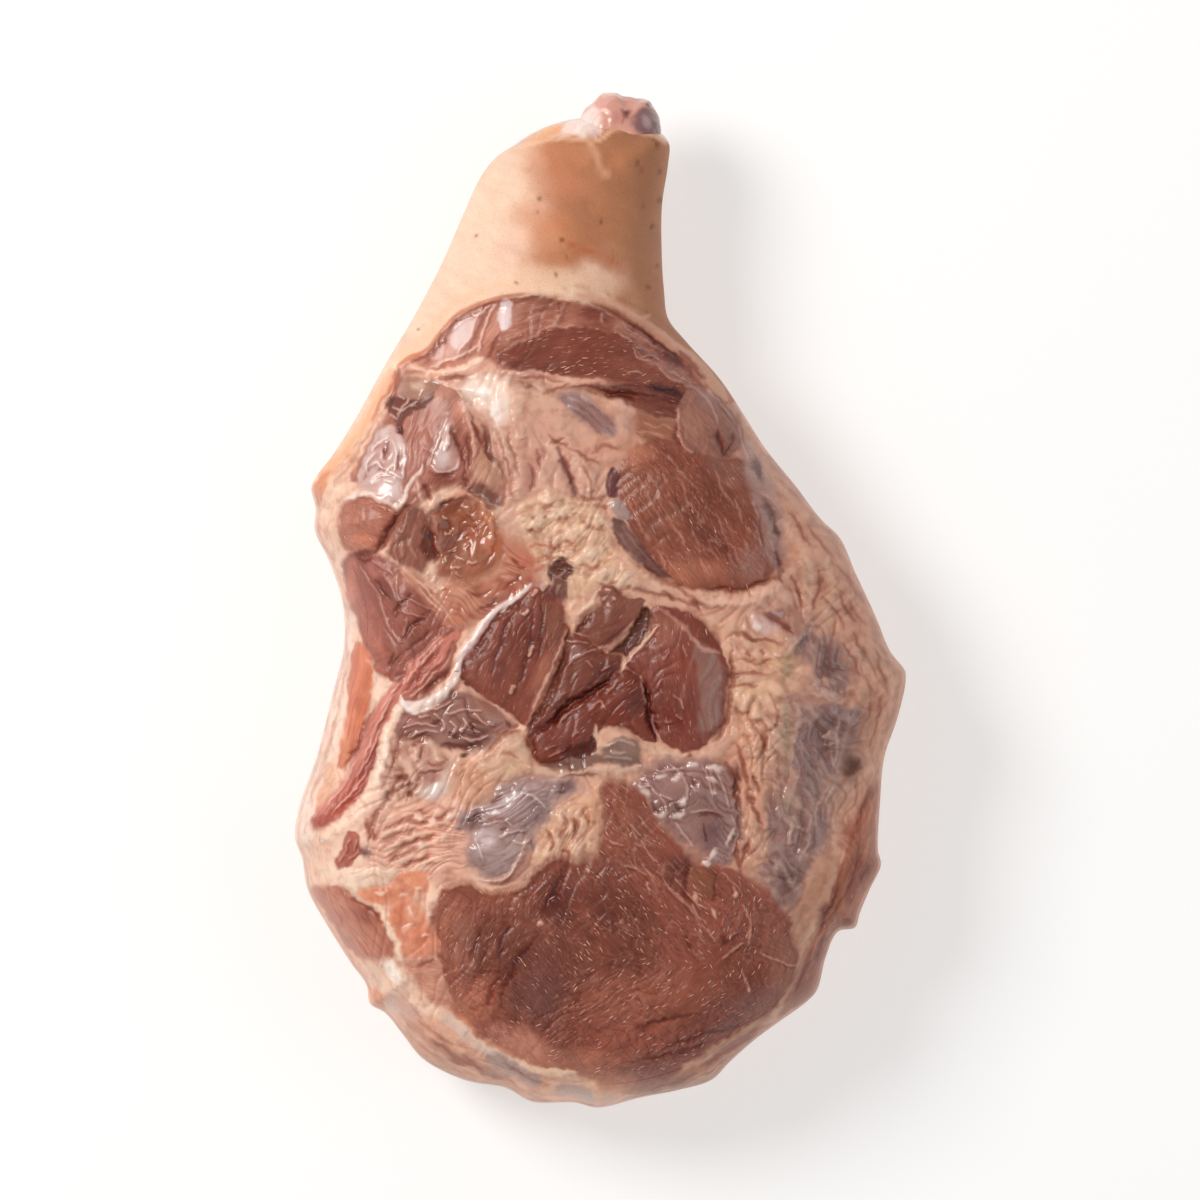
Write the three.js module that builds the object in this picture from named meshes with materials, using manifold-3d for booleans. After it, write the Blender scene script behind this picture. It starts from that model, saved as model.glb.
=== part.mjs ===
// A whole raw pork shoulder with its shank, bone in, lying on its rind with the cut face up.
// Millimetres. +X is to the right of the face, +Y points along the shank, +Z is up.
// The origin is on the surface it lies on, under the middle of its length and width.
import * as THREE from 'three';
import { mergeVertices } from 'three/addons/utils/BufferGeometryUtils.js';
import Module from 'manifold-3d';

// ---- Driving dimensions ----
const LENGTH = 470; // joint end of the shank to the round shoulder end
const RIND_STEP = 3; // how far the cut face lies below the edge of the rind
const SOCKET_DEPTH = 9; // the bared joint socket in the cut face
const BONE_WIDTH = 41; // across the knuckle of the shank bone
const BONE_REACH = 28; // from the knuckle's middle to its joint end
const BONE_HEIGHT = 39; // the knuckle, top to bottom
const BONE_LEVEL = 50; // the knuckle's middle above the surface
const BONE_GAP = 0.4; // clearance between the bone and the meat round it

// ---- Mesh density ----
const RIM_SAMPLES = 120; // points along the outline
const EDGE_RINGS = 7; // rings over the rounded edge of the face
const FACE_RINGS = 16; // rings from that edge in to the middle line
const UNDER_EDGE_RINGS = 5;
const UNDER_RINGS = 5;
const LAST_RING = 0.985; // where the rings stop, as a share of the way to the middle line
const FINE_SAMPLES = 360; // points along the outline for measuring distances

// ---- Plan view ----
// Plan points are read on a square plan grid that is 1200 units wide: right is +X, down is -Y.
const PLAN_TOP = 91;
const PLAN_BOTTOM = 1108;
const PLAN_MIDDLE_X = 600;
const PLAN_MIDDLE_Y = (PLAN_TOP + PLAN_BOTTOM) / 2;
const UNIT = LENGTH / (PLAN_BOTTOM - PLAN_TOP);

function plan(px, py) {
  return new THREE.Vector2((px - PLAN_MIDDLE_X) * UNIT, (PLAN_MIDDLE_Y - py) * UNIT);
}

function planLine(points) {
  return points.map(([px, py]) => plan(px, py));
}

// Outline of the meat seen from above, clockwise from the left of the shank's cut end.
const OUTLINE = [
  // end of the shank
  [512, 146], [530, 134], [552, 124], [578, 118], [610, 119], [640, 124], [660, 132], [669, 143],
  // right side of the shank
  [668, 165], [662, 205], [662, 260], [664, 290], [668, 318], [685, 340], [720, 379],
  // right side of the shoulder
  [744, 415], [765, 448], [795, 485], [820, 518], [840, 538], [855, 572], [875, 615], [890, 651],
  [905, 671], [905, 684], [897, 718], [884, 757], [880, 800], [878, 850], [881, 864], [870, 888],
  [860, 912], [855, 927], [838, 931], [826, 956], [817, 990], [805, 1003], [780, 1021],
  // round shoulder end
  [757, 1038], [730, 1062], [712, 1080], [680, 1090], [640, 1098], [598, 1108], [575, 1103],
  [532, 1102], [505, 1088], [470, 1082], [440, 1070], [420, 1057], [405, 1038], [385, 1013],
  // left side of the shoulder
  [370, 1004], [366, 985], [350, 962], [325, 922], [307, 888], [302, 858], [295, 838], [298, 810],
  [317, 755], [332, 695], [344, 645], [342, 600], [328, 558], [315, 530], [316, 508], [312, 486],
  // left side of the shank
  [335, 452], [356, 418], [388, 360], [412, 320], [441, 265], [463, 215], [480, 178], [495, 158],
];

// Middle line of the plan, which the rings of the mesh close in on: plan x at each plan y.
const MIDDLE_LINE = [[195, 574], [300, 552], [400, 560], [550, 590], [700, 612], [850, 594]];

// ---- Heights along the length: plan y, then millimetres ----
const TOP_LINE = [[91, 76], [150, 80], [300, 92], [400, 101], [520, 105], [800, 106], [950, 101], [1108, 86]];
const UNDER_LINE = [[91, 21], [150, 18], [300, 8], [420, 0], [1108, 0]];

// How far the rounding of the face reaches in from the outline, on the left and on the right.
const LEFT_ROUNDING = [[110, 14], [165, 36], [300, 50], [450, 48], [620, 34], [830, 34], [1000, 30], [1108, 24]];
const RIGHT_ROUNDING = [[110, 14], [165, 36], [300, 50], [450, 56], [700, 68], [900, 58], [1000, 40], [1108, 24]];
const UNDER_ROUNDING = [[110, 14], [165, 36], [300, 50], [450, 60], [900, 60], [1108, 40]];

// Level of the outline, as a share of the thickness there.
const LEFT_LEVEL = [[150, 0.5], [450, 0.55], [620, 0.4], [830, 0.38], [1000, 0.34], [1108, 0.34]];
const RIGHT_LEVEL = [[150, 0.5], [450, 0.5], [700, 0.5], [900, 0.45], [1000, 0.4], [1108, 0.34]];
const SIDE_BLEND = 30; // millimetres over which the left values turn into the right ones

// ---- Relief of the cut face ----
// Muscles stand proud: middle, half length, half width (plan units), turn in degrees, height in mm.
const MUSCLES = [
  { at: [590, 342], size: [110, 36], turn: -12, height: 5 }, // upper shank muscle
  { at: [425, 440], size: [52, 40], turn: 60, height: 4 }, // left film-covered muscle
  { at: [370, 525], size: [36, 30], turn: 20, height: 4 }, // small oval muscle at the left edge
  { at: [395, 615], size: [66, 44], turn: -60, height: 5 }, // lower left muscle
  { at: [698, 515], size: [88, 62], turn: -52, height: 6 }, // big oval muscle
  { at: [706, 425], size: [30, 26], turn: -60, height: 3 }, // small muscle beside it
  { at: [522, 660], size: [66, 34], turn: 65, height: 5 }, // left blade of the middle group
  { at: [600, 715], size: [62, 28], turn: 12, height: 4 }, // lower blade of the middle group
  { at: [684, 680], size: [74, 40], turn: -75, height: 6 }, // right lobe of the middle group
  { at: [520, 820], size: [56, 40], turn: 50, height: 6 }, // left grey membrane bulge
  { at: [712, 822], size: [52, 42], turn: -50, height: 5 }, // right grey membrane bulge
  { at: [620, 950], size: [175, 125], turn: 10, height: 5 }, // big lower muscle
  { at: [500, 750], size: [36, 24], turn: 0, height: 4 }, // fat lump over the membrane
  { at: [580, 825], size: [30, 24], turn: 60, height: 3 }, // fat lumps between the membranes
  { at: [820, 690], size: [120, 44], turn: -78, height: 4 }, // fat of the right side
];

// Crevices between them: centre line, half width and depth in mm.
const CREVICES = [
  { line: [[520, 382], [600, 392], [650, 398], [690, 402]], width: 7, depth: 5 },
  { line: [[625, 400], [655, 408], [680, 405]], width: 8, depth: 6 },
  { line: [[618, 465], [608, 500], [618, 545]], width: 7, depth: 4 },
  { line: [[412, 505], [398, 530], [380, 552]], width: 7, depth: 4 },
  { line: [[545, 545], [560, 570], [535, 590]], width: 7, depth: 5 },
  { line: [[645, 612], [622, 655], [578, 700], [535, 738]], width: 8, depth: 6 },
  { line: [[455, 628], [420, 668], [385, 725], [340, 790]], width: 7, depth: 4 },
  { line: [[545, 765], [600, 760], [655, 745]], width: 7, depth: 4 },
  { line: [[728, 640], [726, 690], [712, 740]], width: 7, depth: 4 },
  { line: [[440, 888], [500, 880], [560, 858], [600, 795], [640, 792], [670, 845], [740, 878]], width: 7, depth: 3 },
  { line: [[560, 870], [525, 950], [503, 1005]], width: 7, depth: 3 },
  { line: [[760, 715], [765, 745], [752, 800]], width: 7, depth: 3 },
];

// The bared joint socket, a round dish.
const SOCKET_AT = [466, 535];
const SOCKET_RADIUS = 19;

// The edge of the rind across the shank, closed far below the face: inside it the rind is cut away.
const CUT_FACE = [
  [398, 367], [422, 354], [446, 327], [478, 305], [515, 296], [560, 298], [605, 309], [645, 335],
  [688, 365], [722, 400], [1000, 700], [1000, 1300], [200, 1300], [200, 620], [312, 500],
  [350, 458], [378, 415],
];

// The edge of the rind at the shank's end: beyond it the rind is cut away round the joint.
const SHANK_END_CUT = [
  [400, 170], [512, 148], [545, 141], [580, 140], [620, 130], [655, 137], [800, 150],
  [800, 0], [400, 0],
];
const STEP_WIDTH = 5; // millimetres over which the rind's edge falls to the meat

// The knuckle of the shank bone, on the plan grid.
const BONE_AT = [619, 152];

// ---- Small helpers ----
function smoothStep(value) {
  const t = Math.min(Math.max(value, 0), 1);
  return t * t * (3 - 2 * t);
}

// Smooth value of a table of [station, value] pairs at a station.
function tableValue(table, station) {
  if (station <= table[0][0]) return table[0][1];
  for (let i = 1; i < table.length; i += 1) {
    const [start, low] = table[i - 1];
    const [end, high] = table[i];
    if (station <= end) {
      return low + (high - low) * smoothStep((station - start) / (end - start));
    }
  }
  return table[table.length - 1][1];
}

function distanceToSegment(x, y, a, b) {
  const dx = b.x - a.x;
  const dy = b.y - a.y;
  const along = ((x - a.x) * dx + (y - a.y) * dy) / (dx * dx + dy * dy);
  const t = Math.min(Math.max(along, 0), 1);
  return Math.hypot(x - a.x - t * dx, y - a.y - t * dy);
}

function distanceToLine(x, y, line) {
  let nearest = Infinity;
  for (let i = 1; i < line.length; i += 1) {
    nearest = Math.min(nearest, distanceToSegment(x, y, line[i - 1], line[i]));
  }
  return nearest;
}

// Distance to a closed line, positive inside it.
function depthInside(x, y, ring) {
  let inside = false;
  let nearest = Infinity;
  for (let i = 0; i < ring.length; i += 1) {
    const a = ring[i];
    const b = ring[(i + 1) % ring.length];
    nearest = Math.min(nearest, distanceToSegment(x, y, a, b));
    if (a.y > y !== b.y > y && x < a.x + ((y - a.y) * (b.x - a.x)) / (b.y - a.y)) {
      inside = !inside;
    }
  }
  return inside ? nearest : -nearest;
}

// ---- The form of the meat ----
const outlineCurve = new THREE.CatmullRomCurve3(
  OUTLINE.map(([px, py]) => new THREE.Vector3(plan(px, py).x, plan(px, py).y, 0)),
  true,
  'centripetal',
);
const fineOutline = outlineCurve.getSpacedPoints(FINE_SAMPLES).slice(0, FINE_SAMPLES);
const cutFace = planLine(CUT_FACE);
const shankEndCut = planLine(SHANK_END_CUT);
const crevices = CREVICES.map((crevice) => ({ ...crevice, line: planLine(crevice.line) }));

function stationOf(y) {
  return PLAN_MIDDLE_Y - y / UNIT;
}

function middleX(y) {
  return (tableValue(MIDDLE_LINE, stationOf(y)) - PLAN_MIDDLE_X) * UNIT;
}

// A value that has one table for the left side and one for the right.
function sideValue(leftTable, rightTable, x, y) {
  const station = stationOf(y);
  const right = smoothStep(0.5 + (x - middleX(y)) / (2 * SIDE_BLEND));
  return tableValue(leftTable, station) * (1 - right) + tableValue(rightTable, station) * right;
}

function edgeLevel(x, y) {
  const station = stationOf(y);
  const under = tableValue(UNDER_LINE, station);
  const top = tableValue(TOP_LINE, station);
  return under + (top - under) * sideValue(LEFT_LEVEL, RIGHT_LEVEL, x, y);
}

// Rise of a quarter circle, from 0 at the outline to 1 where the rounding ends.
function quarterRound(share) {
  const t = Math.min(Math.max(share, 0), 1);
  return Math.sqrt(1 - (1 - t) * (1 - t));
}

function relief(x, y) {
  let height = -RIND_STEP * smoothStep(depthInside(x, y, cutFace) / STEP_WIDTH);
  height -= RIND_STEP * smoothStep(depthInside(x, y, shankEndCut) / STEP_WIDTH);
  for (const { at, size, turn, height: rise } of MUSCLES) {
    const middle = plan(at[0], at[1]);
    const angle = THREE.MathUtils.degToRad(turn);
    const dx = x - middle.x;
    const dy = y - middle.y;
    const along = (dx * Math.cos(angle) + dy * Math.sin(angle)) / (size[0] * UNIT);
    const across = (dy * Math.cos(angle) - dx * Math.sin(angle)) / (size[1] * UNIT);
    const bulge = Math.max(0, 1 - along * along - across * across);
    height += rise * Math.sqrt(bulge) * smoothStep(2 * bulge);
  }
  for (const { line, width, depth } of crevices) {
    const away = distanceToLine(x, y, line) / width;
    height -= depth * Math.exp(-away * away);
  }
  const socket = plan(SOCKET_AT[0], SOCKET_AT[1]);
  const fromSocket = Math.hypot(x - socket.x, y - socket.y) / SOCKET_RADIUS;
  height -= SOCKET_DEPTH * Math.max(0, 1 - fromSocket * fromSocket);
  return height;
}

function topHeight(x, y) {
  const inward = depthInside(x, y, fineOutline);
  const level = edgeLevel(x, y);
  const rounding = quarterRound(inward / sideValue(LEFT_ROUNDING, RIGHT_ROUNDING, x, y));
  const top = tableValue(TOP_LINE, stationOf(y));
  return level + (top - level + relief(x, y)) * rounding;
}

function underHeight(x, y) {
  const inward = depthInside(x, y, fineOutline);
  const level = edgeLevel(x, y);
  const rounding = quarterRound(inward / tableValue(UNDER_ROUNDING, stationOf(y)));
  const under = tableValue(UNDER_LINE, stationOf(y));
  return level + (under - level) * rounding;
}

// ---- The meat's closed mesh: rings from the middle of the underside, round the edge, to the face ----
function ringShares(edgeRings, innerRings, reach, rounding) {
  const edgeShare = Math.min(rounding / reach, 0.8);
  const shares = [];
  for (let i = 1; i <= edgeRings; i += 1) {
    shares.push(edgeShare * (1 - Math.cos((i / edgeRings) * (Math.PI / 2))));
  }
  for (let i = 1; i <= innerRings; i += 1) {
    shares.push(edgeShare + (LAST_RING - edgeShare) * (i / innerRings));
  }
  return shares;
}

// Triangles between the two sides of a narrow closed loop, which runs down its right side first.
function zipTriangles(heights) {
  const count = heights.length;
  const first = heights.indexOf(Math.max(...heights));
  const last = heights.indexOf(Math.min(...heights));
  const triangles = [];
  let right = first;
  let left = first;
  for (let step = 0; step < count; step += 1) {
    const nextRight = (right + 1) % count;
    const nextLeft = (left + count - 1) % count;
    const rightMoves = left === last || (right !== last && heights[nextRight] >= heights[nextLeft]);
    const next = rightMoves ? nextRight : nextLeft;
    if (left !== right && next !== left && next !== right) {
      triangles.push([right, left, next]);
    }
    if (rightMoves) right = next;
    else left = next;
  }
  return triangles;
}

function meatGeometry() {
  const rim = outlineCurve.getSpacedPoints(RIM_SAMPLES).slice(0, RIM_SAMPLES);
  const spineStart = plan(0, MIDDLE_LINE[0][0]).y;
  const spineEnd = plan(0, MIDDLE_LINE[MIDDLE_LINE.length - 1][0]).y;
  const halfLength = LENGTH / 2;
  const columns = rim.map((point) => {
    const share = (halfLength - point.y) / LENGTH;
    const spineY = spineStart + (spineEnd - spineStart) * share;
    const spineX = middleX(spineY);
    const reach = Math.hypot(spineX - point.x, spineY - point.y);
    const column = [];
    const topRounding = sideValue(LEFT_ROUNDING, RIGHT_ROUNDING, point.x, point.y);
    const underRounding = tableValue(UNDER_ROUNDING, stationOf(point.y));
    const place = (amount) => [
      point.x + (spineX - point.x) * amount,
      point.y + (spineY - point.y) * amount,
    ];
    for (const amount of ringShares(UNDER_EDGE_RINGS, UNDER_RINGS, reach, underRounding).reverse()) {
      const [x, y] = place(amount);
      column.push([x, y, underHeight(x, y)]);
    }
    column.push([point.x, point.y, edgeLevel(point.x, point.y)]);
    for (const amount of ringShares(EDGE_RINGS, FACE_RINGS, reach, topRounding)) {
      const [x, y] = place(amount);
      column.push([x, y, topHeight(x, y)]);
    }
    return column;
  });

  const rings = columns[0].length;
  const positions = columns.flat(2);
  const triangles = [];
  const vertex = (sample, ring) => (sample % RIM_SAMPLES) * rings + ring;
  // Each cell is split along its more level diagonal, which follows the crevices.
  for (let sample = 0; sample < RIM_SAMPLES; sample += 1) {
    for (let ring = 0; ring < rings - 1; ring += 1) {
      const here = vertex(sample, ring);
      const beside = vertex(sample + 1, ring);
      const rise = Math.abs(positions[here * 3 + 2] - positions[(beside + 1) * 3 + 2]);
      const fall = Math.abs(positions[(here + 1) * 3 + 2] - positions[beside * 3 + 2]);
      if (rise < fall) {
        triangles.push(here, here + 1, beside + 1, here, beside + 1, beside);
      } else {
        triangles.push(here, here + 1, beside, beside, here + 1, beside + 1);
      }
    }
  }
  // The slot left along the middle line is closed like a zip, on the underside and on the face.
  for (const ring of [0, rings - 1]) {
    for (const [a, b, c] of zipTriangles(columns.map((column) => column[ring][1]))) {
      const face = [vertex(a, ring), vertex(b, ring), vertex(c, ring)];
      triangles.push(...(ring > 0 ? face : face.reverse()));
    }
  }
  const geometry = new THREE.BufferGeometry();
  geometry.setAttribute('position', new THREE.Float32BufferAttribute(positions, 3));
  geometry.setIndex(triangles);
  return geometry;
}

// ---- The knuckle of the shank bone: a rounded block with two joint heads and a groove between ----
function boneGeometry(extra) {
  const middle = plan(BONE_AT[0], BONE_AT[1]);
  const geometry = new THREE.SphereGeometry(1, 32, 20);
  geometry.deleteAttribute('normal');
  geometry.deleteAttribute('uv');
  const points = geometry.attributes.position;
  for (let i = 0; i < points.count; i += 1) {
    const x = points.getX(i);
    const y = points.getY(i);
    const z = points.getZ(i);
    const towardsEnd = Math.max(y, 0);
    const groove = 0.1 * towardsEnd * Math.exp(-(((x + 0.15) / 0.22) ** 2));
    const squareness = 0.1 * (1 - Math.abs(x) ** 4 - Math.abs(y) ** 4 - Math.abs(z) ** 4);
    const swell = 1 + squareness - groove;
    points.setXYZ(
      i,
      middle.x + x * swell * (BONE_WIDTH / 2 + extra),
      middle.y + y * swell * (BONE_REACH + extra),
      BONE_LEVEL + z * swell * (BONE_HEIGHT / 2 + extra),
    );
  }
  return mergeVertices(geometry);
}

// ---- The bone's seat is cut from the meat ----
const wasm = await Module();
wasm.setup();

function solidOf(geometry) {
  const merged = mergeVertices(geometry);
  return new wasm.Manifold(new wasm.Mesh({
    numProp: 3,
    vertProperties: new Float32Array(merged.attributes.position.array),
    triVerts: new Uint32Array(merged.index.array),
  }));
}

function geometryOf(solid) {
  const mesh = solid.getMesh();
  const geometry = new THREE.BufferGeometry();
  geometry.setAttribute('position', new THREE.BufferAttribute(mesh.vertProperties, 3));
  geometry.setIndex(new THREE.BufferAttribute(mesh.triVerts, 1));
  return geometry;
}

const seatedMeat = solidOf(meatGeometry()).subtract(solidOf(boneGeometry(BONE_GAP)));

const meat = new THREE.Mesh(
  geometryOf(seatedMeat),
  new THREE.MeshStandardMaterial({ color: 0xb9796a, roughness: 0.45, metalness: 0 }),
);
meat.name = 'shoulder_meat';

const bone = new THREE.Mesh(
  boneGeometry(0),
  new THREE.MeshStandardMaterial({ color: 0xe3c2b4, roughness: 0.35, metalness: 0 }),
);
bone.name = 'shank_bone';

const group = new THREE.Group();
group.add(meat, bone);
export default group;
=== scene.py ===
import math

import bmesh
import bpy
import numpy as np
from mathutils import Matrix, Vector, geometry


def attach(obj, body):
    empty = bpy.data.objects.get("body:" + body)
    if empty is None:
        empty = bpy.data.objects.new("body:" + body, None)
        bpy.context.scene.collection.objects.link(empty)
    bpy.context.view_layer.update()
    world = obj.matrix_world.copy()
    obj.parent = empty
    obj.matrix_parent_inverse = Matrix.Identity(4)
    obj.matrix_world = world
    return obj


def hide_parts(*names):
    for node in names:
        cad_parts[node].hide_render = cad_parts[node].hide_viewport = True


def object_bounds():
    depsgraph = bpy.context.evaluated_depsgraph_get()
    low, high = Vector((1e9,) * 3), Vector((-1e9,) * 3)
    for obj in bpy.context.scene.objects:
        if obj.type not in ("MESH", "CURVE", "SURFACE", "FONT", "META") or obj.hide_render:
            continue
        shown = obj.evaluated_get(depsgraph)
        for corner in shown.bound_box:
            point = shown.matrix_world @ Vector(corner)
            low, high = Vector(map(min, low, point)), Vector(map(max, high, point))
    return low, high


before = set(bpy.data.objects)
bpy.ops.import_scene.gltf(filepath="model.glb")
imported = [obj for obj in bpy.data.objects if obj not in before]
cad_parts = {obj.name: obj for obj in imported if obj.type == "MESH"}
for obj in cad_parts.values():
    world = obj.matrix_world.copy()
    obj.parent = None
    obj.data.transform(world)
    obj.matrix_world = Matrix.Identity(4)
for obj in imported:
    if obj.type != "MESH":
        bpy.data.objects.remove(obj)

cad_box = [list(corner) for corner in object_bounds()]


# ---------------------------------------------------------------- studio
# A plain pale table top, one big soft light from the upper left, a weak one from the right and
# pale walls all round. The camera hangs straight above the cut face, as for a catalogue picture.

LENGTH = 0.470  # metres, joint end to the round shoulder end
PLAN_WIDTH = 1200  # plan points are read on a square grid of so many units
PLAN_TOP = 91
PLAN_BOTTOM = 1108
PLAN_MIDDLE_X = 600
PLAN_MIDDLE_Y = (PLAN_TOP + PLAN_BOTTOM) / 2
UNIT = LENGTH / (PLAN_BOTTOM - PLAN_TOP)  # metres to one plan unit
PICTURE_WIDTH = PLAN_WIDTH * UNIT
CAMERA_HEIGHT = 8.0
OUTLINE_HEIGHT = 0.045  # where the outline lies, so that it fills the picture as it should
SENSOR = 36.0  # millimetres
TABLE_REACH = 6.0  # metres from the middle of the table to its edges
TABLE_DROP = 0.0005  # metres that the table lies below the rind, so that they don't share a plane
TABLE_GLOW = 0.42
TABLE_GREY = (0.56, 0.56, 0.56, 1.0)
TABLE_WHITE = (0.58, 0.58, 0.58, 1.0)
WALL_COLOUR = (1.0, 0.98, 0.965, 1.0)
WALL_STRENGTH = 0.5


def srgb(red, green, blue):
    """A colour as it is seen on a screen, 0 to 255, as the light it sends back."""
    seen = np.array([red, green, blue], float) / 255
    return np.where(seen <= 0.04045, seen / 12.92, ((seen + 0.055) / 1.055) ** 2.4)


class Wire:
    """A shader socket. Used in an expression, it adds the Math nodes that work it out."""

    def __init__(self, finish, socket):
        self.finish = finish
        self.socket = socket

    def math(self, operation, *others):
        values = dict(enumerate((self, *others)))
        return self.finish.node("ShaderNodeMath", {"operation": operation}, values)

    def __add__(self, other):
        return self.math("ADD", other)

    def __sub__(self, other):
        return self.math("SUBTRACT", other)

    def __mul__(self, other):
        return self.math("MULTIPLY", other)

    def __rsub__(self, other):
        return (self * -1.0) + other

    __radd__ = __add__
    __rmul__ = __mul__

    def between(self, low, high):
        """0 below low, 1 above high, smooth between."""
        settings = {"interpolation_type": "SMOOTHSTEP"}
        values = {"Value": self, "From Min": low, "From Max": high}
        return self.finish.node("ShaderNodeMapRange", settings, values)


class Finish:
    """A material under construction."""

    def __init__(self, name):
        self.material = bpy.data.materials.new(name)
        self.material.use_nodes = True
        self.tree = self.material.node_tree
        self.tree.nodes.clear()

    def node(self, kind, settings, values, output=0):
        made = self.tree.nodes.new(kind)
        for key, value in settings.items():
            setattr(made, key, value)
        for key, value in values.items():
            target = made.inputs[key]
            if isinstance(value, Wire):
                self.tree.links.new(value.socket, target)
            else:
                target.default_value = value
        return Wire(self, made.outputs[output])

    def mix(self, amount, first, second, blend="MIX"):
        settings = {"data_type": "RGBA", "blend_type": blend}
        values = {0: amount, 6: first, 7: second}
        return self.node("ShaderNodeMix", settings, values, 2)

    def attribute(self, name, output=0):
        return self.node("ShaderNodeAttribute", {"attribute_name": name}, {}, output)

    def noise(self, spot, scale, detail=2.0, roughness=0.5):
        values = {"Vector": spot, "Scale": scale, "Detail": detail, "Roughness": roughness}
        return self.node("ShaderNodeTexNoise", {}, values)

    def stretched(self, spot, scale):
        """The place with each of its axes scaled on its own."""
        return self.node("ShaderNodeVectorMath", {"operation": "MULTIPLY"}, {0: spot, 1: scale})

    def own_place(self):
        """Where a point lies on the piece, in metres."""
        return self.node("ShaderNodeTexCoord", {}, {}, 3)

    def surface(self, constants, **values):
        shader = self.node("ShaderNodeBsdfPrincipled", {}, {**constants, **values})
        end = self.tree.nodes.new("ShaderNodeOutputMaterial")
        self.tree.links.new(shader.socket, end.inputs["Surface"])
        return self.material


def colour4(value):
    return (*[float(part) for part in value], 1.0)


def mesh_object(name, points, faces, material):
    """A mesh object from points (metres) and faces, linked to the scene."""
    mesh = bpy.data.meshes.new(name)
    mesh.from_pydata(points, [], faces)
    mesh.shade_smooth()
    mesh.materials.append(material)
    made = bpy.data.objects.new(name, mesh)
    bpy.context.scene.collection.objects.link(made)
    return made


def soft_light(name, spot, size, power, colour):
    """A round lamp that faces the middle of the table."""
    lamp = bpy.data.lights.new(name, "AREA")
    lamp.shape = "DISK"
    lamp.size = size
    lamp.energy = power
    lamp.color = colour
    made = bpy.data.objects.new(name, lamp)
    made.location = spot
    made.rotation_euler = Vector(spot).to_track_quat("Z", "Y").to_euler()
    bpy.context.scene.collection.objects.link(made)


def table_finish():
    table = Finish("table_top")
    cloud = table.noise(table.own_place(), 3.0)
    constants = {
        "Roughness": 0.8,
        "Specular IOR Level": 0.1,
        "Emission Strength": TABLE_GLOW,
        "Emission Color": (1.0, 1.0, 1.0, 1.0),
    }
    return table.surface(constants, **{"Base Color": table.mix(cloud, TABLE_GREY, TABLE_WHITE)})


table_corners = [(-1, -1), (1, -1), (1, 1), (-1, 1)]
table_top = mesh_object(
    "table_top",
    [(x * TABLE_REACH, y * TABLE_REACH, -TABLE_DROP) for x, y in table_corners],
    [(0, 1, 2, 3)],
    table_finish(),
)

soft_light("window_light", spot=(-1.4, 0.8, 1.7), size=1.0, power=37.0, colour=(1.0, 0.975, 0.94))
soft_light("fill_light", spot=(1.7, -0.4, 1.7), size=1.8, power=9.0, colour=(1.0, 0.98, 0.97))

world = bpy.data.worlds.new("pale_walls")
world.use_nodes = True
walls = world.node_tree.nodes["Background"].inputs
walls["Color"].default_value = WALL_COLOUR
walls["Strength"].default_value = WALL_STRENGTH
bpy.context.scene.world = world
bpy.context.scene.view_settings.view_transform = "Standard"

camera = bpy.data.objects.new("camera", bpy.data.cameras.new("camera"))
camera.data.sensor_width = SENSOR
camera.data.lens = SENSOR * (CAMERA_HEIGHT - OUTLINE_HEIGHT) / PICTURE_WIDTH
camera.location = (0, 0, CAMERA_HEIGHT)
bpy.context.scene.collection.objects.link(camera)
bpy.context.scene.camera = camera


# ---------------------------------------------------------------- form of the whole shoulder
# One round, flattened mass that narrows into the shank. Its outline, its heights along the length
# and the rounding of its edges are the same named values as in the solid that it dresses.

OUTLINE = [
    # end of the shank
    (512, 146), (530, 134), (552, 124), (578, 118), (610, 119), (640, 124), (660, 132), (669, 143),
    # right side of the shank
    (668, 165), (662, 205), (662, 260), (664, 290), (668, 318), (685, 340), (720, 379),
    # right side of the shoulder
    (744, 415), (765, 448), (795, 485), (820, 518), (840, 538), (855, 572), (875, 615), (890, 651),
    (905, 671), (905, 684), (897, 718), (884, 757), (880, 800), (878, 850), (881, 864), (870, 888),
    (860, 912), (855, 927), (838, 931), (826, 956), (817, 990), (805, 1003), (780, 1021),
    # round shoulder end
    (757, 1038), (730, 1062), (712, 1080), (680, 1090), (640, 1098), (598, 1108), (575, 1103),
    (532, 1102), (505, 1088), (470, 1082), (440, 1070), (420, 1057), (405, 1038), (385, 1013),
    # left side of the shoulder
    (370, 1004), (366, 985), (350, 962), (325, 922), (307, 888), (302, 858), (295, 838), (298, 810),
    (317, 755), (332, 695), (344, 645), (342, 600), (328, 558), (315, 530), (316, 508), (312, 486),
    # left side of the shank
    (335, 452), (356, 418), (388, 360), (412, 320), (441, 265), (463, 215), (480, 178), (495, 158),
]
MIDDLE_LINE = [(195, 574), (300, 552), (400, 560), (550, 590), (700, 612), (850, 594)]
TOP_LINE = [(91, 76), (150, 80), (300, 92), (400, 101), (520, 105), (800, 106), (950, 101), (1108, 86)]
UNDER_LINE = [(91, 21), (150, 18), (300, 8), (420, 0), (1108, 0)]
LEFT_ROUNDING = [(110, 14), (165, 36), (300, 50), (450, 48), (620, 34), (830, 34), (1000, 30), (1108, 24)]
RIGHT_ROUNDING = [(110, 14), (165, 36), (300, 50), (450, 56), (700, 68), (900, 58), (1000, 40), (1108, 24)]
UNDER_ROUNDING = [(110, 14), (165, 36), (300, 50), (450, 60), (900, 60), (1108, 40)]
LEFT_LEVEL = [(150, 0.5), (450, 0.55), (620, 0.4), (830, 0.38), (1000, 0.34), (1108, 0.34)]
RIGHT_LEVEL = [(150, 0.5), (450, 0.5), (700, 0.5), (900, 0.45), (1000, 0.4), (1108, 0.34)]
SIDE_BLEND = 0.030 / UNIT  # plan units over which the left values turn into the right ones
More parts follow.
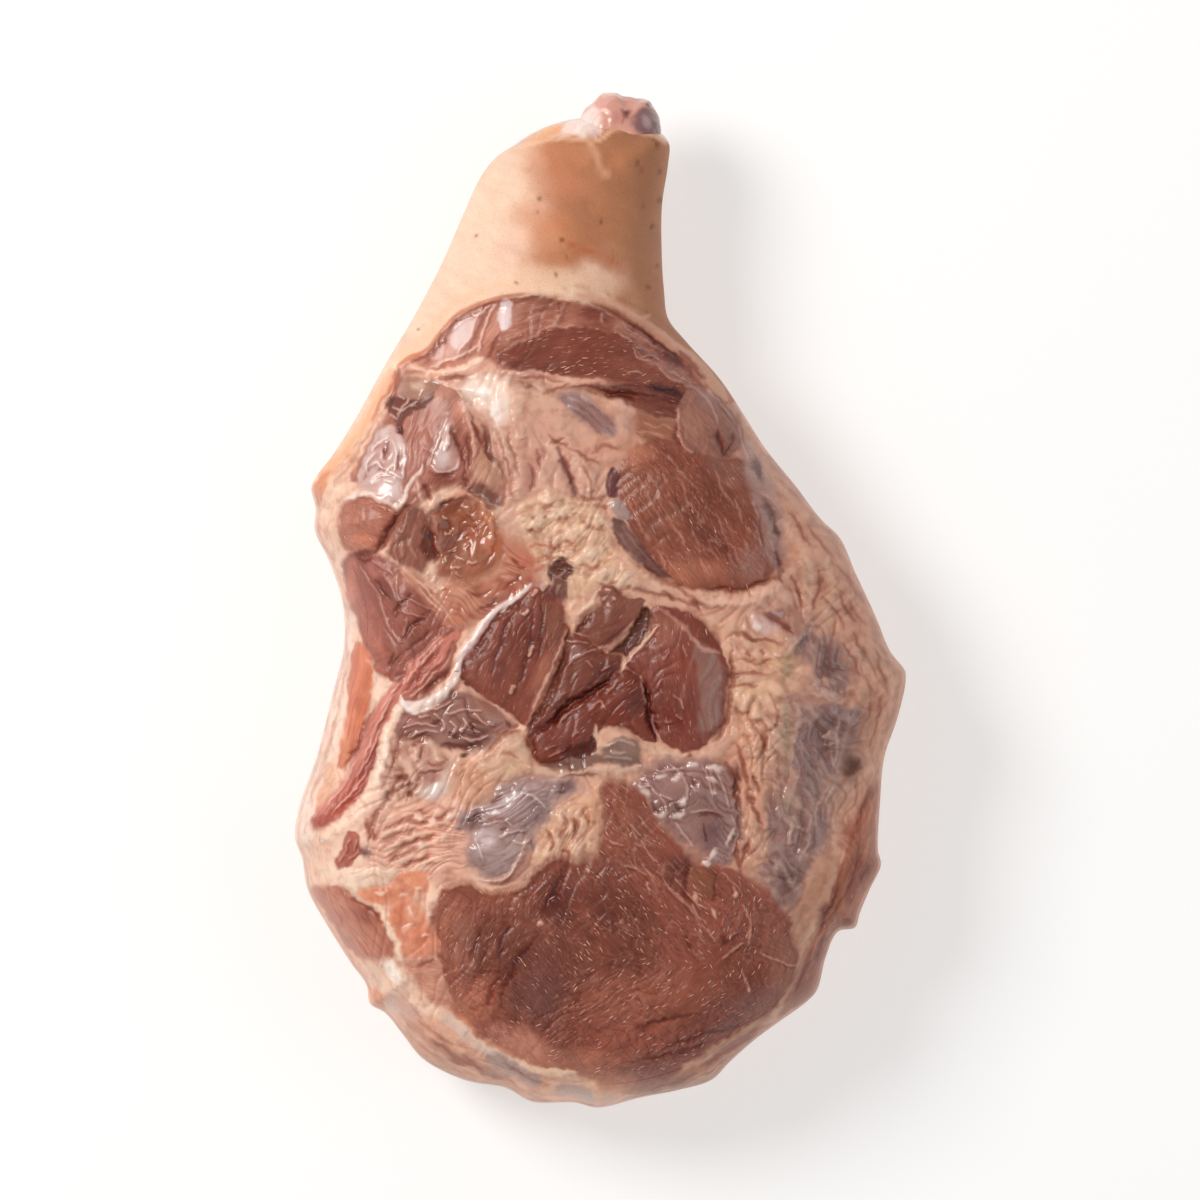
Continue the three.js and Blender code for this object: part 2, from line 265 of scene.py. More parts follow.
MILLIMETRE = 0.001
OUTLINE_STEPS = 8  # curve points from one picked point to the next
FAR = 1e9  # farther than any point
TINY = 1e-12
FIELD_CELLS = 128  # after so many lumps a random field repeats
FIELD_GAIN = 1.6  # brings a random field to about -1 to 1
LOBE_CELLS = 64


def smooth_step(value):
    t = np.clip(value, 0, 1)
    return t * t * (3 - 2 * t)


def table_value(table, station):
    """Smooth value of a table of (station, value) pairs at each station."""
    stations, values = np.array(table, float).T
    part = np.clip(np.searchsorted(stations, station) - 1, 0, len(stations) - 2)
    share = (station - stations[part]) / (stations[part + 1] - stations[part])
    return values[part] + (values[part + 1] - values[part]) * smooth_step(share)


def spline(points, closed, steps):
    """A smooth curve through plan points, which keeps close to the straight lines between them."""
    knots = np.reshape(points, (-1, 2)).astype(float)
    if closed:
        knots = np.concatenate([knots[-1:], knots, knots[:2]])
    else:
        knots = np.concatenate([2 * knots[:1] - knots[1:2], knots, 2 * knots[-1:] - knots[-2:-1]])
    share = np.linspace(0, 1, steps, endpoint=False)[:, None]
    made = []
    for a, b, c, d in zip(knots, knots[1:], knots[2:], knots[3:]):
        spans = [np.hypot(*(q - p)) ** 0.5 for p, q in ((a, b), (b, c), (c, d))]
        before, during, after = [max(span, 1e-4) for span in spans]
        start = ((b - a) / before - (c - a) / (before + during) + (c - b) / during) * during
        end = ((c - b) / during - (d - b) / (during + after) + (d - c) / after) * during
        cubic = 2 * b - 2 * c + start + end
        square = -3 * b + 3 * c - 2 * start - end
        made.append(b + start * share + square * share**2 + cubic * share**3)
    if not closed:
        made.append(knots[-2:-1])
    return np.concatenate(made)


def spaced(curve, count):
    """The same closed curve as evenly spaced points."""
    ring = np.concatenate([curve, curve[:1]])
    run = np.concatenate([[0], np.cumsum(np.hypot(*np.diff(ring, axis=0).T))])
    marks = np.arange(count) / count * run[-1]
    return np.stack([np.interp(marks, run, ring[:, 0]), np.interp(marks, run, ring[:, 1])], 1)


def nearest(px, py, line):
    """Distance to an open line, and how far along it, 0 to 1, the nearest point lies."""
    best = np.full(len(px), FAR)
    along = np.zeros(len(px))
    lengths = np.hypot(*np.diff(line, axis=0).T)
    run = np.concatenate([[0], np.cumsum(lengths)]) / lengths.sum()
    for i in range(len(line) - 1):
        ax, ay = line[i]
        dx, dy = line[i + 1] - line[i]
        t = np.clip(((px - ax) * dx + (py - ay) * dy) / (dx * dx + dy * dy + TINY), 0, 1)
        away = np.hypot(px - ax - t * dx, py - ay - t * dy)
        closer = away < best
        best[closer] = away[closer]
        along[closer] = (run[i] + t * (run[i + 1] - run[i]))[closer]
    return best, along


def inward(px, py, ring):
    """Distance to a closed line, positive inside it."""
    best = np.full(len(px), FAR)
    inside = np.zeros(len(px), bool)
    for (ax, ay), (bx, by) in zip(ring, np.roll(ring, -1, axis=0)):
        dx, dy = bx - ax, by - ay
        t = np.clip(((px - ax) * dx + (py - ay) * dy) / (dx * dx + dy * dy + TINY), 0, 1)
        best = np.minimum(best, np.hypot(px - ax - t * dx, py - ay - t * dy))
        if dy:
            crossed = ((ay > py) != (by > py)) & (px < ax + (py - ay) * dx / dy)
            inside ^= crossed
    return np.where(inside, best, -best)


def noise(px, py, size, seed):
    """A smooth random field, about -1 to 1, whose lumps have the given size."""
    turns = np.random.default_rng(seed).uniform(0, 2 * np.pi, (FIELD_CELLS, FIELD_CELLS))
    u, v = px / size, py / size
    column, row = np.floor(u).astype(int), np.floor(v).astype(int)
    fu, fv = u - column, v - row
    corners = []
    for across in (0, 1):
        for down in (0, 1):
            turn = turns[(column + across) % FIELD_CELLS, (row + down) % FIELD_CELLS]
            corners.append(np.cos(turn) * (fu - across) + np.sin(turn) * (fv - down))
    wu, wv = [f**3 * (f * (f * 6 - 15) + 10) for f in (fu, fv)]
    left = corners[0] * (1 - wv) + corners[1] * wv
    right = corners[2] * (1 - wv) + corners[3] * wv
    return FIELD_GAIN * (left * (1 - wu) + right * wu)


def clouds(px, py, seed, *layers):
    """A sum of random fields, each given as its strength and the size of its lumps."""
    return sum(share * noise(px, py, size, seed + i) for i, (share, size) in enumerate(layers))


outline_ring = spline(OUTLINE, True, OUTLINE_STEPS)


def side_value(left_table, right_table, px, py):
    """The left table's value on the left of the middle line, the right table's on its right."""
    middle = table_value(MIDDLE_LINE, np.clip(py, MIDDLE_LINE[0][0], MIDDLE_LINE[-1][0]))
    right = smooth_step(0.5 + (px - middle) / (2 * SIDE_BLEND))
    return table_value(left_table, py) * (1 - right) + table_value(right_table, py) * right


def quarter_round(share):
    t = np.clip(share, 0, 1)
    return np.sqrt(1 - (1 - t) ** 2)


def edge_level(px, py):
    """Height of the outline, in millimetres."""
    under = table_value(UNDER_LINE, py)
    share = side_value(LEFT_LEVEL, RIGHT_LEVEL, px, py)
    return under + (table_value(TOP_LINE, py) - under) * share


def rounded(px, py, reach):
    """How far round its edge a surface has come, 0 at the outline to 1; reach in millimetres."""
    return quarter_round(inward(px, py, outline_ring) * UNIT / MILLIMETRE / reach)


def top_rounded(px, py):
    return rounded(px, py, side_value(LEFT_ROUNDING, RIGHT_ROUNDING, px, py))


def top_height(px, py, relief):
    """Height of the upper surface, in metres, with its relief in millimetres."""
    level = edge_level(px, py)
    return (level + (table_value(TOP_LINE, py) - level + relief) * top_rounded(px, py)) * MILLIMETRE


def under_height(px, py):
    """Height of the underside, in metres."""
    rounding = rounded(px, py, table_value(UNDER_ROUNDING, py))
    level = edge_level(px, py)
    return (level + (table_value(UNDER_LINE, py) - level) * rounding) * MILLIMETRE


def place(px, py):
    """Where a plan point lies, in metres."""
    return (px - PLAN_MIDDLE_X) * UNIT, (PLAN_MIDDLE_Y - py) * UNIT


def turned(px, py, turn):
    """Plan coordinates along and across a direction; turn in degrees, anticlockwise as seen."""
    angle = np.radians(turn)
    return px * np.cos(angle) - py * np.sin(angle), px * np.sin(angle) + py * np.cos(angle)


def drawn_out(px, py, turn, length, width, seed):
    """A random field whose lumps are drawn out along a direction."""
    along, across = turned(px, py, turn)
    across = across + 0.9 * width * noise(px, py, 2.2 * width + 9, seed + 7)
    return noise(along / length, across / width, 1.0, seed)


def lobes(px, py, size, turn, stretch, seed):
    """How far a point is from the seams between lobes, 0 to about 1, and a random number for its lobe."""
    draw = np.random.default_rng(seed).random((3, LOBE_CELLS, LOBE_CELLS))
    waves = (0.45 * size, 1.6 * size), (0.16 * size, 0.6 * size)
    wx = px + clouds(px, py, seed + 1, *waves)
    wy = py + clouds(px, py, seed + 3, *waves)
    along, across = turned(wx, wy, turn)
    u, v = along / (size * stretch), across / size
    column, row = np.floor(u).astype(int), np.floor(v).astype(int)
    first = np.full(len(px), 9.0)
    second = first.copy()
    shade = np.zeros(len(px))
    for step in range(9):
        i, j = column + step % 3 - 1, row + step // 3 - 1
        across_draw, down_draw, shade_draw = draw[:, i % LOBE_CELLS, j % LOBE_CELLS]
        away = np.hypot(i + across_draw - u, j + down_draw - v)
        closer = away < first
        second = np.where(closer, first, np.minimum(second, away))
        shade = np.where(closer, shade_draw, shade)
        first = np.where(closer, away, first)
    return second - first, shade


def dome_height(share):
    t = np.clip(share, 0, 1)
    return t * (2 - t)


def oval_reach(dx, dy, size, turn):
    """Distance from an oval's middle, 1 at its edge; turn in degrees, anticlockwise as seen."""
    angle = math.radians(turn)
    along = (dx * math.cos(angle) + dy * math.sin(angle)) / size[0]
    across = (dy * math.cos(angle) - dx * math.sin(angle)) / size[1]
    return np.hypot(along, across)


# The tissues are laid on a surface one after another, as they overlap on the real cut. Their
# colours are given as they are seen on a screen, 0 to 255.

# Painted shade for creases and hollows: a colour is multiplied by this, raised to a power.
PAINTED_SHADE = np.array([0.45, 0.27, 0.25])  # what a deep crease leaves of the light
TISSUE_STEPS = 5  # curve points from one picked point to the next
PATTERN_SOFT = 12  # plan units over which a pattern fades in from its outline
LOBE_TONE = 0.10  # how much one lobe of fat may differ from the next


class Surface:
    """What is known at each point of a piece: plan place, colour, relief, grain and kind of tissue."""

    def __init__(self, px, py):
        self.px, self.py = px, py
        count = len(px)
        self.colour = np.zeros((count, 3))
        self.relief = np.zeros(count)
        self.grain = np.zeros(count)
        self.meat = np.zeros(count)
        self.fat = np.ones(count)
        self.film = np.zeros(count)
        self.skin = np.zeros(count)
        self.flecks = np.zeros(count)
        # Edges of tissue wander a little.
        waves = (2.2, 26), (1.7, 11), (1.1, 5)
        self.drift_x = clouds(px, py, 1, *waves)
        self.drift_y = clouds(px, py, 4, *waves)

    def wandered(self, where, wander):
        """Plan places of some points, moved by the wandering of the tissue's edges."""
        wx = self.px[where] + wander * self.drift_x[where]
        wy = self.py[where] + wander * self.drift_y[where]
        return wx, wy

    def near(self, points, margin):
        """Which points lie in the box round some plan points."""
        low, high = np.min(points, axis=0) - margin, np.max(points, axis=0) + margin
        return np.nonzero(
            (self.px > low[0]) & (self.px < high[0]) & (self.py > low[1]) & (self.py < high[1])
        )[0]

    def tint(self, where, cover, colour):
        """Turn some points to a colour, here as the light it sends back."""
        self.colour[where] += (colour - self.colour[where]) * cover[:, None]

    def paint_shade(self, where, amount):
        """Painted shade: darker and redder, as in a crease."""
        self.colour[where] *= PAINTED_SHADE ** amount[:, None]

    def turn_into(self, where, cover, kind):
        for name in ("meat", "fat", "film"):
            values = getattr(self, name)
            values[where] += ((name == kind) - values[where]) * cover

    def lay(self, outline, colour, soft=5, strength=1.0, rise=0.0, dome=24, kind=None, grain=None,
            edge=0.0, wander=1.0, flecks=None):
        """A patch of tissue inside a closed outline; rise in millimetres, the rest in plan units."""
        ring = spline(outline, True, TISSUE_STEPS)
        where = self.near(ring, soft + 14)
        wx, wy = self.wandered(where, wander)
        inside = inward(wx, wy, ring)
        px, py = self.px[where], self.py[where]
        blur = soft * (1 + 0.7 * noise(px, py, 34, 9))
        cover = smooth_step(inside / blur + 0.5)
        if colour is not None:
            self.tint(where, cover * strength, srgb(*colour))
        self.relief[where] += rise * dome_height(inside / dome)
        # A broken groove round the edge, darkened with painted shade.
        if edge:
            broken = edge * smooth_step(0.55 + noise(px, py, 24, 8))
            self.relief[where] -= broken * np.exp(-((inside / 4.5) ** 2))
            self.paint_shade(where, 0.5 * broken * np.exp(-(((inside + 1.0) / 2.6) ** 2)))
        if kind:
            self.turn_into(where, cover, kind)
        if grain is not None:
            inner = where[cover > 0.5]
            self.grain[inner] = grain
        if flecks is not None:
            self.flecks[where] += (flecks - self.flecks[where]) * cover
        return where, cover

    def draw(self, points, width, colour, soft=2.0, strength=1.0, rise=0.0, kind=None, ends=0.15,
             wander=1.0):
        """A strand or a crevice along an open line; width may be a pair, from start to end."""
        line = spline(points, False, TISSUE_STEPS)
        start, end = width if isinstance(width, tuple) else (width, width)
        where = self.near(line, max(start, end) + soft + 10)
        wx, wy = self.wandered(where, wander)
        away, along = nearest(wx, wy, line)
        taper = np.clip(np.minimum(along, 1 - along) / ends, 0, 1) ** 0.5 if ends else 1.0
        seed = int(line[0].sum()) % 89
        uneven = 1 + 0.35 * wander * noise(self.px[where], self.py[where], 13, seed)
        half = (start + (end - start) * along) / 2 * taper * uneven
        cover = smooth_step((half - away) / soft + 0.5) * np.clip(half + 0.3, 0, 1)
        if colour is not None:
            self.tint(where, cover * strength, srgb(*colour))
        profile = np.exp(-((away / (np.maximum(half, 0.5) + soft * 0.6)) ** 2))
        self.relief[where] += rise * (profile * np.clip(half + 0.2, 0, 1))
        if kind:
            self.turn_into(where, cover, kind)

    def blush(self, at, size, colour, strength=0.6, turn=0.0, rise=0.0, kind=None):
        """A soft oval of colour; turn in degrees, anticlockwise as seen."""
        reach = max(size) * 1.3 + 8
        where = self.near(np.array([at]), reach)
        wx, wy = self.wandered(where, 1.0)
        cover = smooth_step(1.25 - oval_reach(wx - at[0], at[1] - wy, size, turn))
        if colour is not None:
            self.tint(where, cover * strength, srgb(*colour))
        self.relief[where] += rise * cover
        if kind:
            self.turn_into(where, cover * strength, kind)

    def blushes(self, *spots):
        """Soft ovals of colour, each given as blush takes it."""
        for spot in spots:
            self.blush(*spot)

    def crease(self, width, *plan, depth=1.0, dark=0.8, wander=1.0):
        """A fold between two tissues, darkened along it and round it with painted shade."""
        line = spline(plan, False, TISSUE_STEPS)
        where = self.near(line, width * 2 + 8)
        wx, wy = self.wandered(where, wander)
        away, along = nearest(wx, wy, line)
        fade = np.clip(np.minimum(along, 1 - along) / 0.25, 0, 1) ** 0.6
        half = 0.5 * width * fade * (1 + 0.4 * noise(self.px[where], self.py[where], 12, 88)) + 0.3
        profile = np.exp(-((away / (half + 0.6)) ** 2)) * fade
        halo = np.exp(-((away / (3 * half + 2)) ** 2))
        self.paint_shade(where, dark * profile + 0.22 * dark * halo * fade)
        self.relief[where] -= depth * profile

    def sinew(self, width, *plan, colour, rise=0.5, strength=0.75, wander=0.6):
        """A bright strand on the tissue, with its own thin shadow."""
        shadow = np.reshape(plan, (-1, 2)) + (0.4 * width + 0.6, 0.5 * width + 0.8)
        self.crease(width, *shadow.ravel(), depth=0.2, dark=0.35 * strength)
        self.draw(plan, width, colour, soft=1.6, strength=strength, rise=rise, wander=wander)

    def shade(self, at, size, amount, turn=0.0, rise=0.0):
        """A soft oval of painted shade, or of painted light below 0."""
        where = self.near(np.array([at]), max(size) * 1.3 + 8)
        away = oval_reach(self.px[where] - at[0], at[1] - self.py[where], size, turn)
        cover = smooth_step(1.2 - away)
        self.paint_shade(where, amount * cover)
        self.relief[where] += rise * cover

    def wrinkles(self, outline, turn, length, width, depth, dark=0.3, seed=0, share=0.22):
        """Soft bulges with thin creases between them, drawn out along a direction, with painted shade in
        the creases.
        """
        where, px, py, cover = self.inside(outline)
        wx = px + 0.5 * length * noise(px, py, 1.8 * length, seed + 5)
        wy = py + 0.5 * length * noise(px, py, 1.8 * length, seed + 6)
        field = drawn_out(wx, wy, turn, length, width, seed)
        calm = cover * smooth_step(0.7 + 1.1 * noise(px, py, 2.0 * length, seed + 3))
        self.relief[where] += 0.75 * depth * (smooth_step(np.abs(field) / (share * 2)) - 0.7) * calm
        self.paint_shade(where, dark * (1 - smooth_step(np.abs(field) / share)) * calm)
        self.colour[where] *= (1 + 0.07 * np.clip(field, -1, 1) * cover)[:, None]

    def inside(self, outline):
        """Which points lie in a closed outline, their plan places and how far inside they are."""
        ring = spline(outline, True, TISSUE_STEPS)
        where = self.near(ring, 6)
        px, py = self.px[where], self.py[where]
        return where, px, py, smooth_step(inward(px, py, ring) / PATTERN_SOFT)

    def threads(self, outline, turn, length, width, colour, strength, thin=0.10, rise=0.0, seed=0):
        """Thin wandering lines inside an outline, such as strands of fascia, creases or veins."""
        where, px, py, cover = self.inside(outline)
        field = drawn_out(px, py, turn, length, width, seed)
        gate = smooth_step(0.5 + 1.6 * noise(px, py, 1.3 * length, seed + 3))
        line = smooth_step(1 - np.abs(field) / thin) * gate * cover
        self.tint(where, line * strength, srgb(*colour))
        self.relief[where] += rise * line

    def pebble(self, outline, size, turn, stretch, seam, strength, rise=1.0, seed=0):
        """Lobes of fat inside an outline, domed, with darker seams between them, partly their own colour
        and partly painted shade.
        """
        where, px, py, cover = self.inside(outline)
        edge, shade = lobes(px, py, size, turn, stretch, seed)
        gate = smooth_step(0.75 + 1.2 * noise(px, py, 2.5 * size, seed + 9))
        dark = (1 - smooth_step(edge / 0.22)) * gate * cover
        self.colour[where] *= (1 + LOBE_TONE * (shade - 0.5) * 2 * cover * gate)[:, None]
        self.tint(where, dark * strength, srgb(*seam))
        self.relief[where] += rise * (smooth_step(edge / 0.55) - 0.6) * cover * (0.3 + 0.7 * gate)


# ---------------------------------------------------------------- fat of the shoulder
# Soft fat and thin fascia lie under everything that shows. They are creamy and smooth towards the
# window, and darker, drier and wrinkled on the right, where grey fascia lies over the shoulder blade.
# The darkening towards the right is partly the fat's own tan and partly painted shade.

LIT_CREAM_FAT = srgb(236, 194, 170)
TAN_AND_SHADED_FAT = srgb(204, 154, 130)
PALE_FAT = (212, 166, 140)
GREY_FASCIA = (134, 101, 98)


def lay_fat(face):
    # Cream on the left to tan on the right: partly the fat's own colour, partly painted shade away from the
    # window.
    share = smooth_step((face.px - 430) / 330)
    face.colour[:] = LIT_CREAM_FAT + (TAN_AND_SHADED_FAT - LIT_CREAM_FAT) * share[:, None]
    everywhere = [150, 60, 1000, 60, 1000, 1140, 150, 1140]
    face.wrinkles(everywhere, 62, 46, 17, 0.8, 0.12, seed=11)
    right_side = [
        726, 470, 760, 490, 800, 520, 850, 590, 900, 680, 890, 800, 880, 900, 800, 1000,
        800, 930, 770, 890, 742, 870, 742, 790, 735, 700, 722, 640, 770, 580, 780, 540,
    ]
    face.wrinkles(right_side, -62, 50, 17, 1.2, 0.16, seed=12)
    face.wrinkles(right_side, -30, 26, 18, 0.7, 0.08, seed=13)
    folded = [724, 622, 760, 630, 790, 640, 800, 668, 790, 700, 784, 740, 770, 760, 742, 750, 730, 700]
    face.lay(folded, PALE_FAT, soft=16, strength=0.85, rise=0.6)
    face.wrinkles(folded, 8, 36, 15, 1.0, 0.1, seed=14)
    face.blushes(
        ((742, 600), (20, 9), (218, 180, 150), 0.6, 10),
        ((738, 690), (14, 12), (226, 186, 150), 0.75, 0),
        ((762, 690), (20, 10), (218, 176, 142), 0.6, 10),
        ((780, 664), (14, 18), (208, 162, 130), 0.7, -10),
        ((752, 664), (20, 7), (222, 180, 148), 0.6, 6),
        ((748, 722), (10, 20), (222, 178, 144), 0.6, 20),
        ((758, 770), (7, 30), (222, 168, 132), 0.65, 6),
        ((852, 660), (10, 30), (206, 150, 120), 0.6, -20),
        ((872, 720), (10, 34), (196, 146, 120), 0.6, 0),
        ((820, 600), (22, 16), (206, 160, 136), 0.6, -50),
    )
    lower_folds = [736, 690, 780, 690, 790, 720, 782, 790, 770, 850, 740, 868, 736, 800, 742, 750]
    face.wrinkles(lower_folds, 80, 36, 14, 1.3, 0.18, seed=15)
    for x, y, size in (
        (742, 700, 10), (756, 712, 9), (768, 722, 8), (750, 728, 8), (764, 742, 9), (752, 750, 8),
    ):
        face.blush((x, y), (size, size), (222, 178, 152), 0.6, 20, rise=1.0)
        face.crease(
            2.2, x - size, y + 3, x - size * 0.3, y + size,
            x + size * 0.6, y + size * 0.8, depth=0.6, dark=0.4,
        )
    for line in (
        (722, 640, 735, 634, 750, 640, 770, 640, 784, 644), (726, 675, 750, 671, 770, 675),
        (736, 632, 756, 641), (738, 656, 756, 661, 776, 658), (760, 648, 764, 655),
        (744, 650, 750, 655), (728, 688, 742, 684, 760, 688), (819, 566, 819, 588, 812, 602, 806, 616),
        (788, 574, 797, 592, 800, 606), (838, 590, 845, 610, 858, 624), (848, 598, 854, 612, 866, 624),
        (830, 560, 846, 578, 856, 600), (806, 520, 820, 544, 836, 562), (870, 646, 880, 668, 884, 692),
        (858, 660, 868, 690, 866, 720), (786, 508, 800, 528, 808, 548), (760, 715, 765, 735, 760, 762),
        (772, 700, 778, 716, 772, 732), (850, 630, 860, 652, 862, 672), (842, 640, 852, 656, 858, 676),
        (820, 596, 838, 616, 844, 632), (880, 690, 874, 730, 868, 752), (775, 552, 778, 566, 780, 584),
        (746, 586, 764, 580, 778, 578), (745, 586, 752, 596),
    ):
        face.crease(2.2, *line, depth=0.8, dark=0.4)
    for line in (
        (780, 520, 800, 548, 812, 580), (798, 560, 806, 590, 808, 620), (826, 556, 830, 590, 826, 614),
        (852, 640, 862, 668, 868, 700), (884, 668, 892, 684, 890, 700), (740, 560, 764, 572),
        (786, 640, 800, 632, 812, 622), (776, 656, 790, 645, 802, 636), (870, 610, 880, 640),
    ):
        face.draw(line, 5, (214, 170, 146), soft=5, strength=0.5, rise=0.8)
    # Grey fascia over the blade, in patches with pale strands across them.
    fascia = [
        ((790, 632, 806, 624, 812, 640, 806, 656, 796, 650), 0.75),
        ((806, 640, 832, 636, 850, 650, 850, 676, 838, 694, 818, 692, 808, 668), 0.9),
        (
            (798, 716, 812, 704, 838, 702, 858, 712, 858, 742, 842, 776, 824, 808, 804, 806, 794, 760),
            1.0,
        ),
        ((772, 800, 806, 802, 828, 812, 820, 846, 796, 862, 770, 852), 0.9),
        ((760, 846, 790, 852, 812, 866, 802, 898, 782, 912, 762, 892), 0.9),
        ((786, 694, 800, 694, 800, 730, 790, 786, 778, 800, 778, 742), 0.6),
        ((760, 600, 776, 597, 792, 606, 796, 618, 780, 616), 0.6),
    ]
    for outline, strength in fascia:
        face.lay(outline, GREY_FASCIA, soft=28, strength=strength, rise=-0.5, kind="film", wander=3.2)
        face.wrinkles(outline, -64, 34, 15, 0.8, 0.22, seed=16)
        face.threads(outline, -70, 34, 15, (184, 146, 130), 0.5, 0.3, 0.3, seed=18)
    face.blushes(
        ((788, 664), (10, 26), (166, 136, 110), 0.7, -14),
        ((786, 736), (9, 40), (164, 136, 112), 0.7, 0), ((790, 800), (10, 26), (160, 130, 112), 0.6, 0),
        ((830, 662), (14, 20), (120, 90, 85), 0.75, 20),
        ((824, 730), (20, 18), (112, 80, 75), 0.75, 10), ((810, 768), (10, 30), (114, 84, 79), 0.7, 10),
        ((842, 752), (12, 10), (124, 92, 86), 0.6, -30), ((802, 640), (7, 16), (112, 84, 82), 0.7, -24),
        ((790, 874), (14, 16), (112, 84, 82), 0.6, 0), ((830, 792), (16, 20), (172, 134, 114), 0.6, 10),
        ((806, 836), (10, 18), (120, 90, 88), 0.6, 10),
    )
    for at, size, amount in (
        ((822, 740), (18, 26), 0.3), ((800, 832), (16, 18), 0.3),
        ((828, 666), (14, 14), 0.2), ((784, 878), (12, 16), 0.3),
    ):
        face.shade(at, size, amount, 10)
    for line in (
        (776, 656, 788, 646, 798, 637, 812, 628), (812, 682, 824, 690, 838, 694),
        (852, 700, 848, 730, 838, 762, 826, 792, 812, 806), (800, 700, 794, 730, 788, 770),
        (806, 640, 812, 660, 808, 682), (834, 710, 838, 740, 830, 770), (776, 806, 790, 822, 806, 828),
        (812, 806, 808, 836, 798, 860), (772, 858, 788, 874, 800, 894), (792, 812, 786, 846),
    ):
        face.draw(line, 3, (188, 150, 136), soft=5, strength=0.5, rise=0.7)
    for line in (
        (814, 684, 824, 682, 838, 696), (812, 692, 826, 694, 842, 700),
        (822, 732, 834, 734, 846, 742), (822, 740, 836, 740),
    ):
        face.draw(line, 3, (196, 154, 134), soft=4, strength=0.6, rise=0.7, wander=2.0)
    face.blush((851, 764), (8, 12), (108, 62, 44), 0.85, -20, rise=-0.8, kind="meat")
    strip = [742, 718, 762, 724, 768, 770, 764, 820, 762, 862, 742, 866, 738, 820, 742, 770]
    face.lay(strip, (208, 158, 132), soft=9, strength=0.7, rise=1.6)
    face.wrinkles(strip, 86, 34, 5, 0.9, 0.3, seed=17)
    face.crease(4, 735, 760, 737, 800, 736, 850, 742, 880, depth=1.4, dark=0.7)
    # Vessel in its sheath at the top of the wrinkled fat.
    face.lay(
        [745, 612, 756, 606, 770, 612, 782, 624, 770, 634, 756, 630], (214, 176, 164), soft=6,
        strength=0.8, rise=1.0, kind="film",
    )
    face.blush((757, 625), (6, 6), (244, 222, 214), 0.7, 20, rise=0.5)
    face.draw(
        [753, 602, 768, 608, 784, 616], 5, (176, 142, 142), soft=3, strength=0.8, rise=1.0, kind="film",
    )
    face.crease(4.5, 748, 601, 758, 607, 770, 616, 782, 624, 794, 634, depth=1.0, dark=0.95, wander=0.4)


# ---------------------------------------------------------------- rind
# Scalded pig skin covers the shank, the sides and the underside. It is smooth and pale, going tan and
# brown towards the right, partly its own tan and partly painted shade, with tan blotches, a few cut
# bristles and nicks, and it ends at a knife cut all round the cut face.

PALE_AND_LIT_SKIN = srgb(236, 200, 176)
TAN_AND_HALF_SHADED_SKIN = srgb(190, 125, 91)
BROWN_AND_SHADED_SKIN = srgb(172, 117, 86)
CUT_RIND = (206, 122, 82)
RIND_EDGE = [
    (398, 367), (412, 358), (430, 349), (446, 327), (465, 311), (490, 301), (515, 296), (560, 298),
    (605, 309), (632, 325), (658, 345), (688, 365), (708, 388), (722, 404),
]
LEFT_RIM = [(398, 367), (392, 374), (388, 392), (377, 412), (362, 436), (345, 458), (330, 474), (316, 486)]


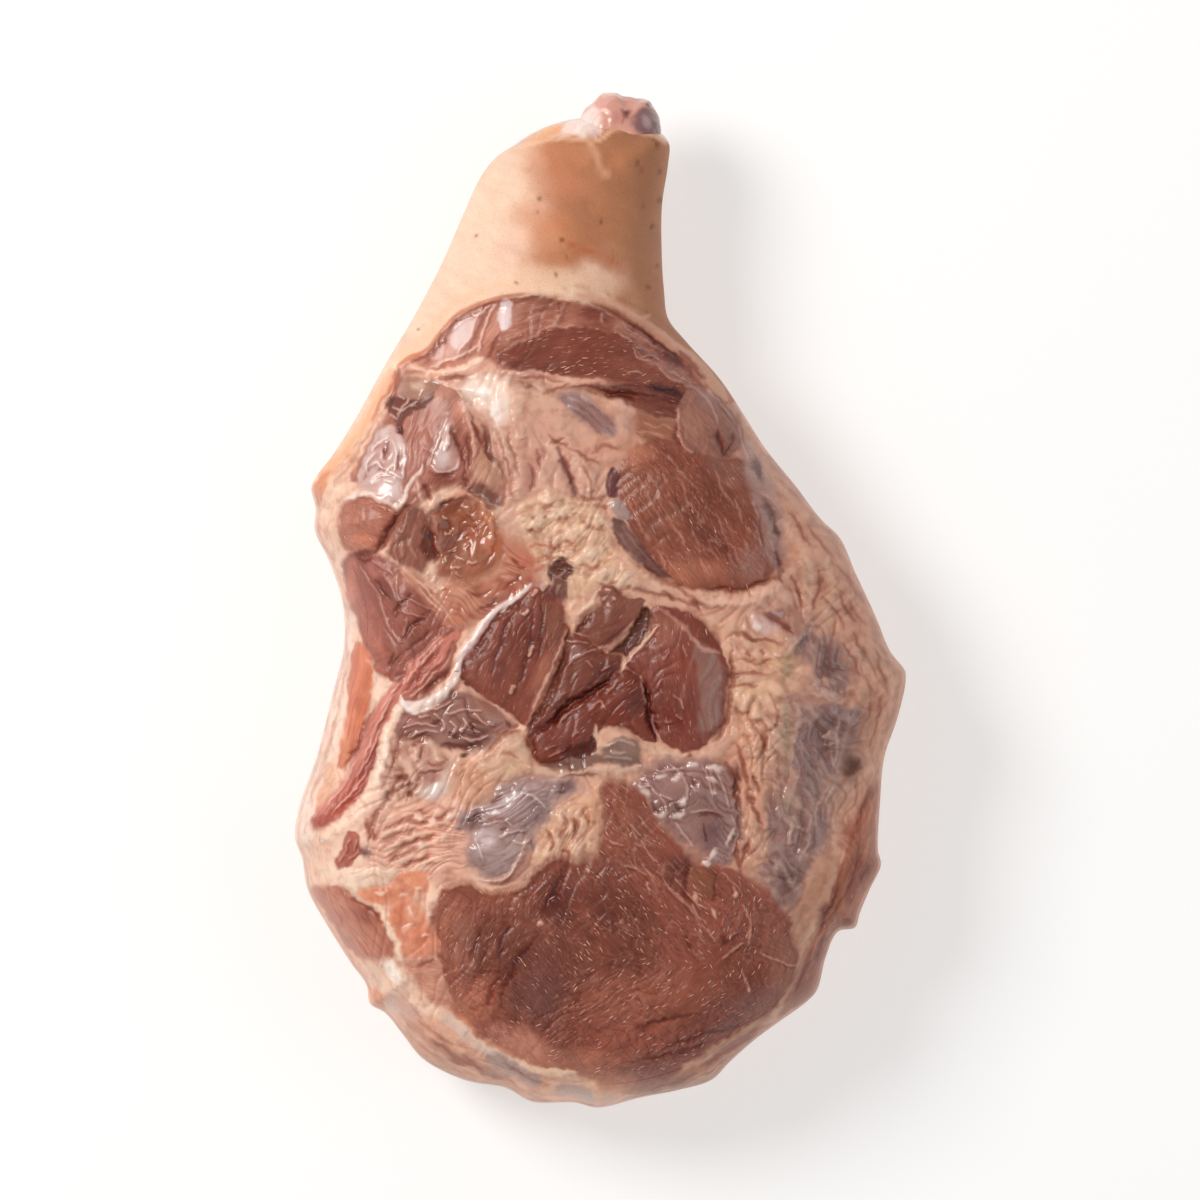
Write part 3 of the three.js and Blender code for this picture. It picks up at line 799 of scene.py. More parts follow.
def lay_rind(face):
    skin = [*RIND_EDGE, (738, 402), (800, 400), (800, 60), (330, 60), (280, 300), (250, 500), (308, 500)]
    skin += LEFT_RIM[::-1]
    where, cover = face.lay(skin, None, soft=2, kind="fat", wander=0.0)
    px, py = face.wandered(where, 1.0)
    # Pale on the left, tan and then brown towards the right: partly the skin's own tan, partly painted
    # shade on the side away from the window light.
    lean = (py - 200) * 0.10
    uneven = 26 * noise(px, py, 60, 26) + 12 * noise(px, py, 24, 27)
    tan = smooth_step((px - 488 - lean + uneven) / 92) * smooth_step((300 - py + uneven) / 60)
    brown = smooth_step((px - 546 - lean + uneven) / 84)
    colour = PALE_AND_LIT_SKIN + (TAN_AND_HALF_SHADED_SKIN - PALE_AND_LIT_SKIN) * tan[:, None]
    colour += (BROWN_AND_SHADED_SKIN - colour) * brown[:, None]
    tone = 1 + 0.05 * noise(px, py, 46, 21) + 0.05 * noise(px, py, 18, 22) + 0.035 * noise(px, py, 6, 23)
    tone += 0.045 * drawn_out(px, py, -24, 60, 9, 28) + 0.03 * drawn_out(px, py, -60, 30, 5, 29)
    face.tint(where, cover, colour * tone[:, None])
    face.relief[where] *= 1 - cover
    face.relief[where] += cover * (0.5 * noise(px, py, 70, 24) + 0.12 * noise(px, py, 26, 25))
    face.skin[where] = np.maximum(face.skin[where], cover)
    face.blush((552, 168), (34, 24), (196, 128, 94), 0.45, 30)
    face.blush((574, 186), (30, 16), (196, 128, 100), 0.4, -30)
    face.blush((540, 222), (36, 18), (204, 132, 94), 0.6, -20)
    face.blush((548, 240), (26, 16), (204, 138, 102), 0.5, 0)
    face.blush((640, 235), (16, 60), (166, 122, 92), 0.4, 0)
    face.blush((646, 180), (16, 44), (160, 110, 80), 0.5, 0)
    face.blush((602, 258), (36, 12), (176, 116, 88), 0.4, -25)
    face.lay(
        [470, 300, 500, 276, 548, 268, 585, 280, 612, 300, 560, 298, 515, 293],
        (230, 192, 164), soft=18, strength=0.75, wander=0.5,
    )
    # Fold under the joint: a pale ridge with a brown hollow on each side.
    face.draw(
        [590, 144, 597, 156, 600, 170, 612, 178], (5, 8), (222, 172, 140), soft=9, strength=0.55,
        rise=0.9, wander=0.3,
    )
    face.blush((578, 156), (14, 14), (196, 132, 98), 0.5, -30, rise=-0.5)
    face.blush((618, 164), (12, 16), (186, 122, 88), 0.5, 10, rise=-0.5)
    face.crease(3, 592, 158, 596, 168, 604, 176, depth=0.3, dark=0.16, wander=0.3)
    # Scratch across the shank, with scraped skin beside it.
    face.draw(
        [560, 241, 572, 246, 584, 251, 600, 257, 622, 266], (3.6, 1.2), (176, 92, 54), soft=3,
        strength=0.7, wander=0.2,
    )
    face.draw([568, 246, 592, 257, 628, 274], (8, 14), (184, 112, 80), soft=10, strength=0.35, wander=0.3)
    for x, y, end_x, end_y in (
        (600, 250, 634, 262), (606, 256, 630, 262), (586, 244, 620, 254),
        (628, 202, 646, 208), (612, 262, 632, 268),
    ):
        face.draw([x, y, end_x, end_y], 1.0, (140, 92, 66), soft=2, strength=0.4, wander=0.2)
    nicks = [
        (540, 198, 2.6, 1.6), (535, 213, 3.2, 1.2), (562, 242, 2.6, 2.2), (555, 274, 2.2, 1.6),
        (568, 260, 1.8, 1.4), (638, 165, 1.8, 3.6), (642, 172, 2.6, 1.8), (658, 146, 2.2, 4.6),
        (658, 172, 1.8, 3.2), (660, 200, 2.6, 2.6), (600, 222, 2.6, 1.6), (652, 228, 3.4, 1.6),
        (648, 288, 2.2, 1.4), (418, 329, 1.6, 1.4), (476, 237, 1.4, 1.4), (657, 265, 1.8, 1.6),
        (517, 285, 1.6, 1.2), (643, 207, 1.6, 1.2), (655, 140, 1.6, 2.4),
    ]
    for x, y, wide, tall in nicks:
        face.blush((x, y), (wide + 1, tall + 1), (104, 58, 34), 0.62, 0, rise=-0.2)


SHANK_END = [
    (500, 150), (512, 147), (532, 143), (545, 139), (560, 138), (576, 137), (590, 140), (601, 135),
    (612, 127), (625, 124), (640, 130), (655, 134), (669, 143), (690, 140), (680, 60),
    (480, 60), (480, 150),
]


def lay_shank_end(face):
    """Fat and ligament inside the sleeve of rind, round the joint."""
    where, cover = face.lay(SHANK_END, (226, 180, 158), soft=2.5, kind="film", wander=0.2)
    face.skin[where] *= 1 - cover
    face.lay(
        [(522, 142), (534, 130), (552, 122), (560, 130), (552, 138), (536, 142)], (226, 156, 98),
        soft=4, strength=0.9,
    )
    face.blush((543, 130), (9, 5), (240, 178, 106), 0.7, 20)
    face.draw([(548, 124), (560, 122), (574, 119)], 4, (214, 176, 158), soft=3, strength=0.7)
    face.lay(
        [(562, 134), (566, 122), (580, 116), (600, 116), (602, 130), (592, 138), (576, 136)],
        (240, 214, 202), soft=4, strength=0.9, rise=0.8,
    )
    face.draw([(574, 132), (584, 124), (596, 120)], 3, (252, 240, 236), soft=3, strength=0.7, rise=0.6)
    face.draw([(576, 138), (588, 138), (600, 132)], 2.4, (176, 118, 104), soft=3, strength=0.6, rise=-0.8)
    face.draw([(586, 136), (598, 130), (604, 122)], 2, (196, 150, 150), soft=3, strength=0.5)
    face.lay(
        [(602, 118), (624, 118), (628, 126), (616, 134), (604, 134)], (196, 128, 100),
        soft=5, strength=0.8,
    )
    face.blush((611, 127), (4, 3.6), (120, 60, 34), 0.8)
    edge = [(514, 149), (532, 145), (546, 141), (562, 140), (578, 140), (592, 143), (604, 138), (614, 130)]
    edge += [(626, 127), (640, 133), (655, 137), (667, 145)]
    face.draw(edge, 4, (236, 190, 156), soft=3, strength=0.7, rise=0.5, ends=0.05, wander=0.2)


def lay_rind_edge(face):
    """The cut through the rind: a bright lip, an orange cut side and a dark line of painted shadow where
    the meat begins below it.
    """
    left = RIND_EDGE[:7]
    outside = [396, 358, 411, 349, 424, 340, 440, 318, 460, 302, 488, 292, 514, 289, 540, 291]
    face.draw(outside, (12, 5), (238, 190, 158), soft=6, strength=0.6, rise=0.4, ends=0.05, wander=0.3)
    face.draw(left, (4.6, 2.4), CUT_RIND, soft=3, strength=0.85, ends=0.05, wander=0.3)
    face.crease(2.6, *(np.array(left, float) + (2, 4)).ravel(), depth=0.8, dark=0.6, wander=0.3)
    face.draw(
        [492, 299, 515, 295, 545, 295, 566, 298], 1.8, (170, 104, 78), soft=2.4,
        strength=0.7, wander=0.3,
    )
    # On the right the knife left a bevel of pale fat below the rind.
    band = [572, 294, 600, 301, 626, 313, 650, 329, 672, 346, 694, 361, 712, 381, 728, 402]
    face.draw(band, (8, 13), (204, 154, 130), soft=4, strength=0.9, rise=0.6, ends=0.12, wander=0.5)
    face.draw(
        [560, 290, 585, 288, 618, 299, 650, 314, 680, 338, 706, 362, 722, 384], 2, (150, 104, 80),
        soft=3, strength=0.5, wander=0.3,
    )
    face.draw([604, 300, 640, 318, 652, 316], 3, (226, 182, 160), soft=4, strength=0.6)
    face.draw([640, 322, 676, 346, 700, 366], 3.4, (216, 170, 148), soft=5, strength=0.5)
    face.crease(3.4, 588, 303, 606, 309, 632, 325, 658, 345, 684, 364, depth=1.4, dark=0.95, wander=0.5)
    face.draw([676, 352, 694, 366, 706, 380], 6, (134, 52, 40), soft=5, strength=0.8, rise=-0.6)
    # Down the left side the rind shows as a rounded orange rim.
    rim = [392, 368, 384, 386, 374, 408, 360, 432, 342, 456, 326, 474, 314, 490]
    face.draw(rim, (11, 12), (228, 166, 126), soft=9, strength=0.8, rise=0.8, ends=0.15)
    face.draw(
        [396, 372, 391, 388, 383, 406, 372, 424], (6, 3), (196, 104, 66), soft=4,
        strength=0.75, ends=0.1,
    )
    face.draw(
        [388, 372, 380, 390, 368, 412, 352, 438, 336, 458], (3, 5), (240, 196, 164), soft=6,
        strength=0.55, ends=0.1,
    )
    # Painted shadow under the rind's cut edge, down the left.
    face.crease(4.5, 400, 368, 399, 384, 394, 398, 386, 410, depth=1.4, dark=0.8, wander=0.5)
    face.crease(2.2, 378, 418, 366, 440, 352, 460, 338, 478, depth=0.5, dark=0.25)
    face.lay(
        [313, 484, 322, 476, 332, 470, 328, 484, 324, 500, 318, 512, 313, 500], (208, 128, 88),
        soft=6, strength=0.8,
    )
    face.draw([345, 450, 352, 462, 356, 476], 5, (222, 156, 116), soft=5, strength=0.6, rise=0.5)


# ---------------------------------------------------------------- shank muscle
# The first muscle under the rind of the shank, cut across. Fine white flecks run along it, a torn
# fascia hangs over its right end, and glossy film covers its left end.


def lay_shank_muscle(face):
    whole = [
        408, 366, 430, 353, 448, 331, 468, 314, 490, 304, 515, 298, 560, 300, 604, 312,
        645, 339, 686, 369, 716, 404, 696, 400, 660, 392, 620, 386, 580, 380, 540, 376,
        505, 378, 470, 380, 440, 372, 420, 378, 402, 384,
    ]
    face.lay(whole, (172, 114, 96), soft=4, kind="meat", grain=14, rise=1.4, dome=24, flecks=0.25)
    left_end = [
        408, 368, 432, 352, 450, 330, 478, 309, 502, 300,
        500, 330, 486, 352, 474, 374, 440, 374, 415, 374,
    ]
    face.lay(left_end, (204, 144, 124), soft=9, strength=0.9, grain=52, flecks=0.0)
    belly = [
        498, 354, 512, 346, 530, 337, 552, 330, 575, 329, 600, 331, 622, 334, 642, 344, 662, 358, 682, 374,
        700, 390, 680, 394, 650, 388, 610, 380, 560, 375, 520, 371, 502, 366,
    ]
    face.lay(belly, (128, 68, 56), soft=5, strength=0.95, rise=0.8, dome=16, grain=12, flecks=1.0)
    face.blush((536, 356), (26, 12), (118, 58, 46), 0.5, 8)
    face.blush((640, 372), (30, 10), (150, 90, 76), 0.5, -18)
    face.blush((594, 316), (26, 11), (130, 62, 50), 0.8, -10)
    face.blush((530, 318), (26, 12), (186, 128, 108), 0.5, 24)
    face.blush((548, 308), (24, 8), (150, 96, 80), 0.5, 10)
    for line in (
        (500, 356, 516, 345, 534, 336, 556, 328, 580, 327), (508, 340, 524, 332, 540, 326),
        (516, 326, 534, 318, 546, 312), (546, 330, 558, 324, 562, 314, 566, 302),
        (557, 328, 560, 316, 558, 306), (600, 326, 603, 314), (530, 330, 546, 322, 558, 320),
    ):
        face.draw(line, 2.4, (212, 160, 138), soft=3, strength=0.55, rise=0.4)
    for line in (
        (504, 352, 530, 330, 556, 316), (512, 330, 530, 318, 552, 306),
        (570, 326, 600, 328, 624, 331), (560, 300, 560, 314),
    ):
        face.crease(2.2, *line, depth=0.3, dark=0.28)
    # Torn fascia at the right end, with painted shade in the gaps under it.
    face.crease(5, 626, 322, 648, 334, 666, 350, 690, 372, 708, 390, depth=1.4, dark=0.8)
    face.crease(3.4, 628, 340, 648, 346, 664, 356, 684, 368, depth=1.0, dark=0.8)
    for scrap in (
        (612, 330, 618, 321, 624, 318, 630, 328, 640, 336, 646, 344, 638, 346, 626, 338, 618, 334),
        (640, 340, 650, 340, 662, 350, 660, 356, 648, 350),
        (634, 350, 644, 358, 658, 362, 668, 372, 656, 370, 640, 362),
        (662, 364, 676, 370, 690, 380, 700, 392, 686, 386, 670, 376),
    ):
        face.lay(scrap, (182, 128, 112), soft=6, strength=0.6, rise=0.6, dome=5, wander=1.8)
    face.shade((631, 332), (5, 3), 0.6, -20)
    for line in (
        (622, 318, 626, 328, 640, 338, 650, 343), (612, 330, 622, 336, 634, 344),
        (646, 340, 656, 347, 664, 352), (633, 348, 636, 358, 652, 362), (656, 366, 668, 376, 684, 384),
        (640, 358, 652, 356, 664, 364), (668, 370, 684, 378, 694, 386), (626, 374, 634, 371, 642, 374),
    ):
        face.sinew(1.4, *line, colour=(214, 168, 152), strength=0.55)
    face.blush((692, 370), (16, 5), (140, 62, 48), 0.6, -40)
    # Film and sinews at the left end. Its palest patches are painted highlights on the wet film.
    face.lay(
        [436, 352, 452, 334, 470, 320, 486, 310, 480, 328, 466, 350, 452, 360, 440, 362],
        (220, 182, 170), soft=8, strength=0.6, kind="film",
    )
    face.lay(
        [450, 342, 455, 330, 466, 322, 476, 320, 472, 334, 464, 346, 456, 350], (232, 206, 202), soft=6,
        strength=0.85, rise=0.9, kind="film",
    )
    face.lay(
        [499, 304, 507, 299, 512, 306, 510, 318, 508, 330, 501, 332, 498, 320], (234, 210, 208), soft=3,
        strength=0.9, rise=0.9, kind="film",
    )
    face.lay(
        [430, 353, 440, 346, 446, 352, 438, 361, 430, 359], (236, 204, 196), soft=5,
        strength=0.7, kind="film",
    )
    for line in (
        (498, 302, 488, 320, 482, 338, 480, 352), (484, 306, 476, 322, 470, 338, 458, 354),
        (450, 326, 444, 338, 436, 348), (480, 344, 470, 352, 452, 360, 428, 367),
        (458, 322, 470, 314, 484, 308), (472, 316, 482, 314, 492, 306),
    ):
        face.sinew(2.2, *line, colour=(242, 208, 192), strength=0.75)
    for line in (
        (492, 308, 480, 328, 472, 346, 464, 360), (500, 332, 494, 350, 484, 362),
        (448, 336, 440, 350, 424, 364),
    ):
        face.crease(2, *line, depth=0.5, dark=0.45)
    # Flap below the muscle, seam and the pocket that opens to the right.
    face.lay(
        [
            402, 374, 412, 363, 424, 366, 436, 370, 460, 366, 480, 358,
            500, 368, 506, 380, 480, 380, 450, 384, 430, 384, 412, 380,
        ],
        (222, 172, 150), soft=5, strength=0.9, rise=0.8, dome=8, kind="fat", flecks=0.0,
    )
    face.draw(
        [408, 364, 420, 370, 440, 371, 462, 368, 484, 358], 4, (244, 206, 182), soft=3,
        strength=0.75, rise=0.7,
    )
    face.draw([420, 378, 432, 377, 442, 376], 4, (214, 146, 104), soft=3, strength=0.7, rise=0.4)
    face.crease(2.6, 440, 380, 456, 378, 470, 380, depth=0.8, dark=0.8)
    face.crease(2.4, 404, 376, 414, 372, 428, 372, depth=0.6, dark=0.5)
    face.draw(
        [504, 373, 530, 374, 560, 378, 590, 382, 620, 386], (7, 3), (226, 178, 158), soft=3,
        strength=0.85, rise=0.8,
    )
    face.crease(2.2, 516, 378, 540, 377, 566, 382, depth=0.6, dark=0.5)
    face.draw([552, 386, 580, 388, 612, 390, 640, 392], 4, (190, 130, 114), soft=3, strength=0.7, rise=0.6)
    face.crease(5.5, 560, 388, 590, 391, 618, 395, 650, 400, 690, 402, depth=2.2, dark=1.0)
    pocket = [
        590, 388, 612, 384, 636, 384, 660, 388, 684, 396,
        692, 402, 682, 412, 676, 420, 650, 416, 630, 408, 606, 396,
    ]
    face.lay(
        pocket, (112, 58, 48), soft=7, strength=0.95, rise=-2.0, dome=12, kind="meat",
        grain=-14, flecks=0.0,
    )
    face.blush((640, 404), (26, 8), (128, 70, 58), 0.6, -16)
    face.draw([650, 386, 664, 390, 678, 396, 690, 402], 8, (70, 28, 22), soft=6, strength=0.9, rise=-1.4)
    for line in ((634, 398, 656, 402, 680, 408), (628, 404, 650, 410, 676, 416)):
        face.draw(line, 2.4, (140, 82, 70), soft=3, strength=0.6, rise=0.4)
    under = [636, 412, 652, 416, 670, 420, 682, 420, 678, 440, 660, 444, 640, 438, 630, 424]
    face.lay(under, (156, 98, 76), soft=9, strength=0.9, rise=-0.6, kind="meat", grain=-30)
    for line in ((642, 424, 654, 427, 668, 426), (638, 432, 650, 434, 664, 440), (666, 428, 676, 432)):
        face.draw(line, 1.8, (206, 150, 130), soft=2.4, strength=0.6)


# ---------------------------------------------------------------- pale fat in the middle
# Glossy fat and loose tissue run down from the shank between the muscles, ringed with wrinkles and
# crossed by a few dark vessels.

def lay_middle_fat(face):
    whole = [
        456, 385, 500, 374, 560, 386, 600, 394, 624, 404, 636, 424, 634, 442, 624, 456,
        606, 470, 603, 495, 610, 520, 616, 545, 640, 568, 690, 590, 740, 592, 772, 580,
        790, 600, 760, 612, 710, 610, 660, 600, 620, 592, 596, 610, 572, 622, 552, 600,
        532, 582, 534, 556, 508, 530, 506, 506, 506, 480, 496, 450, 480, 420, 464, 402,
    ]
    face.lay(whole, (204, 156, 136), soft=8, strength=0.95, rise=1.6, dome=26, kind="fat", flecks=0.0)
    face.wrinkles(whole, -60, 60, 20, 0.7, 0.12, seed=31)
    # The first of these is a painted highlight, glare on the wet fat.
    face.blushes(
        ((486, 392), (26, 20), (240, 210, 192), 0.9, 20), ((505, 400), (16, 30), (232, 196, 178), 0.7, 0),
        ((545, 405), (34, 16), (212, 166, 142), 0.6, -6), ((600, 400), (26, 8), (218, 168, 142), 0.6, -16),
        ((590, 452), (34, 18), (208, 156, 132), 0.6, 0), ((530, 440), (20, 40), (196, 144, 126), 0.5, 0),
        ((556, 500), (20, 24), (216, 170, 146), 0.6, 0), ((528, 480), (10, 24), (178, 130, 120), 0.6, 8),
        ((628, 446), (18, 12), (190, 130, 106), 0.7, -30),
    )
    # Painted highlight: glare on the wet film and fat at the top, brightest in its middle.
    face.lay(
        [464, 386, 486, 377, 504, 382, 512, 400, 506, 424, 496, 424, 482, 404, 468, 396],
        (244, 222, 208), soft=10, strength=0.7, rise=1.0, kind="film",
    )
    face.blush((484, 392), (10, 7), (252, 244, 238), 0.7, -30, rise=0.4)
    face.blush((497, 410), (7, 13), (250, 238, 232), 0.6, 0, rise=0.4)
    for line in (
        (508, 378, 514, 408, 514, 440, 520, 470, 516, 500), (500, 424, 508, 446, 510, 470, 516, 492),
        (524, 384, 520, 410, 522, 440), (540, 470, 550, 500, 556, 524),
        (570, 446, 584, 470, 592, 492), (548, 440, 560, 460),
    ):
        face.draw(line, 6, (226, 182, 158), soft=6, strength=0.55, rise=0.9)
    for line in (
        (508, 432, 516, 455, 520, 480), (528, 462, 534, 480, 530, 494),
        (548, 433, 556, 442, 572, 450, 588, 458, 604, 468), (580, 462, 590, 478, 592, 500),
        (548, 444, 566, 440), (520, 380, 526, 388, 536, 384), (536, 450, 540, 470),
        (498, 432, 506, 452, 510, 478, 514, 500), (566, 510, 584, 520, 608, 518),
        (562, 500, 590, 508, 612, 506), (572, 498, 598, 500, 610, 494), (580, 524, 600, 524, 612, 534),
        (600, 540, 610, 552, 626, 560), (590, 452, 606, 448, 618, 452), (542, 396, 556, 388, 572, 384),
    ):
        face.crease(2.2, *line, depth=0.7, dark=0.38)
    # Bruised, bluish patches.
    patch = [558, 396, 572, 392, 590, 400, 606, 414, 618, 428, 614, 438, 600, 434, 584, 424, 570, 412]
    face.lay(patch, (142, 112, 112), soft=9, strength=0.85, rise=-0.5, kind="film")
    for line in (
        (570, 398, 590, 414, 608, 430), (582, 398, 598, 410, 612, 424), (566, 404, 584, 418, 598, 432),
    ):
        # Each bright strand gets a painted shadow just below and to the right of it.
        face.draw(line, 2.4, (196, 164, 160), soft=3, strength=0.6, rise=0.5)
        face.crease(2, *(np.array(line) + 4), depth=0.5, dark=0.45)
    face.draw(
        [556, 448, 564, 466, 572, 484, 576, 498], (3, 6), (126, 84, 86), soft=4,
        strength=0.75, rise=-1.0,
    )
    face.crease(3, 560, 452, 568, 470, 576, 492, depth=0.7, dark=0.55)
    # Crumbly, whiter fat low down.
    crumbs = [
        518, 506, 550, 494, 580, 500, 606, 516, 614, 545, 640, 572,
        630, 590, 600, 588, 576, 600, 560, 586, 540, 570, 524, 540,
    ]
    face.lay(crumbs, (218, 178, 148), soft=10, strength=0.8, rise=0.6)
    face.pebble(crumbs, 15, 40, 1.5, (186, 132, 106), 0.4, 0.8, seed=36)
    face.wrinkles(crumbs, 30, 26, 9, 0.9, 0.22, seed=37)
    for x, y, size in (
        (536, 520, 15), (560, 512, 13), (574, 532, 16), (596, 520, 11), (590, 556, 16), (606, 574, 14),
        (622, 580, 12), (548, 498, 11),
    ):
        face.blush((x, y), (size, size * 0.62), (232, 198, 172), 0.6, 36, rise=0.8)
        face.crease(
            1.8, x - size * 0.7, y + size * 0.5, x + size * 0.1, y + size * 0.8,
            x + size * 0.8, y + size * 0.3, depth=0.5, dark=0.35,
        )
    face.blush((516, 556), (16, 18), (214, 156, 126), 0.7, 30)
    # Vessels, clotted blood and the hole where the bone lies deep.
    face.lay(
        [608, 474, 612, 468, 619, 472, 618, 486, 617, 497, 608, 496, 605, 485], (96, 46, 50), soft=2.5,
        strength=0.95, rise=-0.5, wander=0.4,
    )
    face.draw([611, 474, 608, 486, 610, 495], 1.2, (170, 124, 124), soft=2, strength=0.6)
    face.lay(
        [612, 498, 622, 500, 630, 510, 628, 520, 618, 517, 612, 508], (160, 134, 130), soft=4,
        strength=0.9, rise=0.9, dome=6, kind="film",
    )
    for x, y in ((606, 508), (584, 522), (560, 518), (546, 517), (534, 518), (532, 530)):
        face.shade((x, y), (3, 2.4), 0.55, 30, rise=-0.4)
    star = (170, 86, 64)
    for line in (
        (556, 550, 540, 544, 530, 546), (552, 556, 540, 560, 524, 562), (560, 552, 552, 546, 548, 540),
        (566, 552, 558, 546), (546, 562, 536, 572),
    ):
        face.draw(line, 3.4, star, soft=4, strength=0.75)
    # The hole's dark colour is painted shade inside it.
    hole = [548, 566, 554, 558, 562, 556, 572, 562, 574, 572, 566, 580, 558, 576, 552, 580, 548, 574]
    face.lay(hole, (98, 54, 48), soft=5, strength=0.95, rise=-1.8, dome=9, kind="meat")
    face.lay(
        [556, 576, 566, 580, 566, 596, 556, 606, 548, 600, 552, 588], (104, 56, 50), soft=5,
        strength=0.85, rise=-1.2, kind="meat",
    )
    for line in ((549, 570, 556, 574, 566, 570), (554, 582, 550, 594), (560, 582, 556, 596)):
        face.draw(line, 1.6, (190, 150, 140), soft=2, strength=0.6, rise=0.4)
    # The band between the oval muscle and the middle group.
    face.draw(
        [612, 552, 640, 576, 680, 592, 722, 602, 756, 594, 780, 582], (16, 9), (214, 168, 144), soft=6,
        strength=0.85, rise=1.3,
    )
    face.draw(
        [600, 590, 640, 596, 690, 610, 724, 624], (8, 7), (208, 162, 140), soft=5,
        strength=0.75, rise=0.9,
    )
    for line in (
        (620, 584, 650, 592, 700, 604, 730, 610), (640, 560, 664, 580, 690, 588),
        (676, 586, 690, 596, 700, 612), (660, 588, 676, 600),
    ):
        face.crease(2.4, *line, depth=0.8, dark=0.4)


# ---------------------------------------------------------------- muscles of the left side
# A muscle under clear film, a small oval one cut across, the bared elbow socket and a coarse muscle
# below it. Layers of fat and red meat run along the left edge.

def lay_left_muscles(face):
    upper = [
        402, 392, 420, 384, 446, 386, 466, 398, 480, 420, 492, 448, 504, 474, 504, 505,
        490, 500, 470, 492, 452, 484, 436, 492, 420, 505, 404, 508, 385, 500, 366, 486,
        350, 480, 362, 456, 382, 424,
    ]
    face.lay(upper, (176, 118, 102), soft=6, rise=1.2, kind="meat", grain=62, flecks=0.0)
    face.blushes(
        ((438, 396), (22, 9), (196, 140, 122), 0.8, 24), ((424, 432), (16, 26), (180, 116, 100), 0.8, -24),
        ((462, 412), (9, 20), (206, 138, 116), 0.8, 0), ((412, 474), (12, 26), (178, 118, 106), 0.7, -20),
        ((456, 440), (8, 26), (138, 82, 66), 0.75, -8), ((446, 482), (20, 9), (140, 76, 62), 0.85, 0),
        ((470, 460), (9, 26), (168, 110, 92), 0.7, 0), ((426, 412), (14, 8), (168, 104, 88), 0.5, 30),
    )
    # Torn, dark meat beside the rim, under grey fascia.
    face.lay(
        [404, 376, 424, 378, 440, 384, 432, 396, 416, 404, 404, 398], (160, 116, 98), soft=5,
        strength=0.85, kind="film",
    )
    face.blush((421, 386), (9, 7), (206, 168, 148), 0.7, 20, rise=0.5)
    torn = [
        396, 398, 410, 400, 426, 398, 436, 392, 430, 404,
        414, 414, 404, 424, 404, 436, 398, 430, 394, 416, 388, 412,
    ]
    face.lay(torn, (112, 60, 52), soft=4, strength=0.9, rise=-1.2, kind="meat")
    face.crease(4, 402, 426, 400, 434, depth=1.0, dark=0.9)
    for line in (
        (400, 396, 406, 400), (410, 398, 404, 408, 398, 418), (418, 402, 410, 408),
        (394, 408, 402, 412, 412, 406), (390, 414, 398, 420),
    ):
        face.sinew(1.6, *line, colour=(216, 180, 168), strength=0.7)
    # Clear film with crumpled white edges; its palest blushes are painted highlights on the wet film.
    film_a = [
        384, 428, 392, 424, 400, 434, 407, 446, 407, 468, 402, 486,
        401, 504, 388, 504, 370, 495, 360, 483, 362, 464, 371, 446,
    ]
    face.lay(film_a, (204, 170, 162), soft=4, strength=0.9, rise=1.3, dome=12, kind="film")
    face.blushes(
        ((391, 488), (12, 12), (222, 200, 196), 0.85, 0), ((400, 452), (5, 18), (220, 196, 190), 0.8, 0),
        ((378, 450), (8, 10), (186, 140, 132), 0.7, 20), ((376, 474), (10, 10), (210, 180, 172), 0.7, 0),
        ((388, 450), (4, 14), (164, 112, 106), 0.6, -6), ((386, 434), (8, 10), (206, 180, 174), 0.7, 30),
    )
    for line in (
        (372, 452, 380, 444, 392, 436), (376, 460, 386, 470, 396, 462, 399, 450),
        (370, 468, 378, 462, 384, 472), (372, 484, 380, 474, 394, 474, 404, 480),
        (370, 478, 368, 464, 376, 452), (404, 444, 406, 462, 404, 480), (382, 460, 384, 448),
        (384, 480, 396, 484), (394, 440, 398, 456, 396, 472),
    ):
        face.sinew(1.8, *line, colour=(238, 218, 210), strength=0.7, rise=0.7)
    for line in (
        (374, 462, 370, 474, 366, 484), (384, 446, 388, 460), (378, 470, 390, 474),
        (402, 450, 401, 474), (390, 440, 386, 456),
    ):
        face.crease(2, *line, depth=0.5, dark=0.4)
    face.draw(
        [346, 500, 358, 495, 370, 494, 384, 502, 398, 507, 404, 500, 410, 488, 420, 474, 424, 462],
        (6, 3.4), (244, 218, 206), soft=2.4, strength=0.85, rise=1.0, wander=0.6,
    )
    face.crease(2.2, 350, 504, 366, 499, 386, 507, 400, 511, depth=0.8, dark=0.5)
    film_b = [
        449, 412, 453, 430, 456, 446, 460, 458, 454, 470,
        444, 473, 434, 469, 432, 456, 438, 438, 445, 424,
    ]
    face.lay(film_b, (190, 150, 142), soft=6, strength=0.8, rise=0.8, dome=10, kind="film")
    # Painted highlights on the wet film.
    face.blush((444, 458), (8, 12), (216, 196, 194), 0.8, 0)
    face.blush((448, 434), (4, 14), (222, 190, 178), 0.75, -16)
    for line in (
        (448, 418, 442, 436, 434, 452, 430, 466), (450, 424, 450, 440, 446, 452),
        (432, 464, 440, 472, 456, 470, 461, 456),
    ):
        face.sinew(1.6, *line, colour=(236, 212, 202), strength=0.7)
    face.crease(2.4, 452, 424, 458, 440, 464, 458, 466, 474, depth=0.7, dark=0.55)
    face.crease(2.4, 430, 470, 440, 476, 456, 475, depth=0.6, dark=0.5)
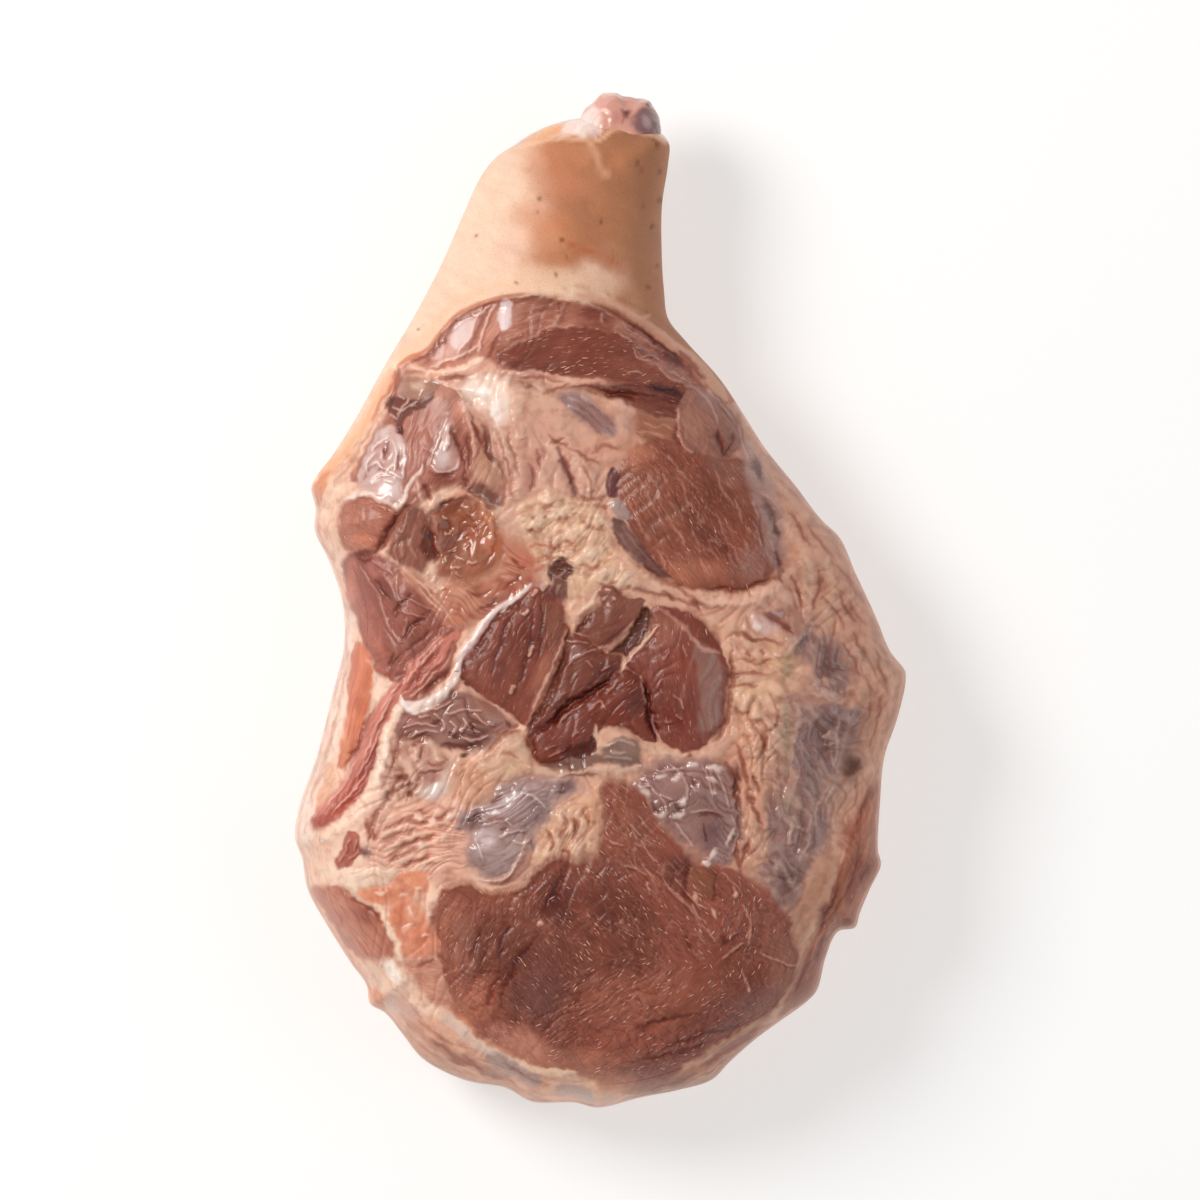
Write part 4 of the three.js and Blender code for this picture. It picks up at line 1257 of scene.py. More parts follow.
    # Strands that fan out of the fat, and the gaps between them.
    face.lay(
        [476, 458, 486, 452, 500, 470, 504, 486, 488, 486, 476, 478], (196, 148, 122), soft=8,
        strength=0.85, rise=0.8,
    )
    for line, width in (
        ((464, 400, 470, 418, 478, 440, 484, 456), 5), ((470, 402, 480, 424, 492, 450, 502, 478), 5),
        ((476, 400, 490, 424, 500, 452, 512, 492), 5), ((468, 416, 474, 440, 474, 460), 4),
        ((486, 404, 500, 430, 510, 460), 5), ((420, 478, 422, 494, 426, 510, 428, 524), 6),
        ((438, 494, 432, 508, 428, 522), 4),
    ):
        face.draw(line, (width, 2), (226, 180, 160), soft=3, strength=0.7, rise=0.9)
    face.lay(
        [482, 424, 487, 430, 492, 446, 496, 462, 490, 460, 484, 446], (118, 58, 46), soft=3,
        strength=0.9, rise=-1.4,
    )
    for line in (
        (473, 420, 480, 440, 482, 452), (466, 432, 470, 452, 470, 470),
        (494, 440, 502, 462, 508, 484, 510, 494), (426, 484, 432, 500), (464, 470, 468, 486),
    ):
        face.crease(3, *line, depth=0.9, dark=0.6)
    gap = [466, 490, 478, 484, 492, 490, 500, 500, 494, 510, 480, 504, 470, 498]
    face.lay(gap, (118, 74, 64), soft=7, strength=0.8, rise=-0.7, kind="meat", flecks=0.0)
    face.draw([474, 494, 484, 496, 494, 504], 1.6, (190, 160, 146), soft=2, strength=0.6)
    face.blush((470, 497), (5, 4), (228, 178, 146), 0.8, 0, rise=0.6)
    # Small oval muscle.
    oval = [
        344, 506, 354, 499, 368, 497, 386, 504, 398, 510,
        397, 522, 388, 538, 378, 553, 358, 552, 344, 548, 340, 528,
    ]
    face.lay(oval, (180, 118, 99), soft=4, rise=2.4, dome=22, kind="meat", grain=-18, edge=0.3, flecks=0.35)
    face.blush((364, 542), (20, 10), (200, 124, 98), 0.7, 0)
    face.blush((378, 512), (18, 9), (163, 101, 87), 0.6, -20)
    face.crease(7, 412, 504, 402, 514, 394, 528, 382, 546, 376, 556, depth=2.2, dark=0.95)
    face.lay(
        [410, 506, 424, 508, 434, 520, 436, 545, 424, 572, 406, 568, 390, 558, 390, 545, 402, 524],
        (135, 80, 66), soft=6, strength=0.95, rise=-0.4, kind="meat", grain=70, flecks=0.2,
    )
    face.lay(
        [424, 524, 432, 532, 436, 552, 430, 562, 422, 548], (90, 42, 34), soft=5,
        strength=0.85, rise=-1.4,
    )
    for line in (
        (398, 534, 396, 552, 400, 566), (410, 516, 402, 534),
        (416, 524, 412, 546, 418, 562), (404, 540, 404, 558),
    ):
        face.draw(line, 2.2, (186, 129, 114), soft=3, strength=0.55, rise=0.5)
    lower = [
        344, 558, 360, 551, 382, 556, 402, 570, 430, 592, 446, 612, 456, 624, 430, 644,
        412, 664, 400, 680, 386, 676, 370, 652, 358, 622, 348, 596,
    ]
    face.lay(lower, (157, 93, 80), soft=5, rise=1.8, dome=26, kind="meat", grain=-52, flecks=0.12)
    face.blushes(
        ((352, 585), (9, 34), (200, 124, 103), 0.8, 0), ((372, 632), (10, 30), (188, 112, 94), 0.7, 26),
        ((392, 590), (20, 26), (144, 88, 78), 0.7, 20), ((420, 612), (20, 14), (156, 98, 86), 0.7, -20),
        ((400, 650), (14, 24), (146, 90, 78), 0.75, 10), ((376, 568), (14, 8), (176, 114, 106), 0.7, 0),
        ((364, 554), (14, 5), (108, 51, 42), 0.8, 10), ((404, 582), (16, 8), (186, 124, 104), 0.6, -30),
    )
    for line in (
        (366, 574, 376, 588, 384, 606, 392, 628), (384, 572, 392, 584, 398, 600),
        (400, 576, 398, 590, 404, 606), (372, 560, 384, 566, 396, 576),
        (396, 600, 408, 598, 424, 604, 440, 612), (402, 610, 414, 614, 430, 616),
        (388, 616, 394, 634, 404, 642), (408, 620, 404, 636), (360, 566, 372, 580),
        (418, 582, 430, 590, 440, 600), (390, 560, 400, 566),
    ):
        face.sinew(1.6, *line, colour=(210, 160, 148), strength=0.6)
    for line in (
        (358, 558, 366, 563, 374, 558), (378, 576, 384, 590, 392, 600), (414, 592, 402, 604, 396, 618),
        (432, 610, 416, 622, 404, 640), (396, 652, 390, 668),
    ):
        face.crease(3, *line, depth=0.8, dark=0.6)
    # Band of gristle below it.
    face.lay(
        [400, 566, 420, 574, 440, 590, 448, 606, 462, 620, 462, 630, 446, 622, 428, 600, 410, 584],
        (202, 141, 116), soft=7, strength=0.75, rise=0.8,
    )
    for line in (
        (412, 574, 426, 586, 438, 600, 450, 616, 462, 628), (426, 582, 440, 592),
        (420, 588, 432, 600, 444, 612),
    ):
        face.sinew(2.4, *line, colour=(231, 182, 160), strength=0.65)


def lay_socket(face):
    """The elbow's joint socket: an orange-brown dish in a gristly rim."""
    gristle = [
        500, 528, 520, 542, 540, 566, 536, 590, 514, 602, 486, 620,
        462, 630, 448, 612, 444, 590, 460, 578, 490, 576, 500, 560,
    ]
    face.lay(
        gristle, (182, 114, 90), soft=14, strength=0.9, rise=1.0, dome=20, kind="film",
        flecks=0.0, wander=1.6,
    )
    face.wrinkles(gristle, -30, 26, 10, 1.0, 0.3, seed=55)
    face.blushes(
        ((524, 560), (14, 10), (192, 110, 89), 0.7, -30), ((480, 602), (22, 9), (198, 135, 109), 0.7, 24),
        ((512, 586), (16, 7), (171, 92, 72), 0.7, 30), ((500, 572), (10, 6), (206, 145, 120), 0.7, 20),
        ((462, 590), (12, 7), (208, 151, 124), 0.7, 20), ((530, 580), (8, 6), (158, 77, 62), 0.6, 0),
        ((470, 616), (12, 5), (177, 102, 82), 0.7, 30), ((494, 600), (10, 4), (212, 155, 133), 0.6, 30),
    )
    face.blush((497, 602), (20, 9), (150, 93, 80), 0.7, 20)
    for line in (
        (466, 590, 482, 594, 496, 588), (500, 592, 514, 582, 524, 572),
        (476, 610, 490, 604, 500, 598), (510, 556, 520, 566, 530, 566),
    ):
        face.crease(2.2, *line, depth=0.6, dark=0.4)
    dish = [
        430, 526, 434, 510, 446, 500, 464, 496, 484, 504, 498, 520,
        504, 545, 498, 568, 480, 580, 456, 582, 440, 572, 432, 552,
    ]
    face.lay(dish, (153, 86, 60), soft=14, strength=0.9, kind="film", flecks=0.0, wander=1.6)
    face.wrinkles(dish, 50, 22, 8, 0.8, 0.3, seed=56)
    face.shade((458, 534), (20, 26), 0.3, 0, rise=-3.0)
    face.blushes(
        ((452, 508), (20, 9), (130, 63, 36), 0.8, 20, -1.4),
        ((446, 524), (10, 12), (116, 53, 33), 0.75, 0, -1.0),
        ((484, 520), (13, 18), (184, 114, 83), 0.85, -30, 0),
        ((492, 546), (10, 14), (194, 112, 74), 0.85, 0, 0.8),
        ((472, 540), (9, 16), (167, 94, 67), 0.8, 0, 0),
        ((452, 548), (12, 18), (130, 72, 60), 0.75, 20, 0),
        ((476, 566), (12, 7), (171, 96, 71), 0.7, 0, 0.5),
        ((444, 572), (9, 8), (138, 73, 59), 0.7, 0, 0),
        ((466, 520), (7, 10), (146, 79, 47), 0.7, 20, -0.4),
    )
    face.crease(4.4, 429, 526, 433, 540, 436, 556, 434, 566, depth=1.6, dark=0.85)
    face.crease(2.4, 436, 516, 444, 504, 460, 498, 478, 500, depth=0.8, dark=0.6)
    face.crease(2, 466, 510, 474, 524, 478, 540, depth=0.6, dark=0.3)
    face.crease(2.4, 498, 530, 494, 548, 488, 560, depth=0.7, dark=0.35)
    face.draw(
        [444, 500, 458, 495, 474, 498, 488, 508, 500, 524], 3.4, (202, 128, 97), soft=4,
        strength=0.6, rise=1.0,
    )
    face.draw([482, 512, 492, 526, 496, 540], 2.6, (215, 142, 108), soft=4, strength=0.6, rise=0.7)
    # Tatters of pale tissue in the dish, wet and bright; partly the tissue itself and partly painted
    # highlight, the glints of the wet dish.
    for x, y, length, turn, width in (
        (446, 517, 7, -30, 1.4), (451, 531, 9, 24, 2.0), (455, 549, 12, 34, 1.6),
        (464, 557, 8, -14, 2.2), (457, 566, 11, 8, 1.4), (475, 561, 10, 4, 1.8),
        (447, 560, 6, -60, 1.4), (437, 578, 8, 30, 1.8), (458, 574, 9, -24, 1.4),
        (430, 574, 7, -50, 1.6), (445, 588, 6, 20, 1.6), (468, 546, 5, 60, 1.2),
    ):
        dx, dy = length / 2 * math.cos(math.radians(turn)), -length / 2 * math.sin(math.radians(turn))
        face.sinew(
            width, x - dx, y - dy, x, y + 1.5, x + dx, y + dy, colour=(228, 180, 146), strength=0.7,
            rise=0.6, wander=1.2,
        )


def lay_left_edge(face):
    white = [
        336, 596, 350, 600, 356, 640, 350, 690, 340, 740, 322, 790, 312, 838, 294, 838,
        286, 810, 304, 755, 320, 695, 334, 645,
    ]
    face.lay(white, (237, 205, 188), soft=5, strength=0.95, rise=0.8, flecks=0.0)
    for line in (
        (348, 648, 344, 690, 334, 730, 320, 770, 312, 806), (336, 720, 326, 760, 312, 800),
        (330, 760, 322, 790, 318, 816),
    ):
        face.draw(line, 3, (202, 142, 112), soft=4, strength=0.6, rise=-0.5)
    face.lay(
        [330, 760, 338, 764, 332, 790, 322, 806, 318, 800, 324, 778], (218, 158, 125),
        soft=5, strength=0.7,
    )
    face.draw([352, 600, 360, 622, 366, 640], 3, (210, 152, 125), soft=3, strength=0.6)
    orange = [
        354, 646, 362, 642, 370, 650, 376, 672, 374, 690, 370, 710,
        362, 738, 352, 758, 343, 766, 340, 752, 346, 722, 350, 690, 350, 668,
    ]
    face.lay(orange, (206, 120, 87), soft=4, strength=0.95, rise=1.4, dome=10, kind="meat", grain=76)
    face.blushes(
        ((356, 660), (8, 14), (196, 103, 70), 0.6, 0), ((362, 704), (8, 12), (186, 95, 68), 0.6, 0),
        ((346, 745), (6, 18), (221, 142, 103), 0.7, 12), ((358, 742), (7, 16), (196, 112, 91), 0.7, 14),
        ((368, 680), (7, 14), (202, 112, 82), 0.5, 0),
    )
    wedge = [
        378, 666, 388, 674, 397, 682, 388, 696, 380, 708,
        370, 730, 358, 760, 362, 736, 370, 712, 376, 690,
    ]
    face.lay(wedge, (235, 200, 179), soft=3, strength=0.95, rise=1.0, kind="fat")
    face.draw(
        [366, 656, 380, 668, 394, 680, 400, 682], 3, (218, 156, 127), soft=2.4, strength=0.8, rise=0.5,
    )
    face.crease(2.6, 376, 664, 386, 674, 396, 681, depth=0.8, dark=0.7)
    # A long strip of red meat down the left side, with pale fibres along it and darker at its low end.
    strip = [
        454, 620, 425, 648, 405, 670, 390, 689, 381, 701, 371, 716, 365, 731, 358, 750,
        353, 766, 344, 780, 335, 791, 320, 806, 312, 822, 328, 822, 350, 807, 365, 791,
        374, 767, 382, 731, 391, 713, 399, 701, 413, 692, 431, 676, 450, 652, 461, 632,
    ]
    wide = [
        456, 634, 458, 652, 452, 668, 440, 684, 426, 698,
        408, 704, 402, 696, 412, 682, 424, 668, 440, 652,
    ]
    face.lay(wide, (157, 87, 72), soft=5, strength=0.9, rise=0.8, dome=10, kind="meat", grain=48)
    face.lay(strip, (206, 128, 112), soft=4, strength=0.95, rise=1.4, dome=9, kind="meat", grain=56)
    red = [
        384, 742, 379, 762, 367, 784, 350, 805, 333, 820,
        314, 830, 312, 820, 330, 806, 346, 790, 360, 768, 372, 748,
    ]
    face.lay(red, (161, 68, 53), soft=7, strength=0.85, kind="meat")
    face.threads(strip, 58, 24, 5, (229, 165, 148), 0.7, 0.22, 0.4, seed=75)
    for line in (
        (454, 624, 436, 642, 418, 660), (446, 638, 424, 662, 404, 684), (398, 690, 384, 712, 372, 736),
        (388, 704, 374, 734, 364, 758), (380, 730, 370, 756, 356, 778), (360, 756, 344, 784, 328, 804),
        (444, 656, 430, 672, 416, 686), (440, 668, 424, 686, 412, 696),
        (366, 774, 350, 794, 336, 808), (404, 676, 392, 694, 382, 708),
    ):
        face.sinew(1.7, *line, colour=(231, 171, 156), strength=0.8)
    for line in (
        (440, 626, 416, 644, 398, 664, 390, 682), (440, 650, 420, 674, 404, 694),
        (452, 664, 436, 682, 424, 694), (378, 702, 366, 726, 356, 750, 346, 770),
    ):
        face.crease(2.8, *line, depth=1.0, dark=0.6)


# ---------------------------------------------------------------- oval muscle of the right side
# The biggest clean-cut muscle, with long pale streaks along its fibres, a small muscle above it and
# a grey silver skin down its right edge.

def lay_oval_muscle(face):
    oval = [
        618, 468, 640, 444, 660, 440, 682, 444, 702, 452, 724, 460, 742, 460, 757, 474, 766, 500, 774, 520,
        778, 546, 776, 566, 768, 578, 740, 587, 710, 590, 680, 585, 658, 569, 643, 549, 629, 526, 619, 500,
    ]
    face.lay(oval, (141, 82, 66), soft=4, rise=2.4, dome=40, kind="meat", grain=-57, edge=0.3, flecks=0.22)
    face.blushes(
        ((642, 484), (28, 34), (148, 90, 72), 0.8, 40), ((702, 506), (34, 44), (125, 68, 55), 0.8, -57),
        ((716, 544), (36, 13), (108, 55, 44), 0.7, -50),
        ((690, 572), (44, 15), (174, 110, 86), 0.85, 0),
        ((640, 456), (22, 12), (172, 110, 87), 0.8, 30),
        ((664, 530), (14, 34), (153, 95, 76), 0.7, -34),
        ((722, 472), (24, 12), (147, 99, 87), 0.7, -30), ((750, 570), (22, 10), (147, 91, 74), 0.6, 20),
    )
    face.threads(oval, -57, 40, 6, (190, 132, 112), 0.36, 0.13, 0.3, seed=61)
    face.threads(oval, -60, 26, 4, (196, 142, 124), 0.34, 0.12, 0.2, seed=64)
    face.wrinkles(oval, -57, 40, 5, 0.3, 0.2, seed=63, share=0.2)
    for line in (
        (640, 478, 652, 504, 664, 528), (648, 474, 662, 500), (660, 500, 672, 524, 686, 548),
        (678, 478, 688, 500, 700, 522), (712, 470, 724, 494, 732, 508), (628, 500, 640, 522),
        (656, 550, 664, 566), (690, 526, 700, 546), (734, 500, 744, 524),
        (664, 452, 682, 474, 696, 488), (742, 536, 752, 556), (700, 560, 712, 578),
        (716, 520, 726, 540), (636, 516, 650, 542),
    ):
        face.draw(line, 1.6, (204, 150, 130), soft=2.4, strength=0.5, rise=0.2)
    shadow = [
        612, 518, 622, 520, 634, 534, 648, 550, 662, 568,
        672, 578, 654, 574, 636, 562, 622, 546, 614, 532,
    ]
    face.lay(shadow, (104, 66, 62), soft=5, strength=0.9, rise=-0.9)
    for line in ((618, 524, 634, 542, 654, 564), (628, 552, 646, 566), (616, 530, 628, 546)):
        face.draw(line, 1.6, (160, 122, 120), soft=2.4, strength=0.5)
    face.crease(2.6, 640, 566, 656, 578, 676, 586, depth=0.8, dark=0.6)
    face.crease(2.2, 700, 591, 740, 588, 768, 580, 778, 574, depth=0.8, dark=0.6)
    silver = [742, 440, 756, 450, 774, 490, 784, 528, 780, 574, 768, 562, 762, 530, 752, 500, 744, 470]
    face.lay(silver, (158, 121, 112), soft=10, strength=0.85, rise=0.4, kind="film", flecks=0.0)
    face.blush((752, 560), (20, 22), (150, 102, 92), 0.6, -60, kind="film")
    for x, y, wide, tall in ((757, 470, 6, 15), (769, 512, 6, 15), (776, 530, 4, 8)):
        face.blush((x, y), (wide, tall), (100, 60, 52), 0.85, 20, rise=-0.9)
    for line in (
        (760, 492, 772, 500, 786, 520), (764, 470, 776, 490, 788, 500), (770, 540, 776, 560),
        (752, 520, 762, 548), (752, 500, 758, 520),
    ):
        face.sinew(1.8, *line, colour=(184, 144, 134), strength=0.6)
    face.crease(3, 775, 550, 778, 562, 782, 572, depth=0.8, dark=0.7)
    small = [
        684, 396, 700, 386, 712, 394, 728, 408, 740, 424,
        742, 440, 730, 458, 710, 458, 690, 450, 680, 440, 676, 422,
    ]
    face.lay(small, (154, 106, 92), soft=4, rise=1.4, dome=14, kind="meat", grain=-46, edge=0.3, flecks=0.0)
    face.blush((706, 400), (14, 10), (158, 114, 106), 0.7, -40, kind="film")
    face.blush((692, 424), (12, 16), (168, 118, 100), 0.7, 0)
    face.draw(
        [680, 408, 676, 420, 677, 434, 684, 446, 694, 454], 3, (206, 152, 132), soft=2.4,
        strength=0.8, rise=0.8,
    )
    face.crease(3, 674, 424, 675, 436, 682, 448, depth=0.9, dark=0.6)
    face.crease(4, 716, 428, 720, 444, 724, 458, depth=1.8, dark=0.95)
    face.crease(2.6, 731, 430, 729, 446, 725, 458, depth=1.2, dark=0.7)
    for line in (
        (690, 386, 700, 394, 712, 408, 718, 426), (706, 390, 722, 406, 734, 420),
        (738, 416, 740, 436, 748, 462),
    ):
        face.sinew(2, *line, colour=(192, 150, 140), strength=0.6)
    face.blush((738, 418), (5, 9), (150, 86, 54), 0.8, 0)


# ---------------------------------------------------------------- middle group of muscles
# Four muscles meet in the middle of the shoulder like leaves, with deep folds between them, dark with
# painted shade, and bright lines of silver skin along their edges.

def lay_middle_muscles(face):
    left_leaf = [
        532, 586, 546, 588, 560, 602, 568, 618, 568, 640, 561, 664, 546, 692, 531, 726, 514, 716,
        489, 698, 464, 682, 459, 665, 474, 644, 488, 622, 504, 606, 520, 596,
    ]
    face.lay(
        left_leaf, (134, 73, 60), soft=3, rise=2.2, dome=30, kind="meat", grain=62,
        edge=0.3, flecks=0.12,
    )
    face.blushes(
        ((552, 622), (13, 34), (142, 86, 68), 0.85, 8),
        ((543, 672), (10, 30), (172, 107, 86), 0.8, -24),
        ((518, 640), (13, 40), (116, 56, 47), 0.7, -26),
        ((504, 620), (12, 16), (140, 79, 66), 0.6, -30),
        ((478, 676), (20, 10), (150, 90, 77), 0.6, -20),
        ((506, 660), (16, 30), (134, 75, 62), 0.6, -26), ((548, 592), (10, 10), (116, 66, 62), 0.8, 0),
        ((524, 700), (10, 18), (142, 81, 68), 0.7, -20),
    )
    face.wrinkles(left_leaf, 62, 46, 8, 0.5, 0.3, seed=71, share=0.16)
    for line in (
        (506, 626, 498, 650, 492, 676), (534, 606, 530, 640, 524, 670, 512, 692),
        (542, 600, 540, 640, 536, 664), (516, 612, 500, 634),
    ):
        face.crease(3, *line, depth=0.6, dark=0.42)
    for x, y, length in ((531, 650, 12), (513, 688, 10), (536, 592, 8), (546, 586, 9), (526, 612, 6)):
        face.sinew(
            3, x + 3, y - length / 2, x, y, x - 3, y + length / 2, colour=(222, 172, 152),
            strength=0.85, rise=0.6,
        )
    face.draw(
        [566, 628, 562, 648, 556, 666, 546, 688, 536, 712, 527, 730], (4, 5), (206, 150, 126), soft=3,
        strength=0.8, rise=0.9,
    )
    face.sinew(1.6, 562, 644, 552, 668, 542, 692, 532, 716, colour=(238, 190, 168), strength=0.7)
    face.crease(3.4, 572, 640, 562, 664, 550, 692, 538, 716, 530, 734, depth=1.6, dark=0.8)
    face.crease(2.6, 570, 616, 570, 630, 566, 644, depth=0.8, dark=0.6)
    upper_leaf = [
        574, 626, 590, 614, 600, 604, 600, 590, 612, 584,
        626, 596, 646, 601, 634, 622, 612, 642, 598, 646, 586, 636,
    ]
    face.lay(
        upper_leaf, (134, 80, 66), soft=3, rise=1.4, dome=16, kind="meat", grain=44,
        edge=0.3, flecks=0.15,
    )
    face.blush((612, 632), (20, 8), (112, 58, 48), 0.7, 42)
    face.blush((608, 594), (8, 9), (150, 104, 92), 0.7, 0)
    # Painted glints on the wet meat.
    for x, y in ((609, 590), (608, 606), (614, 598), (604, 598)):
        face.blush((x, y), (2.6, 2), (222, 176, 158), 0.8, 0, rise=0.4)
    face.sinew(3, 598, 649, 614, 641, 632, 624, 648, 605, colour=(188, 134, 114), strength=0.75, rise=0.8)
    fat_wedge = [566, 604, 578, 598, 590, 600, 600, 596, 598, 606, 588, 614, 578, 624, 572, 632, 566, 622]
    face.lay(fat_wedge, (220, 172, 146), soft=4, strength=0.9, rise=1.2, dome=8, kind="fat", flecks=0.0)
    face.sinew(3, 598, 590, 590, 604, 578, 614, colour=(236, 204, 178), strength=0.7)
    face.crease(2, 574, 634, 584, 622, 596, 612, depth=0.6, dark=0.6)
    centre_leaf = [
        566, 644, 574, 632, 586, 636, 600, 648, 622, 656, 618, 670,
        598, 688, 566, 706, 544, 726, 530, 738, 530, 724, 546, 700, 558, 672,
    ]
    face.lay(
        centre_leaf, (122, 68, 56), soft=3, rise=1.4, dome=18, kind="meat", grain=38,
        edge=0.4, flecks=0.15,
    )
    face.blush((606, 668), (20, 10), (98, 44, 36), 0.85, 35)
    face.blush((576, 650), (10, 12), (134, 92, 82), 0.7, 30, kind="film")
    face.blush((560, 694), (20, 12), (128, 70, 56), 0.6, 46)
    for line in (
        (566, 666, 582, 654, 598, 648), (570, 682, 578, 672), (586, 660, 592, 668),
        (600, 670, 610, 664), (558, 700, 566, 690), (566, 640, 580, 640, 590, 644),
    ):
        face.sinew(1.5, *line, colour=(202, 146, 130), strength=0.6)
    lower_leaf = [
        624, 668, 640, 680, 648, 706, 656, 742, 640, 736, 620, 724, 600, 728, 592, 750,
        564, 757, 542, 763, 534, 756, 532, 738, 548, 720, 572, 704, 600, 686,
    ]
    face.lay(
        lower_leaf, (120, 58, 46), soft=3, rise=2.2, dome=24, kind="meat", grain=38,
        edge=0.4, flecks=0.22,
    )
    face.blushes(
        ((634, 700), (12, 24), (98, 45, 37), 0.85, -10), ((570, 728), (26, 12), (137, 72, 60), 0.6, 30),
        ((550, 750), (14, 8), (133, 66, 55), 0.6, 20), ((600, 706), (18, 10), (122, 59, 46), 0.6, 40),
        ((622, 722), (14, 8), (115, 53, 42), 0.6, 0),
    )
    face.lay(
        [562, 752, 570, 744, 586, 740, 592, 734, 596, 748, 580, 757], (92, 40, 34), soft=3,
        strength=0.9, rise=-1.2, dome=8,
    )
    face.crease(4, 620, 668, 604, 682, 580, 696, 556, 714, 538, 734, depth=1.8, dark=0.85)
    for line in (
        (556, 722, 568, 712, 584, 702), (572, 736, 580, 730), (588, 710, 600, 700, 606, 708),
        (546, 748, 556, 742), (548, 756, 562, 748), (608, 690, 616, 680),
    ):
        face.sinew(1.5, *line, colour=(206, 146, 128), strength=0.65)
    face.lay(
        [596, 724, 599, 734, 606, 740, 614, 742, 600, 744, 594, 742], (228, 186, 160), soft=2.5,
        strength=0.9, rise=0.8, kind="fat",
    )
    right_leaf = [
        654, 606, 670, 608, 686, 612, 700, 620, 712, 634, 722, 650, 728, 676, 724, 706, 719, 726, 702, 744,
        686, 750, 666, 744, 654, 724, 646, 694, 640, 678, 626, 664, 644, 644, 650, 624,
    ]
    face.lay(
        right_leaf, (131, 70, 59), soft=3, rise=3.0, dome=40, kind="meat", grain=-78,
        edge=0.3, flecks=0.2,
    )
    face.blushes(
        ((664, 630), (18, 18), (161, 100, 80), 0.85, 0), ((672, 716), (20, 24), (116, 49, 40), 0.85, 0),
        ((684, 660), (20, 20), (143, 75, 61), 0.6, 0), ((704, 630), (8, 20), (123, 64, 53), 0.8, 40),
        ((652, 664), (12, 14), (137, 79, 68), 0.6, 0), ((716, 700), (8, 34), (122, 77, 70), 0.7, 4),
    )
    membrane = [694, 642, 712, 650, 722, 676, 720, 704, 712, 728, 700, 732, 698, 700, 696, 668]
    face.lay(membrane, (138, 98, 88), soft=9, strength=0.8, kind="film", flecks=0.0)
    face.draw(
        [658, 606, 676, 620, 692, 638, 704, 648, 720, 652], (2, 6), (190, 134, 118), soft=4,
        strength=0.75, rise=0.7,
    )
    face.sinew(1.8, 660, 624, 646, 638, 632, 656, 620, 672, colour=(240, 200, 180), strength=0.85)
    for line in (
        (672, 694, 680, 700, 684, 708), (662, 676, 656, 688), (668, 650, 664, 660),
        (676, 712, 682, 718), (664, 722, 672, 720), (690, 606, 700, 612), (684, 648, 688, 656),
    ):
        face.sinew(1.5, *line, colour=(204, 140, 124), strength=0.6)
    # A deep hollow between the leaves; its dark colour is painted shade.
    deep = [645, 606, 652, 612, 648, 628, 636, 644, 626, 656, 616, 652, 608, 650, 622, 638, 634, 622]
    face.lay(deep, (92, 44, 36), soft=5, strength=0.95, rise=-2.2, dome=7, kind="meat", flecks=0.0)
    face.crease(4, 642, 680, 648, 704, 653, 726, 658, 742, depth=1.8, dark=0.95)
    face.sinew(2, 639, 680, 642, 692, 646, 704, colour=(196, 136, 126), strength=0.75)
    face.sinew(1.8, 652, 712, 654, 728, 660, 738, colour=(196, 144, 138), strength=0.7)
    face.crease(4, 730, 640, 731, 690, 722, 726, 714, 742, depth=1.4, dark=0.55)


# ---------------------------------------------------------------- membranes over the blade
# Below the middle group the meat is wrapped in blue-grey membrane that bulges on the left and on the
# right, with crumpled fat pushed up round it.

